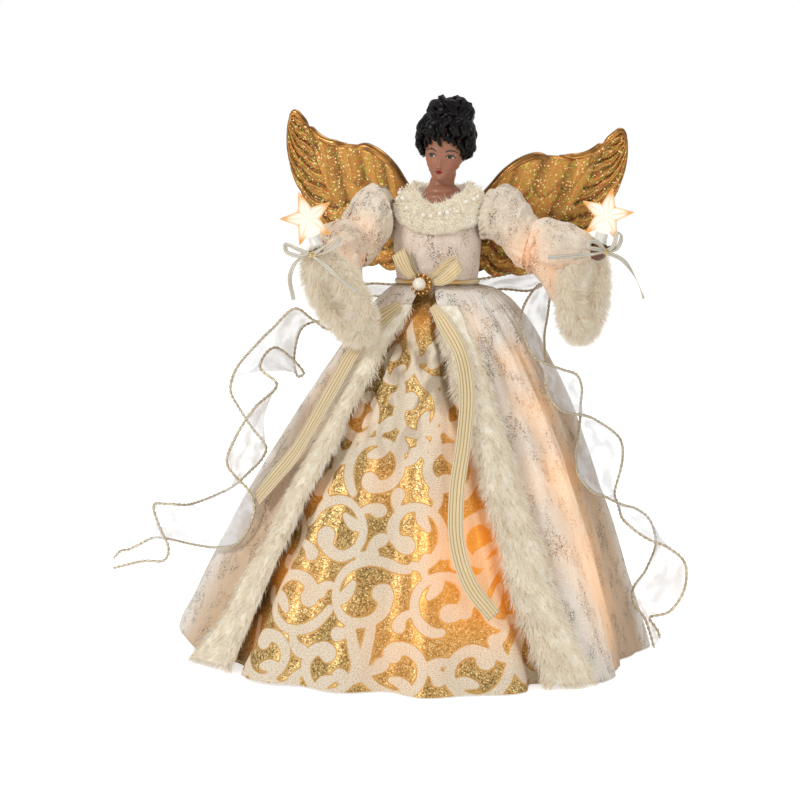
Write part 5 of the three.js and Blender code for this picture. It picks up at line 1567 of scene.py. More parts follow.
    def build_brooch(self) -> None:
        """Builds the brooch: a pearl in a ring of wire petals and small stones."""
        foot = Vector(self.brooch_place)
        face = Vector(self.brooch_face).normalized()
        first, second = square_to(face, Vector((1, 0, 0)))
        plate = Piece("brooch_filigree")
        plate.turned(BROOCH_OUTLINE, foot, face, 40)
        for i in range(self.petals):
            turn = 2 * math.pi * i / self.petals
            out = spun(first, second, turn)
            side = face.cross(out)
            base = foot + face * 1.3
            loop = [
                base + out * 4.6, base + out * 5.9 + side * 1.15 + face * 0.4,
                base + out * 7.1 + face * 0.5, base + out * 5.9 - side * 1.15 + face * 0.4,
                base + out * 4.6,
            ]
            plate.rope(loop, 0.32, 5, 14, face)
        for i in range(self.beads):
            turn = 2 * math.pi * i / self.beads
            out = spun(first, second, turn)
            plate.ball(foot + face * 2.8 + out * 4.75, 0.42, 1)
        plate.finish(FILIGREE, "figure", ("brooch_setting",), "brooch_metal", outward=False)
        stones = Piece("brooch_stones")
        for i in range(self.petals):
            turn = 2 * math.pi * (i + 0.5) / self.petals
            out = spun(first, second, turn)
            stones.ball(foot + face * 1.9 + out * 5.75, 0.8, 1)
        stones.finish(STONES, "figure", ("brooch_setting",), "brooch_metal", smooth=False)
        pearl = Piece("brooch_pearl_round").ball(foot + face * 5.6, self.pearl_radius, 4)
        pearl.finish(PEARL, "figure", ("brooch_pearl",), "pearl_plastic")

    def build(self) -> None:
        """Builds all of it."""
        self.build_band()
        for side in Side:
            self.build_tail(side)
            self.build_loop(side)
        self.build_brooch()


@dataclass
class Collar:
    """The thick trim round the shoulders: loops and tiny beads, gold threads and a row of pearls."""

    beads: int = 3000
    loops: int = 9000
    threads: int = 700
    pearls: int = 15
    seed: int = 21
    # angle from the front, lower edge, upper edge and height of the roll
    rows: tuple = (
        (-180, 0.7, 1.1, 7), (-130, 0.84, 1.1, 9), (-90, 0.85, 1.09, 11), (-55, 0.74, 1.05, 8),
        (-28, 0.68, 1.0, 4), (0, 0.665, 0.97, 2.5), (28, 0.67, 1.0, 4), (55, 0.72, 1.04, 8),
        (90, 0.8, 1.09, 12), (130, 0.82, 1.1, 9),
    )

    def spot(self, angle: float, along: float, lift: float) -> Vector:
        """A point in the trim.

        Args:
            angle: Degrees from the front.
            along: 0 at its lower edge, 1 at the neck.
            lift: 0 on the cloth, 1 on the trim's outside.

        Returns:
            The place.
        """
        low, high, roll = (read_round(self.rows, angle, i) for i in (1, 2, 3))
        share = mix(low, high, along)
        bulge = math.sin(math.pi * min(1, max(0, along))) ** 0.5
        over = max(0.0, share - 1) * TORSO_HEIGHT
        flare = (3.2 + 2.4 * math.sin(math.radians(angle))) * along**2
        place = torso_spot(angle, min(share, 1.0), 2.4 + lift * 5.4 * bulge + flare)
        return place + Vector((1.5, 0, over + lift * roll * bulge))

    def build(self) -> None:
        """Builds the backing and everything on it."""

        def skin(across: float, along: float) -> Vector:
            """A point of the backing's outside, then its inside."""
            angle = -180 + 360 * across
            if along <= 0.6:
                return self.spot(angle, along / 0.6, 0.8)
            return self.spot(angle, 1 - (along - 0.6) / 0.4, 0.0)

        backing = Piece("collar_backing").sheet(120, 30, skin, closed=True)
        backing.finish(FUR_SKIN, "figure", ("collar_trim",), "collar_trim", outward=True)
        rng = np.random.default_rng(self.seed)

        def scatter(count: int, low: float, high: float) -> tuple:
            """Random places in the trim and the way out of it at each."""
            feet, ways = np.zeros((count, 3)), np.zeros((count, 3))
            for i in range(count):
                angle, along = rng.uniform(-180, 180), rng.uniform(0.02, 0.98)
                foot = self.spot(angle, along, rng.uniform(low, high))
                out = self.spot(angle, along, 1.4) - self.spot(angle, along, 0.2)
                feet[i] = foot
                ways[i] = (out.normalized() + Vector(rng.normal(0, 0.5, 3))).normalized()
            return feet, ways

        bead = bmesh.new()
        bmesh.ops.create_icosphere(bead, subdivisions=1, radius=1)
        swarm = Swarm("collar_beads", bead)
        feet, _ = scatter(self.beads, 0.7, 1.15)
        sizes = rng.uniform(0.35, 0.65, self.beads)
        spots = feet[:, None] + swarm.points[None] * sizes[:, None, None]
        hand_over(swarm.spread(spots), BEADS, "figure", ("collar_trim",))
        jobs = (
            ("collar_loops", self.loops, PILE_THREAD, 0.55, 2.0, 4.0),
            ("collar_threads", self.threads, GOLD_THREAD, 0.3, 2.5, 5.5),
        )
        for name, count, finish, width, short, long in jobs:
            feet, ways = scatter(count, 0.5, 0.85)
            sizes = np.stack([np.full(count, width), rng.uniform(short, long, count)], 1)
            sag = rng.normal(0, 1.2, (count, 3)) + [0, 0, -0.8]
            tone = rng.uniform(0, 1, count) ** 2
            data = strands(name, feet, ways, sizes, sag, tone, 1.4)
            hand_over(data, finish, "figure", ("collar_trim",))
        row = Piece("collar_pearls")
        for i in range(self.pearls):
            angle = mix(-84, 84, i / (self.pearls - 1)) + rng.uniform(-1.5, 1.5)
            lift = 1.3 - 0.5 * (angle / 84) ** 4
            row.ball(self.spot(angle, rng.uniform(0.4, 0.5), lift), rng.uniform(1.5, 1.75), 2)
        row.finish(PEARL, "figure", ("collar_trim",), "collar_trim")


WRIST_RIBBON = Striped(
    "wrist ribbon", satin=srgb(226, 224, 214), satin_shade=srgb(188, 182, 166), stripe=srgb(190, 158, 96),
    dark=srgb(128, 118, 100), stripes=(0.0, 1.0), dark_stripes=(0.5,), half_width=0.14,
)
RUFFLE = Suede(
    "sleeve ruffle", cloth=srgb(246, 220, 196), dip=srgb(222, 180, 144), glow=srgb(255, 176, 110),
    glow_spots=((66, -16, 268, 34, 0.5), (-48, -40, 262, 34, 0.6)),
)
STAR = Lit("lit star", srgb(255, 251, 232), srgb(236, 158, 62), 1.0)
BULB = Lit("lit bulb", srgb(255, 244, 214), srgb(255, 190, 90), 1.6)
LAMP_NODES = ("right", "front_right", "front_left", "left")

# Radius and height of each point of what is turned, from its foot upwards.
HOLDER_OUTLINE = (
    (0.01, 0.0), (3.2, 0.0), (3.9, 0.8), (3.9, 7.5), (4.3, 8.0), (4.3, 9.6), (3.9, 10.0), (3.95, 14.4),
    (3.6, 15.0), (3.0, 14.9), (3.0, 7.5), (0.01, 7.4),
)
BULB_OUTLINE = ((0.01, 0.0), (2.5, 0.2), (2.55, 12.0), (2.2, 14.5), (1.2, 16.4), (0.01, 16.9))
NECK_OUTLINE = ((3.5, 0.0), (4.5, 0.0), (4.5, 6.5), (3.5, 6.5), (3.5, 0.0))


@dataclass
class Arm:
    """One arm from the shoulder to the star: sleeve, cuff, hand, lamp and wrist bow."""

    side: Side
    elbow: tuple
    hand: tuple
    cuff: tuple
    cuff_top: tuple
    cuff_face: tuple
    lamp_up: tuple
    star_turn: float
    bow_rows: tuple
    bow_out: float
    shoulder_out: float = 28.9
    shoulder_height: float = 272.0
    puff_radius: float = 19.0
    dome_radius: float = 14.4
    dome_share: float = 0.2
    dome_tilts: tuple = (-18, 14)
    cuff_half_length: float = 26.5
    cuff_half_width: float = 11.2
    cuff_tube: float = 7.4
    pad_radius: float = 5.4
    root_radius: float = 4.9
    # name, number, finish and width of the cuff's strands
    cuff_strands: tuple = (("pile", 12400, FUR, 0.52), ("tinsel", 420, TINSEL, 0.42))
    finger_places: tuple = (-2.4, 1.2, 4.4)
    finger_radius: float = 1.5
    star_radius: float = 18.6
    notch: float = 0.42
    star_depth: float = 7.0
    bow_reach: float = 30.0
    bow_width: float = 2.7
    holder_depth: float = 3.0
    bulb_height: float = 5.3
    star_height: float = 12.3
    cuff_seed: int = 40
    puff_rows: tuple = (
        (0, 0.66, 0.3), (0.16, 0.84, 0.56), (0.36, 0.98, 0.74), (0.56, 1, 0.62), (0.76, 0.98, 0.3),
        (0.86, 0.93, 0.06), (1, 0.84, 0),
    )
    bell_rows: tuple = ((0, 0, 0), (0.3, 0.1, 0.1), (0.55, 0.45, 0.5), (0.8, 0.8, 0.85), (1, 1, 1))
    # radius of the gathered cloth over the forearm, by share of the way to the hand
    cover_rows: tuple = ((0, 14.5), (0.25, 16), (0.5, 14.5), (0.75, 10.5), (0.95, 6.5), (1, 6))

    def __post_init__(self) -> None:
        """Works out the arm's directions."""
        self.shoulder = Vector((self.side.value * self.shoulder_out, 0, self.shoulder_height))
        self.elbow_at, self.hand_at, self.cuff_at = map(Vector, (self.elbow, self.hand, self.cuff))
        self.axis = (self.elbow_at - self.shoulder).normalized()
        self.long = Vector(self.cuff_top).normalized()
        face = Vector(self.cuff_face)
        self.face = (face - self.long * face.dot(self.long)).normalized()
        self.across = self.long.cross(self.face).normalized()
        self.up = Vector(self.lamp_up).normalized()
        self.body = f"forearm_{self.side.word}"

    def ring(
        self, centre: Vector, normal: Vector, long: Vector, turn: float, a: float, b: float
    ) -> Vector:
        """A point on a ring square to a direction.

        Args:
            centre: The ring's middle.
            normal: What it is square to.
            long: Wish for its first axis.
            turn: Where on the ring, 0 to 1.
            a: Its radius along the first axis.
            b: Its radius along the second.

        Returns:
            The point.
        """
        first, second = square_to(normal, long)
        angle = 2 * math.pi * turn
        return centre + first * (a * math.cos(angle)) + second * (b * math.sin(angle))

    def puff_spot(self, across: float, along: float) -> Vector:
        """A point of the puffed upper sleeve."""
        radius = self.puff_radius * read_table(self.puff_rows, along, 1)
        lift = read_table(self.puff_rows, along, 2) * self.puff_radius
        centre = self.shoulder.lerp(self.elbow_at, along) + Vector((0, 0, lift))
        normal = Vector((self.side.value, 0, 0)).lerp(self.axis, ease(0, 0.5, along))
        ends = math.sin(math.pi * along) ** 0.5
        gather = math.sin(2 * math.pi * across * 19 + wobble(across * 6, along * 2) * 3)
        gather *= 0.65 * (1 - 0.72 * ends)
        soft = wobble(across * 4, along * 3.2, self.side.value * 5) * 2.1 * ends
        crease = -abs(wobble(across * 7 + 4, along * 5, 3)) * 1.5 * ends
        size = radius + gather + soft + crease - 0.2
        return self.ring(centre, normal, UP, across, size, size)

    def build_puff(self) -> None:
        """Builds the puffed sleeve."""
        piece = Piece(f"puff_cloth_{self.side.word}").sheet(150, 80, self.puff_spot, closed=True)
        node = f"puff_sleeve_{self.side.word}"
        piece.finish(SLEEVE_CLOTH, "figure", (node,), "coat_cloth", outward=True)

    def bell_spot(self, across: float, along: float) -> Vector:
        """A point of the bell sleeve, from its round top to the cuff."""
        low, high = self.dome_tilts
        if along < self.dome_share:
            tilt = math.radians(mix(low, high, along / self.dome_share))
            size = self.dome_radius * math.cos(tilt)
            centre = self.elbow_at + self.axis * (self.dome_radius * math.sin(tilt))
            return self.ring(centre, self.axis, UP, across, size, size)
        share = (along - self.dome_share) / (1 - self.dome_share)
        tilt = math.radians(high)
        start = self.elbow_at + self.axis * (self.dome_radius * math.sin(tilt))
        end = self.cuff_at - self.face * (self.cuff_tube * 0.5)
        normal = self.axis.lerp(self.face, ease(0, 1, share))
        neck = self.dome_radius * math.cos(tilt)
        long = mix(neck, self.cuff_half_length, read_table(self.bell_rows, share, 1))
        short = mix(neck, self.cuff_half_width, read_table(self.bell_rows, share, 2))
        fold = math.sin(2 * math.pi * across * 9 + share * 2) * 0.9 * (1 - 0.4 * share)
        fold += wobble(across * 5, share * 2, 8) * 1.1 * math.sin(math.pi * share)
        wish = UP.lerp(self.long, share)
        return self.ring(start.lerp(end, share), normal, wish, across, long + fold, short + fold)

    def build_bell(self) -> None:
        """Builds the bell sleeve and the ruffle where it leaves the puff."""
        piece = Piece(f"bell_cloth_{self.side.word}").sheet(140, 70, self.bell_spot, closed=True)
        node = f"bell_sleeve_{self.side.word}"
        piece.finish(SLEEVE_CLOTH, self.body, (node,), "coat_cloth", outward=True)

        def over(across: float, along: float) -> Vector:
            """A point of the cloth gathered over the forearm."""
            share = along * 0.94
            size = read_table(self.cover_rows, share)
            size += wobble(across * 7, share * 3, self.side.value * 3) * 1.6 * ease(0, 0.2, share)
            size += math.sin(2 * math.pi * across * 11 + share * 5) * 0.7 * share
            centre = self.elbow_at.lerp(self.hand_at, share) + Vector((0, 0, 1.5))
            way = self.hand_at - self.elbow_at
            return self.ring(centre, way, UP, across, size, size)

        cover = Piece(f"forearm_cloth_{self.side.word}").sheet(110, 40, over, closed=True)
        made = cover.finish(SLEEVE_CLOTH, self.body, (node,), "coat_cloth", outward=True)
        give_wall(made, 0.4, -1.0)

        def place(across: float, along: float) -> Vector:
            """A point of the ruffle that stands out at the elbow."""
            wave = math.sin(2 * math.pi * across * 15 + wobble(across * 9, 2.0) * 4)
            size = 13.2 + along * 4.6 + wave * 0.9 * along
            centre = self.elbow_at + self.axis * (3.6 + wave * 1.3 * along)
            return self.ring(centre, self.axis, UP, across, size, size)

        ruffle = Piece(f"elbow_ruffle_{self.side.word}").sheet(200, 8, place, closed=True)
        made = ruffle.finish(RUFFLE, self.body, (node,), "coat_cloth", outward=False)
        give_wall(made, 0.5, -1.0)

    def cuff_spot(self, around_ring: float, roll: float, size: float) -> Vector:
        """A point of the padded cuff.

        Args:
            around_ring: Where round the mouth, 0 to 1.
            roll: Where round the pad, 0 to 1.
            size: The pad's radius in millimetres.

        Returns:
            The place.
        """
        turn, over = 2 * math.pi * around_ring, 2 * math.pi * roll
        half, wide = self.cuff_half_length, self.cuff_half_width
        long, short = math.cos(turn), math.sin(turn)
        out = (self.long * (long / half) + self.across * (short / wide)).normalized()
        centre = self.cuff_at + self.long * (half * long) + self.across * (wide * short)
        return centre + out * (size * math.cos(over)) + self.face * (size * math.sin(over))

    def build_cuff(self) -> None:
        """Builds the fur cuff: a padded ring and its pile."""
        name = self.side.word

        def place(across: float, along: float) -> Vector:
            """A point of the padded ring."""
            lump = self.pad_radius + wobble(along * 12, across * 3, self.side.value * 6) * 0.5
            return self.cuff_spot(along, -across, lump)

        node = f"fur_cuff_{name}"
        ring = Piece(f"cuff_pad_{name}").sheet(18, 72, place, closed=True)
        made = ring.finish(FUR_SKIN, self.body, (node,), "fur_trim", outward=True)
        rng = np.random.default_rng(self.cuff_seed + self.side.value)
        for label, count, finish, width in self.cuff_strands:
            feet, ways, long = np.zeros((count, 3)), np.zeros((count, 3)), np.zeros(count)
            for i in range(count):
                ring_at, roll = rng.uniform(0, 1), rng.uniform(0, 1)
                foot = self.cuff_spot(ring_at, roll, self.root_radius)
                out = (self.cuff_spot(ring_at, roll, 6) - foot).normalized()
                swirl = wobble(ring_at * 22, roll * 3, 2) * 0.9
                ahead = (self.cuff_spot(ring_at + 0.01, roll, self.root_radius) - foot).normalized()
                way = out * 0.75 + ahead * swirl + Vector((0, 0, -0.35))
                feet[i] = foot
                ways[i] = (way + Vector(rng.normal(0, 0.25, 3))).normalized()
                long[i] = rng.uniform(3.6, 7.0) * (1 + 0.6 * ease(0.1, -0.7, math.cos(2 * math.pi * roll)))
            sizes = np.stack([np.full(count, width), long], 1)
            sag = np.tile([0, 0, -0.9], (count, 1)) + rng.normal(0, 0.4, (count, 3))
            tone = rng.uniform(0, 1, count) ** 3
            data = strands(f"cuff_{label}_{name}", feet, ways, sizes, sag, tone)
            hand_over(data, finish, self.body, (node,))

    def build_hand(self) -> None:
        """Builds the fingers that hold the lamp."""
        piece = Piece(f"fingers_{self.side.word}")
        for offset in self.finger_places:
            side = self.up.cross(self.face).normalized()
            base = self.hand_at + side * offset - self.face * 2
            tip = base + self.face * 7.5 + self.up * 3.4
            piece.rope([base, base + self.face * 4.5, tip], self.finger_radius, 8, 8)
            piece.ball(tip, self.finger_radius, 2)
        piece.finish(SKIN, self.body, (), "doll_skin")

    def build_lamp(self) -> None:
        """Builds the holder, the bulb and the star cap."""
        word = self.side.word
        foot = self.hand_at - self.up * self.holder_depth
        holder = Piece(f"holder_{word}").turned(HOLDER_OUTLINE, foot, self.up, 32)
        holder.finish(SOCKET, self.body, (f"lamp_socket_{word}",), "socket_plastic")
        foot = self.hand_at + self.up * self.bulb_height
        bulb = Piece(f"bulb_glass_{word}").turned(BULB_OUTLINE, foot, self.up, 24)
        bulb.finish(BULB, f"bulb_{word}", (f"bulb_{word}",), "lamp_glass")
        self.build_star()

    def build_star(self) -> None:
        """Builds the faceted star cap, with its facets' edges and points warmer."""
        word = self.side.word
        middle = 3 + self.star_radius * self.notch
        piece = Piece(f"star_shell_{word}")
        tips = 10
        rim = []
        for i in range(tips):
            reach = self.star_radius * (1 if i % 2 == 0 else self.notch)
            turn = 2 * math.pi * i / tips
            rim.append(Vector((reach * math.sin(turn), 0, middle + reach * math.cos(turn))))
        front = piece.mesh.verts.new((0, -self.star_depth, middle))
        back = piece.mesh.verts.new((0, self.star_depth, middle))
        edge = [piece.mesh.verts.new(spot) for spot in rim]
        for i in range(tips):
            piece.mesh.faces.new((front, edge[i], edge[(i + 1) % tips]))
            piece.mesh.faces.new((back, edge[(i + 1) % tips], edge[i]))
        ridges = list(piece.mesh.edges)
        bmesh.ops.bevel(
            piece.mesh, geom=ridges, offset=0.55, affect="EDGES", segments=2, profile=0.5, material=-1
        )
        bmesh.ops.subdivide_edges(piece.mesh, edges=piece.mesh.edges, cuts=5, use_grid_fill=True)

        def warmth(spot: Vector) -> float:
            """How warm the shell looks: more at its points, its folds and its outline."""
            away = (spot - Vector((0, 0, middle))).length / self.star_radius
            turn_at = math.atan2(spot.x, spot.z - middle) / math.pi * 5
            fold = abs(turn_at - round(turn_at))
            line = ease(0.16, 0.03, fold) * ease(0.1, 0.3, away)
            return ease(0.45, 1.0, away) * 0.5 + line * 0.4 + ease(2.4, 0.3, abs(spot.y)) * 0.75

        piece.store("rim", [warmth(vert.co) for vert in piece.mesh.verts])
        turn = Matrix.Rotation(math.radians(self.star_turn), 4, "Z")
        foot = self.hand_at + self.up * self.star_height
        bmesh.ops.transform(piece.mesh, matrix=stood(foot, self.up) @ turn, verts=piece.mesh.verts)
        piece.finish(STAR, f"star_{word}", (f"star_cap_{word}",), "star_clear", smooth=False, outward=True)
        neck = Piece(f"star_neck_{word}").turned(NECK_OUTLINE, foot, self.up, 24)
        neck.finish(STAR, f"star_{word}", (f"star_cap_{word}",), "star_clear")

    def build_bow(self) -> None:
        """Ties the narrow ribbon round the wrist, with its loops and ends."""
        outward = Vector((self.face.x, self.face.y, 0)).normalized()
        knot = self.hand_at + outward * self.bow_out
        beside = Vector((-outward.y, outward.x, 0))
        if beside.dot(Vector((1, 0, 0))) < 0:
            beside = -beside
        piece = Piece(f"wrist_bow_ribbon_{self.side.word}")
        for rows in self.bow_rows:
            spots = [knot + (beside * a + UP * u + outward * f) * self.bow_reach for a, u, f in rows]

            def place(across: float, along: float, spots: list = spots) -> Vector:
                """A point of the ribbon, which twists as it goes."""
                here = spline(spots, along)
                first, second = square_to(heading(spots, along), outward + Vector((0, 0, 0.4)))
                twist = 0.9 * math.sin(along * 5 + len(spots))
                return here + spun(second, first, twist) * ((across - 0.5) * self.bow_width)

            piece.sheet(4, 60, place)
        piece.ball(knot, 2.0, 2)
        made = piece.finish(WRIST_RIBBON, self.body, (f"wrist_bow_{self.side.word}",), "wrist_ribbon")
        give_wall(made, 0.35)

    def build(self) -> None:
        """Builds the arm."""
        self.build_puff()
        self.build_bell()
        self.build_cuff()
        self.build_hand()
        self.build_lamp()
        self.build_bow()


LEFT_ARM = Arm(
    Side.LEFT, elbow=(-50, -28, 262), hand=(-60, -66, 258), cuff=(-47.5, -66, 233),
    cuff_top=(-18.5, -2.5, 30.5), cuff_face=(-0.3, -0.95, 0), lamp_up=(-0.31, -0.07, 0.948), star_turn=18,
    bow_rows=(
        (
            (0, 0, 0), (-0.3, 0.12, 0.04), (-0.6, 0.2, 0), (-0.56, 0.06, 0.02), (-0.25, -0.02, 0.05),
            (0, 0, 0),
        ),
        ((0, 0, 0), (0.3, 0.18, 0.03), (0.62, 0.36, 0), (0.58, 0.22, 0.04), (0.28, 0.05, 0.05), (0, 0, 0)),
        ((0, 0, 0.02), (-0.3, -0.12, 0.06), (-0.47, -0.45, 0.06), (-0.4, -0.92, 0.04)),
        ((0, 0, 0.02), (0.35, -0.18, 0.12), (0.75, -0.48, 0.16), (1.08, -0.72, 0.16)),
    ),
    bow_out=11.3,
)
RIGHT_ARM = Arm(
    Side.RIGHT, elbow=(62, -4, 262), hand=(105, -12, 259), cuff=(94.5, -3, 234), cuff_top=(2, 0, 31),
    cuff_face=(0.65, -0.76, 0), lamp_up=(0.21, 0.05, 0.976), star_turn=8,
    bow_rows=(
        ((0, 0, 0), (-0.2, 0.06, 0.05), (-0.43, 0.12, 0.03), (-0.4, 0.22, 0), (-0.2, 0.2, 0), (0, 0, 0)),
        ((0, 0, 0), (0.18, 0.12, 0.02), (0.3, 0.4, 0), (0.36, 0.32, 0.04), (0.24, 0.06, 0.05), (0, 0, 0)),
        ((0, 0, 0.02), (0.4, -0.18, 0.04), (0.72, -0.55, 0.04), (0.96, -1, 0)),
        ((0, 0, 0.02), (-0.5, -0.03, 0.2), (-1, -0.04, 0.26), (-1.5, -0.06, 0.2)),
    ),
    bow_out=8.64,
)


@dataclass
class SkirtLamps:
    """The lamps on the cone that light the skirts from inside."""

    def build(self) -> None:
        """Dresses the model's own bulbs, which stay in sight from below."""
        for name in LAMP_NODES:
            dress(bpy.data.objects[f"skirt_bulb_{name}"], WARM_GLASS)


WARM_GLASS = Plain(
    "warm glass", srgb(255, 226, 170), srgb(250, 200, 130), 200, 0.15, coat=0.6, glow=srgb(255, 190, 110),
    glow_strength=1.5,
)


SKIN_FACE = Face("painted face")
# Over the dark hair, the lighter grey odd colour is painted highlights, laid where the stored tone says.
HAIR = Strands(
    "dark hair", root=srgb(8, 7, 7), tip=srgb(17, 13, 13), other=srgb(44, 37, 35), roughness=0.26,
    specular=0.13,
)
NO_PAINT = {"ink_and_shade": 0.0, "white": 0.0, "lips": 0.0, "blush": 0.0}


@dataclass
class Head:
    """The doll's head on its neck: a painted face, rolled locks and a big bun, all a bit tilted."""

    middle: float = 5.1
    forward: float = -2.0
    roll: float = 5.7
    eye_out: float = 6.0
    eye_height: float = 317.3
    brow_out: float = 6.5
    brow_height: float = 320.4
    nose_tip: float = 310.5
    mouth_height: float = 307.6
    skull: tuple = (-1.0, 1.4, 328.6)
    skull_size: tuple = (13.2, 13.0, 12.2)
    bun: tuple = (-0.3, 3.6, 344.0)
    bun_size: tuple = (9.6, 9.0, 6.8)
    seed: int = 5
    # height, half width, half depth and how far forward, from the chin up
    face_rows: tuple = (
        (301.6, 0, 0, 9.4), (302.1, 2.6, 2.6, 9.0), (303.4, 4.6, 5.0, 7.4), (305.4, 6.4, 7.4, 5.4),
        (308.4, 8.5, 9.8, 3.3), (312.0, 10.4, 11.3, 1.9), (315.0, 11.7, 12.2, 0.9),
        (318.5, 12.4, 12.7, 0.3), (324.0, 12.5, 12.9, 0), (330.0, 11.4, 12.4, 0), (335.0, 9.0, 10.4, 0),
        (339.0, 5.0, 6.4, 0), (341.0, 0, 0, 0),
    )
    # height, middle and radius of the neck
    neck_rows: tuple = (
        (285.0, 2.0, 16.5), (289.0, 2.6, 16.0), (292.0, 3.2, 14.2), (295.5, 3.2, 11.2), (300.5, 2.8, 7.9),
        (306.0, 4.2, 7.6), (312.0, 5.2, 7.0),
    )
    fringe: tuple = (
        ((-8.4, 331.5), (-9.7, 328.4), (-8.4, 326.2), (-7.2, 324.2)),
        ((-4.6, 332.5), (-5.9, 329.7), (-4.6, 327.8), (-3.9, 326.6)),
        ((-1.5, 332.5), (-2.5, 329.3), (-1.5, 326.2), (0.0, 323.6)),
        ((2.0, 332.5), (1.1, 330.2), (2.1, 328.6), (1.4, 327.2)),
        ((4.6, 332.5), (3.6, 329.8), (4.9, 327.6), (4.1, 326.0)),
        ((7.6, 331.5), (6.3, 328.9), (7.9, 326.6), (7.6, 324.4)),
        ((10.2, 330.0), (9.7, 327.2), (10.9, 325.0), (9.9, 322.9)),
        ((-10.8, 329.6), (-11.7, 326.4), (-11.0, 323.6), (-11.8, 321.3)),
        ((11.9, 327.8), (11.9, 324.0), (12.8, 321.0), (11.8, 318.4)),
    )

    def features(self, across: float, height: float) -> float:
        """How far the face stands out: nose, lips, chin, brow and eye hollows.

        Args:
            across: Distance from the middle of the face.
            height: Height above the foot.

        Returns:
            The relief in millimetres.
        """
        out = abs(across)

        def hill(x: float, z: float, wide: float, tall: float) -> float:
            """A soft round hill on both sides."""
            return math.exp(-(((out - x) / wide) ** 2) - ((height - z) / tall) ** 2)

        eye, tip, mouth = self.eye_height, self.nose_tip, self.mouth_height
        share = min(1.0, max(0.0, (eye + 1.0 - height) / (eye + 1.0 - tip)))
        nose = math.exp(-((across / (0.85 + 0.65 * share)) ** 2)) * (0.3 + 1.9 * share**1.3)
        nose *= ease(tip - 1.5, tip - 0.2, height) * ease(eye + 4.5, eye + 0.5, height)
        nose += hill(1.35, tip - 0.3, 0.7, 0.75) * 0.65
        lips = hill(0, mouth + 0.65, 1.9, 0.6) * 0.7 + hill(0, mouth - 0.75, 1.6, 0.65) * 0.8
        lips -= hill(0, mouth, 2.1, 0.2) * 0.5
        eyes = hill(self.eye_out, eye, 1.9, 1.1) * 0.5 - hill(5.4, eye + 0.6, 2.9, 2.0)
        brow = hill(5.2, eye + 3.6, 3.4, 1.3) * 0.45
        cheek = hill(6.2, eye - 4.4, 2.6, 2.4) * 0.45
        return nose + lips + eyes + brow + cheek + hill(0, 304.6, 2.3, 1.4) * 0.4

    def spot(self, across: float, along: float) -> Vector:
        """A point of the head's skin, before the head is tilted."""
        angle = -180 + 360 * across
        height = mix(self.face_rows[-1][0], self.face_rows[0][0], along)
        half_width, half_depth, ahead = (read_table(self.face_rows, height, i) for i in (1, 2, 3))
        if half_width < 0.01:
            return Vector((0, self.forward - ahead, height))
        place = around(angle, ellipse_radius(angle, half_width, half_depth), height)
        place.y += self.forward - ahead - self.features(place.x, height) * ease(80, 45, abs(angle))
        return place

    def paint(self, across: float, height: float) -> dict[str, float]:
        """What is painted at a point of the face.

        Args:
            across: Distance from the middle of the face.
            height: Height above the foot.

        Returns:
            The strength of the dark paint, which holds the painted shade under the nose too, of the white,
            the lips and the blush.
        """
        out = abs(across)
        along = (out - self.eye_out) / 2.65
        arch = max(0.0, 1 - along**2)
        lid = self.eye_height + 1.05 * arch**0.7 - 0.1 * along
        low = self.eye_height - 0.75 * arch**0.8 - 0.1 * along
        white = 0.0
        if arch > 0:
            white = ease(0.16, -0.16, height - lid) * ease(-0.16, 0.16, height - low)
        side = across - math.copysign(self.eye_out, across) + 0.3
        ink_and_shade = ease(1.45, 1.15, math.hypot(side, height - self.eye_height - 0.1)) * white
        if abs(along) < 1.15:
            ink_and_shade = max(ink_and_shade, ease(0.55, 0.25, abs(height - lid - 0.1)))
        if abs(along) < 1:
            crease = self.eye_height + 1.95 * arch**0.5 - 0.1
            ink_and_shade = max(
                ink_and_shade, ease(0.3, 0.1, abs(height - crease)) * 0.62,
                ease(0.26, 0.1, abs(height - low)) * 0.5,
            )
        brow_at = (out - self.brow_out) / 3.7
        if abs(brow_at) < 1:
            brow = self.brow_height + 1.2 - 1.3 * brow_at**2
            thick = 0.45 * (1 - 0.5 * max(0.0, brow_at))
            ink_and_shade = max(ink_and_shade, ease(thick + 0.2, thick - 0.1, abs(height - brow)))
        rise = height - self.mouth_height
        top = 1.3 * max(0.0, 1 - (out / 2.6) ** 1.5) - 0.3 * math.exp(-((out / 0.5) ** 2))
        foot = -1.45 * max(0.0, 1 - (out / 2.3) ** 2)
        lips = ease(0.2, -0.15, rise - top) * ease(-0.2, 0.15, rise - foot) * (out < 2.7)
        blush = math.exp(-(((out - 7) / 2.6) ** 2) - ((rise - 5.5) / 2.3) ** 2)
        parting = ease(0.26, 0.1, abs(rise)) * ease(2.6, 2.1, out)
        # Painted shade under the nose: two dark spots where the nostrils lie.
        nostril_shade = ease(0.55, 0.3, math.hypot(out - 1.0, (height - self.nose_tip + 0.9) * 1.4))
        ink_and_shade = max(ink_and_shade, parting * 0.55, nostril_shade * 0.6)
        return {"ink_and_shade": ink_and_shade, "white": white, "lips": lips, "blush": blush}

    def tilt(self, piece: Piece) -> None:
        """Moves a piece from the middle to where the head is, and tilts it as the head is."""
        eye_level = Vector((0, 0, self.eye_height))
        moved = Matrix.Translation(eye_level + Vector((self.middle, 0, 0)))
        turn = Matrix.Rotation(math.radians(self.roll), 4, "Y")
        matrix = moved @ turn @ Matrix.Translation(-eye_level)
        bmesh.ops.transform(piece.mesh, matrix=matrix, verts=piece.mesh.verts)

    def build_face(self) -> None:
        """Builds the head, paints it, and sets it on the neck."""
        piece = Piece("head_skin").sheet(288, 216, self.spot, closed=True)
        layers = {name: piece.mesh.verts.layers.float.new(name) for name in NO_PAINT}
        for vert in piece.mesh.verts:
            facing = vert.co.y < self.forward - 4 and vert.co.z > 303.6
            painted = self.paint(vert.co.x, vert.co.z) if facing else NO_PAINT
            for name, value in painted.items():
                vert[layers[name]] = value
        self.tilt(piece)

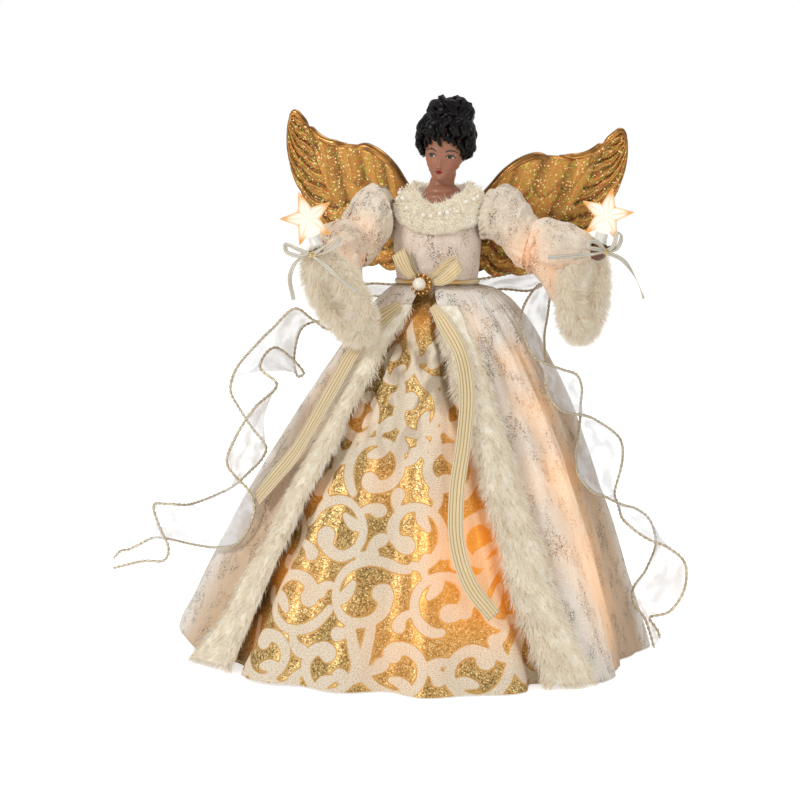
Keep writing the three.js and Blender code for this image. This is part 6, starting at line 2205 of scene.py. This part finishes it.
        def neck(across: float, along: float) -> Vector:
            """A point of the neck, which flares to the shoulders."""
            height = mix(self.neck_rows[-1][0], self.neck_rows[0][0], along)
            wide = read_table(self.neck_rows, height, 2) * min(1.0, 40 * along, 40 * (1 - along))
            spot = around(-180 + 360 * across, wide, height)
            return spot + Vector((read_table(self.neck_rows, height, 1), 0.6, 0))

        piece.sheet(72, 60, neck, closed=True)
        piece.finish(SKIN_FACE, "figure", ("head",), "doll_skin", outward=True)

    def over(self, bun: bool, angle: float, height: float, out: float) -> Vector:
        """A point over the skull or the bun.

        Args:
            bun: Whether it is over the bun.
            angle: Degrees from the front.
            height: Share of its height, from -1 at its foot to 1 at its top.
            out: How far off it, in millimetres.

        Returns:
            The place.
        """
        centre, size = (self.bun, self.bun_size) if bun else (self.skull, self.skull_size)
        flat = max(0.0, math.cos(math.radians(90 * height))) ** 0.62
        radius = ellipse_radius(angle, size[0] + out, size[1] + out) * flat
        rise = (size[2] + out) * math.sin(math.radians(90 * height))
        return Vector(centre) + around(angle, radius, rise)

    def lock(self, piece: Piece, spots: list[Vector], size: float, steps: int = 18) -> None:
        """Adds a grooved lock of hair that tapers at both ends."""

        def wide(along: float) -> float:
            """The radius along it."""
            return size * (0.2 + 0.8 * math.sin(math.pi * min(0.98, max(0.02, along))) ** 0.6)

        piece.rope(spots, wide, 15, steps, ribs=5)

    def build_hair(self) -> None:
        """Builds the curls round the head, the locks swept up, the fringe and the bun."""
        rng = np.random.default_rng(self.seed)
        piece = Piece("hair_locks")
        for bun in (False, True):

            def core(across: float, along: float, bun: bool = bun) -> Vector:
                """A point of what the locks lie on; the face stays free."""
                angle = -180 + 360 * across
                front = 0.0 if bun else ease(78, 40, abs(angle))
                height = mix(1.0, mix(-1.0, 0.02, front), along)
                return self.over(bun, angle, height, 0.8 + 0.9 * wobble(angle * 0.09, height * 4))

            piece.sheet(72, 40, core, closed=True)

        def trail(bun: bool, rows: Rows, shift: float, lift: float) -> list[Vector]:
            """A lock's middle line from rows of angle, height and distance off."""
            return [self.over(bun, a + shift, h + lift, o) for a, h, o in rows]

        for level in range(6):
            start = mix(66, 46, level / 5)
            for i in range(14):
                angle = mix(start, 360 - start, (i + rng.uniform(-0.3, 0.5)) / 13.5)
                height = mix(-0.34, 0.5, level / 5) + rng.uniform(-0.05, 0.05)
                bend = rng.uniform(4, 13) * rng.choice((-1, 1))
                rows = (
                    (0, 0.3, 0.8), (bend, 0.15, 3.0 + rng.uniform(0, 1)),
                    (-bend * 0.5, 0.0, 3.6 + rng.uniform(0, 1)), (bend * 0.5, -0.13, 3.2),
                    (bend * 1.5, -0.18, 4.4 + rng.uniform(0, 0.8)),
                )
                self.lock(piece, trail(False, rows, angle, height), rng.uniform(1.8, 2.8))
        for i in range(13):
            angle = mix(-66, 66, i / 12) + rng.uniform(-3, 3)
            bend = rng.uniform(7, 16) * rng.choice((-1, 1))
            rows = (
                (-bend * 0.8, 0.03, 1.4), (bend * 0.6, 0.16, 4.2), (bend, 0.3, 3.4 + rng.uniform(0, 1.6)),
                (-bend, 0.52, 3.6 + rng.uniform(0, 1.2)), (-bend * 0.4, 0.88, 2.2),
            )
            self.lock(piece, trail(False, rows, angle, 0), rng.uniform(2.1, 2.9), 24)
        for rows in self.fringe:
            spots = []
            for x, z in rows:
                depth = 13.2 * max(0.0, 1 - (x / 14.0) ** 2) ** 0.5 + 0.12 * (z - 324)
                spots.append(Vector((x, self.forward - 0.7 - depth, z)))
            self.lock(piece, spots, 1.25)
        for i in range(17):
            angle = 21 * i + rng.uniform(-7, 7)
            bend = rng.uniform(16, 38) * rng.choice((-1, 1))
            start = rng.uniform(-0.9, -0.5)
            rows = (
                (0, start, 0.6), (bend, mix(start, 0.8, 0.25), 2.4 + rng.uniform(0, 1.2)),
                (-bend * 0.4, mix(start, 0.8, 0.5), 2.8 + rng.uniform(0, 1)),
                (bend * 0.9, mix(start, 0.8, 0.75), 2.4 + rng.uniform(0, 1.4)),
                (bend * 0.2, rng.uniform(0.62, 0.9), 1.8),
            )
            self.lock(piece, trail(True, rows, angle, 0), rng.uniform(2.2, 3.1), 26)
        for turn, height in ((20, 0.5), (140, 0.42), (250, 0.6), (330, 0.3), (80, 0.75)):
            rows = [(turn + 110 * s, height + 0.2 * math.sin(4 * s), 3.4 - s) for s in (0, 0.3, 0.6, 1)]
            self.lock(piece, trail(True, rows, 0, 0), 2.5)
        spots = [vert.co.copy() for vert in piece.mesh.verts]
        piece.store("along", [0.5 + 0.5 * wobble(*(spot * 0.5)) for spot in spots])
        # Painted highlights: lighter grey patches over the dark hair, laid by noise.
        piece.store("tone", [max(0.0, wobble(s.x * 1.3, s.z * 1.3, 7)) * 0.7 for s in spots])
        self.tilt(piece)
        piece.finish(HAIR, "figure", ("hair",), "doll_hair")

    def build(self) -> None:
        """Builds the head."""
        self.build_face()
        self.build_hair()


WING_FACE = Glitter("wing glitter")
WING_EDGE = Plain(
    "rolled gold edge", srgb(190, 134, 66), srgb(120, 78, 34), 90, 0.3, metallic=0.85, coat=0.3
)


@dataclass
class Wing:
    """One moulded wing: long feathers under two rows of short ones, and a rolled edge."""

    side: Side
    tilt: float
    span: float = 111.0
    tall: float = 100.0
    foot: float = 242.5
    back: float = 23.0
    sweep: float = 15.0
    pivot_out: float = 0.1
    pivot_height: float = 272.0
    roll: float = 3.0
    # out and up of the leading and trailing edge at each station, as shares
    stations: tuple = (
        (0.055, 0.25, 0.055, 0.13), (0.13, 0.37, 0.1, 0.08), (0.2, 0.475, 0.155, 0.04),
        (0.26, 0.565, 0.215, 0.015), (0.325, 0.665, 0.28, 0.005), (0.415, 0.75, 0.36, 0),
        (0.515, 0.795, 0.46, 0.02), (0.62, 0.805, 0.56, 0.065), (0.72, 0.81, 0.66, 0.145),
        (0.79, 0.84, 0.755, 0.245), (0.845, 0.89, 0.845, 0.365), (0.89, 0.94, 0.925, 0.505),
        (0.925, 0.98, 0.98, 0.665), (0.95, 1, 1, 0.815), (0.975, 0.985, 0.995, 0.915),
    )
    slant: float = 0.85
    feather_step: float = 0.128
    # how far each row of short feathers reaches, its feathers, and how far it stands off
    short_rows: tuple = ((0.27, 9.0, 1.9), (0.5, 7.0, 1.1))
    # the rolled edge is in parts that overlap: from, to and radius
    edge_rows: tuple = ((0.0, 0.56, 3.1), (0.5, 0.79, 2.5), (0.73, 1.0, 2.1))

    def blade(self, station: float, across: float, off: float) -> Vector:
        """A point of the wing.

        Args:
            station: 0 at the root, 1 at the tip.
            across: 0 at the leading edge, 1 at the trailing edge.
            off: How far in front of the blade's middle, in millimetres.

        Returns:
            The place, tilted as the wing is.
        """
        leads = [Vector((row[0], row[1], 0)) for row in self.stations]
        trails = [Vector((row[2], row[3], 0)) for row in self.stations]
        here = spline(leads, station).lerp(spline(trails, station), across)
        y = self.back + self.sweep * max(0.0, here.x) ** 1.3 - off
        place = Vector((self.side.value * here.x * self.span, y, self.foot + here.y * self.tall))
        pivot = Vector((self.side.value * self.span * self.pivot_out, 0, self.pivot_height))
        turn = Matrix.Rotation(math.radians(-self.side.value * self.tilt), 4, "Y")
        return turn @ (place - pivot) + pivot

    def relief(self, station: float, across: float) -> tuple[float, float]:
        """The feathers at a place of the wing.

        Args:
            station: 0 at the root, 1 at the tip.
            across: 0 at the leading edge, 1 at the trailing edge.

        Returns:
            How far the place stands off in millimetres, and how lit it is.
        """

        def feather(number: float) -> tuple[float, float]:
            """Height and light across one feather, which laps over the next one."""
            part = number - math.floor(number)
            crown = math.sin(math.pi * part**1.5) ** 0.7 if 0 < part < 1 else 0.0
            quill = math.exp(-(((part - 0.56) / 0.07) ** 2))
            return crown * 1.25 + quill * 0.4, 0.1 + 0.9 * crown

        long = (station + self.slant * (1 - across)) / self.feather_step
        barbs = math.sin((station * 1.2 - across) * 110 + 6 * wobble(station * 9, across * 9)) * 0.3
        height, light = feather(long + 0.3 * wobble(station * 3, across * 3))
        height += barbs
        light *= 1 + 1.1 * barbs
        reach = 1 - ease(0.5, 0.86, station)
        for edge, count, rise in reversed(self.short_rows):
            number = station * count + across * 0.9
            part = number - math.floor(number)
            end = edge * reach * (1 + 0.3 * (1 - (2 * part - 1) ** 2))
            inside = ease(end + 0.012, end - 0.02, across)
            if inside > 0:
                top, shine = feather(number)
                shine *= 0.45 + 0.55 * ease(end, end - 0.1, across)
                height = mix(height, rise + top, inside)
                light = mix(light, 0.25 + shine, inside)
        return height, light

    def build_face(self, front: bool) -> None:
        """Builds one face of the wing.

        Args:
            front: Whether it is the face that the viewer sees.
        """
        sign = 1 if front else -1
        columns, rows = (264, 96) if front else (160, 60)

        def place(across: float, along: float) -> Vector:
            """A point of the face; the trailing edge is cut into feather ends."""
            part = along / self.feather_step - math.floor(along / self.feather_step)
            end = 1.0 + 0.05 * ((1 - abs(2 * part - 1) ** 2.2) - 0.75)
            height, _ = self.relief(along, across)
            thin = ease(1.0, 0.9, across) * ease(0.0, 0.04, across) * ease(1.0, 0.96, along)
            return self.blade(along, across * end, sign * (0.45 + height * thin))

        name = f"wing_{'front' if front else 'back'}_{self.side.word}"
        piece = Piece(name).sheet(rows, columns, place)
        lit = []
        for i in range(len(piece.mesh.verts)):
            along, across = divmod(i, rows + 1)
            _, light = self.relief(along / columns, across / rows)
            # Painted light and shade for the finish: lit feather crests, shaded grooves, and lighter
            # towards the wing's root.
            lit.append(light * (0.8 + 0.3 * ease(0.75, 0.2, along / columns)))
        piece.store("lit", lit)
        made = piece.finish(WING_FACE, "figure", (f"wing_{self.side.word}",), "wing_gold")
        give_wall(made, 0.6)

    def build_edge(self) -> None:
        """Builds the parts of the smooth rolled leading edge."""
        piece = Piece(f"wing_roll_{self.side.word}")
        for start, end, radius in self.edge_rows:
            spots = []
            for i in range(31):
                share = i / 30
                tuck = 0.14 * ease(0.72, 1, share) * (end < 1)
                spots.append(self.blade(mix(start, end, share), tuck, 0.6))
            if end == 1:
                spots += [self.blade(1.0, share, 0.4) for share in (0.4, 0.8)]
                spots += [self.blade(1 - i / 30, 1.0, 0.2) for i in (1, 3, 5)]

            def wide(along: float, radius: float = radius) -> float:
                """The roll is fullest in its middle."""
                return radius * (0.3 + 0.7 * (ease(0, 0.2, along) * ease(1.0, 0.7, along)))

            piece.rope(spots, wide, 16, 110)
        piece.finish(WING_EDGE, "figure", (f"wing_{self.side.word}",), "wing_gold")

    def build(self) -> None:
        """Builds the wing."""
        for front in (True, False):
            self.build_face(front)
        self.build_edge()


ORGANZA = Sheer("organza")
EDGE_CORD = Plain("twisted cord", srgb(224, 214, 190), srgb(158, 142, 110), 1400, 0.38, metallic=0.5)

# Lower and upper edge of the shawl as it hangs, as shares of its reach: x, y, z and x, y, z.
SHAWL_EDGES = (
    (-1.005, -0.28, 0.265, -1.055, -0.145, 0.27), (-0.895, -0.29, 0.295, -1.03, -0.145, 0.295),
    (-0.83, -0.295, 0.3, -0.995, -0.16, 0.305), (-0.81, -0.305, 0.34, -0.965, -0.165, 0.32),
    (-0.84, -0.32, 0.425, -0.915, -0.155, 0.345), (-0.85, -0.33, 0.485, -0.855, -0.185, 0.35),
    (-0.8, -0.355, 0.495, -0.745, -0.24, 0.345), (-0.76, -0.355, 0.495, -0.65, -0.295, 0.35),
    (-0.74, -0.325, 0.49, -0.57, -0.335, 0.375), (-0.725, -0.275, 0.49, -0.53, -0.34, 0.43),
    (-0.705, -0.235, 0.495, -0.515, -0.33, 0.495), (-0.68, -0.195, 0.505, -0.535, -0.34, 0.55),
    (-0.64, -0.175, 0.525, -0.57, -0.355, 0.59), (-0.575, -0.18, 0.58, -0.595, -0.365, 0.635),
    (-0.525, -0.205, 0.63, -0.56, -0.37, 0.725), (-0.51, -0.215, 0.665, -0.505, -0.355, 0.81),
    (-0.565, -0.18, 0.72, -0.455, -0.28, 0.875), (-0.61, -0.155, 0.77, -0.52, -0.245, 0.925),
    (-0.655, -0.125, 0.835, -0.495, -0.155, 0.98), (-0.635, -0.125, 0.905, -0.415, -0.105, 0.895),
    (-0.565, -0.11, 0.99, -0.44, -0.085, 0.88), (-0.51, -0.125, 1.04, -0.465, -0.04, 0.935),
    (-0.43, -0.145, 1.105, -0.455, 0.015, 1.025), (-0.385, -0.115, 1.07, -0.425, 0.055, 1.045),
    (-0.335, -0.085, 1.035, -0.375, 0.07, 1.05), (-0.28, 0.09, 1.125, -0.285, 0.12, 1.16),
    (-0.17, 0.165, 1.12, -0.17, 0.165, 1.165), (-0.09, 0.19, 1.122, -0.09, 0.15, 1.18),
    (0, 0.215, 1.122, 0, 0.145, 1.185), (0.095, 0.205, 1.122, 0.09, 0.16, 1.185),
    (0.16, 0.195, 1.15, 0.16, 0.195, 1.195), (0.27, 0.17, 1.15, 0.255, 0.175, 1.215),
    (0.33, 0.11, 1.18, 0.36, 0.155, 1.215), (0.315, 0.065, 1.175, 0.345, 0.13, 1.14),
    (0.29, -0.03, 1.125, 0.345, 0.08, 1.08), (0.29, -0.105, 1.075, 0.345, 0.02, 1.025),
    (0.315, -0.15, 1.02, 0.36, -0.065, 0.98), (0.345, -0.155, 0.965, 0.37, -0.125, 0.93),
    (0.385, -0.135, 0.945, 0.38, -0.165, 0.89), (0.42, -0.055, 0.92, 0.395, -0.185, 0.85),
    (0.455, -0.01, 0.9, 0.425, -0.155, 0.805), (0.465, 0.035, 0.855, 0.475, -0.065, 0.78),
    (0.465, 0.01, 0.805, 0.485, -0.025, 0.7725), (0.47, -0.04, 0.75, 0.505, 0.06, 0.75),
    (0.47, -0.085, 0.705, 0.575, 0.12, 0.685), (0.47, -0.125, 0.67, 0.595, 0.05, 0.625),
    (0.49, -0.185, 0.605, 0.58, 0.01, 0.54), (0.525, -0.11, 0.54, 0.575, 0.025, 0.515),
    (0.55, -0.065, 0.525, 0.58, 0.03, 0.495), (0.58, -0.015, 0.5, 0.59, 0.015, 0.475),
    (0.605, 0.035, 0.48, 0.61, -0.03, 0.445), (0.635, 0.095, 0.46, 0.685, -0.06, 0.395),
    (0.675, 0.13, 0.42, 0.755, -0.03, 0.36), (0.695, 0.135, 0.345, 0.805, -0.01, 0.31),
    (0.67, 0.1, 0.265, 0.805, -0.01, 0.225), (0.64, 0, 0.215, 0.76, -0.035, 0.155),
    (0.645, -0.005, 0.17, 0.7, -0.045, 0.135), (0.675, 0.025, 0.12, 0.715, -0.055, 0.115),
    (0.695, 0.035, 0.06, 0.73, -0.06, 0.095), (0.705, 0.04, 0.02, 0.735, -0.06, 0.075),
)


@dataclass
class Shawl:
    """The sheer shawl that hangs from the arms, with a twisted cord along each edge."""

    reach: float = 200.0
    steps: int = 840
    cord_radius: float = 1.0
    twist: float = 3.6

    def edge(self, lower: bool) -> list[Vector]:
        """The points of one edge."""
        first = 0 if lower else 3
        return [Vector(row[first : first + 3]) * self.reach for row in SHAWL_EDGES]

    def build_cord(self, lower: bool) -> bpy.types.Object:
        """Builds one cord, of two strands twisted together."""
        spots = self.edge(lower)
        steps = 1500
        line = [spline(spots, i / steps) for i in range(steps + 1)]
        ways = [line[min(i + 1, steps)] - line[max(i - 1, 0)] for i in range(steps + 1)]
        frames, length, lengths = [], 0.0, []
        side = Vector((0.1, 0.2, 0.97))
        for i, way in enumerate(ways):
            side, other = square_to(way, side)
            frames.append((side, other))
            length += (line[i] - line[i - 1]).length if i else 0.0
            lengths.append(length)

        def place(across: float, along: float) -> Vector:
            """A point of the cord's skin."""
            i = round(along * steps)
            turn = -2 * math.pi * across
            lay = 2 * math.pi * lengths[i] / self.twist
            size = self.cord_radius * (0.78 + 0.24 * math.cos(2 * turn + lay))
            first, second = frames[i]
            return line[i] + spun(first, second, turn) * size

        name = "lower" if lower else "upper"
        piece = Piece(f"shawl_edge_{name}").sheet(8, steps, place, closed=True)
        piece.close_rims()
        log.info("shawl's %s cord: %.0f mm", name, length)
        return piece.finish(EDGE_CORD, "figure", (f"shawl_cord_{name}",), "edge_cord")

    def build(self) -> None:
        low, high = self.edge(True), self.edge(False)

        def place(across: float, along: float) -> Vector:
            """A point of the cloth, with ripples that fade at the cords."""
            a, b = spline(low, along), spline(high, along)
            out = heading(low, along, 0.004).cross(b - a)
            wide = (b - a).length
            if out.length > 1e-6:
                out.normalize()
            ripple = math.sin(along * 150 + across * 2) * 0.5 + wobble(along * 34, across * 2, 3) * 1.8
            calm = math.sin(math.pi * across) * min(1.0, wide / 25)
            return a.lerp(b, mix(0.01, 0.99, across)) + out * (ripple * calm)

        piece = Piece("shawl_cloth").sheet(16, self.steps, place)
        area = piece.area()
        made = piece.finish(ORGANZA, "figure", ("shawl",), "organza_cloth")
        cords = [self.build_cord(True), self.build_cord(False)]
        middle = [(a + b) / 2 for a, b in zip(low, high)]
        length = sum((after - before).length for before, after in zip(middle, middle[1:])) * MM
        log.info("shawl: %.3f m long, %.4f m2", length, area)
        area / length


@dataclass
class Studio:
    """The floor, the soft lamps and the camera at the photograph's angle."""

    azimuth: float = 13.0
    elevation: float = 7.0
    distance: float = 1500.0
    target_height: float = 178.0
    shift_right: float = -23.8
    shift_up: float = -16.7
    lens: float = 105.0
    sensor: float = 36.0
    floor_glow: tuple = (0.66, 0.66, 0.66, 1)
    sky_colour: tuple = (1.0, 0.985, 0.96, 1)
    sky_power: float = 0.5
    # name, place in metres, watts and side in metres
    lamps: tuple = (
        ("key lamp", (-1.3, -1.9, 1.5), 27, 0.7), ("fill lamp", (1.7, -1.4, 0.8), 6, 1.2),
        ("top lamp", (0.2, 0.6, 2.2), 10, 1.2),
    )

    def camera(self) -> None:
        """Places the camera so that the doll fills the photograph's frame."""
        turn, rise = math.radians(self.azimuth), math.radians(self.elevation)
        back = Vector((math.sin(turn) * math.cos(rise), -math.cos(turn) * math.cos(rise), math.sin(rise)))
        right = Vector((math.cos(turn), math.sin(turn), 0))
        up = back.cross(right)
        target = Vector((0, 0, self.target_height))
        aim = target + right * self.shift_right + up * self.shift_up
        data = bpy.data.cameras.new("camera")
        data.lens = self.lens
        data.sensor_width = self.sensor
        data.clip_end = 50
        made = bpy.data.objects.new("camera", data)
        axes = Matrix((right, up, back)).transposed().to_4x4()
        made.matrix_world = Matrix.Translation((aim + back * self.distance) * MM) @ axes
        bpy.context.scene.collection.objects.link(made)
        bpy.context.scene.camera = made

    def lamp(self, name: str, place: tuple, power: float, size: float) -> None:
        """Adds a soft square lamp that points at the doll.

        Args:
            name: Its name.
            place: Where it stands, in metres.
            power: Its power in watts.
            size: Its side in metres.
        """
        data = bpy.data.lights.new(name, "AREA")
        data.energy = power
        data.size = size
        made = bpy.data.objects.new(name, data)
        made.location = place
        toward = Vector((0, 0, 0.2)) - Vector(place)
        made.rotation_euler = toward.to_track_quat("-Z", "Y").to_euler()
        bpy.context.scene.collection.objects.link(made)

    def floor(self) -> None:
        """A wide white floor that keeps the doll's shadow."""
        shape = bmesh.new()
        bmesh.ops.create_grid(shape, x_segments=1, y_segments=1, size=6)
        data = bpy.data.meshes.new("floor")
        shape.to_mesh(data)
        shape.free()
        made = bpy.data.objects.new("floor", data)
        bpy.context.scene.collection.objects.link(made)
        shader = Shader("white floor")
        ways = shader.node("ShaderNodeLightPath").outputs
        seen = shader.clip(
            Wire(shader, ways["Is Camera Ray"])
            + Wire(shader, ways["Is Glossy Ray"])
            + Wire(shader, ways["Is Transmission Ray"])
        )
        shader.dress(
            Base_Color=srgb(246, 246, 246), Roughness=0.9, Specular_IOR_Level=0.0,
            Emission_Color=shader.blend((0, 0, 0, 1), self.floor_glow, seen), Emission_Strength=1.0,
        )
        data.materials.append(shader.made)

    def sky(self) -> None:
        """White where it is seen, and softer where it lights the doll."""
        world = bpy.data.worlds.new("white room")
        bpy.context.scene.world = world
        world.use_nodes = True
        tree = world.node_tree
        tree.nodes.clear()
        kinds = ("LightPath", "Math", "Background", "Background", "MixShader", "OutputWorld")
        ways, seen, light, white, both, out = (tree.nodes.new(f"ShaderNode{kind}") for kind in kinds)
        seen.operation = "MAXIMUM"
        glows = ((light, self.sky_colour, self.sky_power), (white, (1, 1, 1, 1), 1.0))
        for node, colour, strength in glows:
            node.inputs["Color"].default_value = colour
            node.inputs["Strength"].default_value = strength
        links = (
            (ways.outputs["Is Camera Ray"], seen.inputs[0]),
            (ways.outputs["Is Transmission Ray"], seen.inputs[1]), (seen.outputs[0], both.inputs[0]),
            (light.outputs[0], both.inputs[1]), (white.outputs[0], both.inputs[2]),
            (both.outputs[0], out.inputs["Surface"]),
        )
        for start, end in links:
            tree.links.new(start, end)

    def build(self) -> None:
        """Builds the studio."""
        bpy.context.scene.view_settings.view_transform = "Standard"
        self.camera()
        self.floor()
        self.sky()
        for lamp in self.lamps:
            self.lamp(*lamp)


def main() -> None:
    """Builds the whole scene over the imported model."""
    logging.basicConfig(level=logging.INFO, format="%(name)s: %(message)s")
    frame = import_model()
    for part in PARTS:
        part.build()
        log.info("built %s", type(part).__name__)
    dress_kept_nodes(frame["nodes"])
    Studio().build()


PARTS = (
    Underskirt(), Coat(), FurTrims(), Bodice(), Waist(), Collar(), Head(), LEFT_ARM, RIGHT_ARM,
    Wing(Side.LEFT, 1.5), Wing(Side.RIGHT, -5.5), Shawl(), SkirtLamps(),
)

CARD = Plain("white card", srgb(238, 234, 224), srgb(218, 212, 198), 120, 0.8, relief=0.3)
FORM = Plain("body form", srgb(222, 212, 196), srgb(204, 192, 174), 120, 0.6)
STEEL = Plain("steel wire", srgb(170, 170, 168), srgb(140, 140, 138), 400, 0.35, 0.9)
SOCKET = Plain("white holder", srgb(244, 243, 238), srgb(228, 226, 218), 300, 0.4, coat=0.3)
CABLE = Plain("pale cable", srgb(236, 234, 226), srgb(214, 210, 198), 300, 0.5)
SKIN = Plain("doll skin", srgb(112, 70, 54), srgb(84, 50, 38), 200, 0.5, coat=0.1)
KEPT = {
    CARD: ("cone_rim", "cone_lower", "cone_middle", "cone_upper"), FORM: ("torso_form",),
    STEEL: ("arm_wire_left", "arm_wire_right", "wing_screw_left", "wing_screw_right"),
    SOCKET: (
        "cable_clip", "skirt_socket_right", "skirt_socket_front_right", "skirt_socket_front_left",
        "skirt_socket_left",
    ),
    CABLE: ("light_cable", "lamp_lead_left", "lamp_lead_right"), SKIN: ("forearm_left", "forearm_right"),
}


def dress_kept_nodes(nodes: dict) -> None:
    """Gives each of the model's own nodes that stays in sight its finish.

    Args:
        nodes: The frame's nodes by name.
    """
    for finish, names in KEPT.items():
        for name in names:
            dress(nodes[name], finish)


if __name__ == "__main__":
    main()
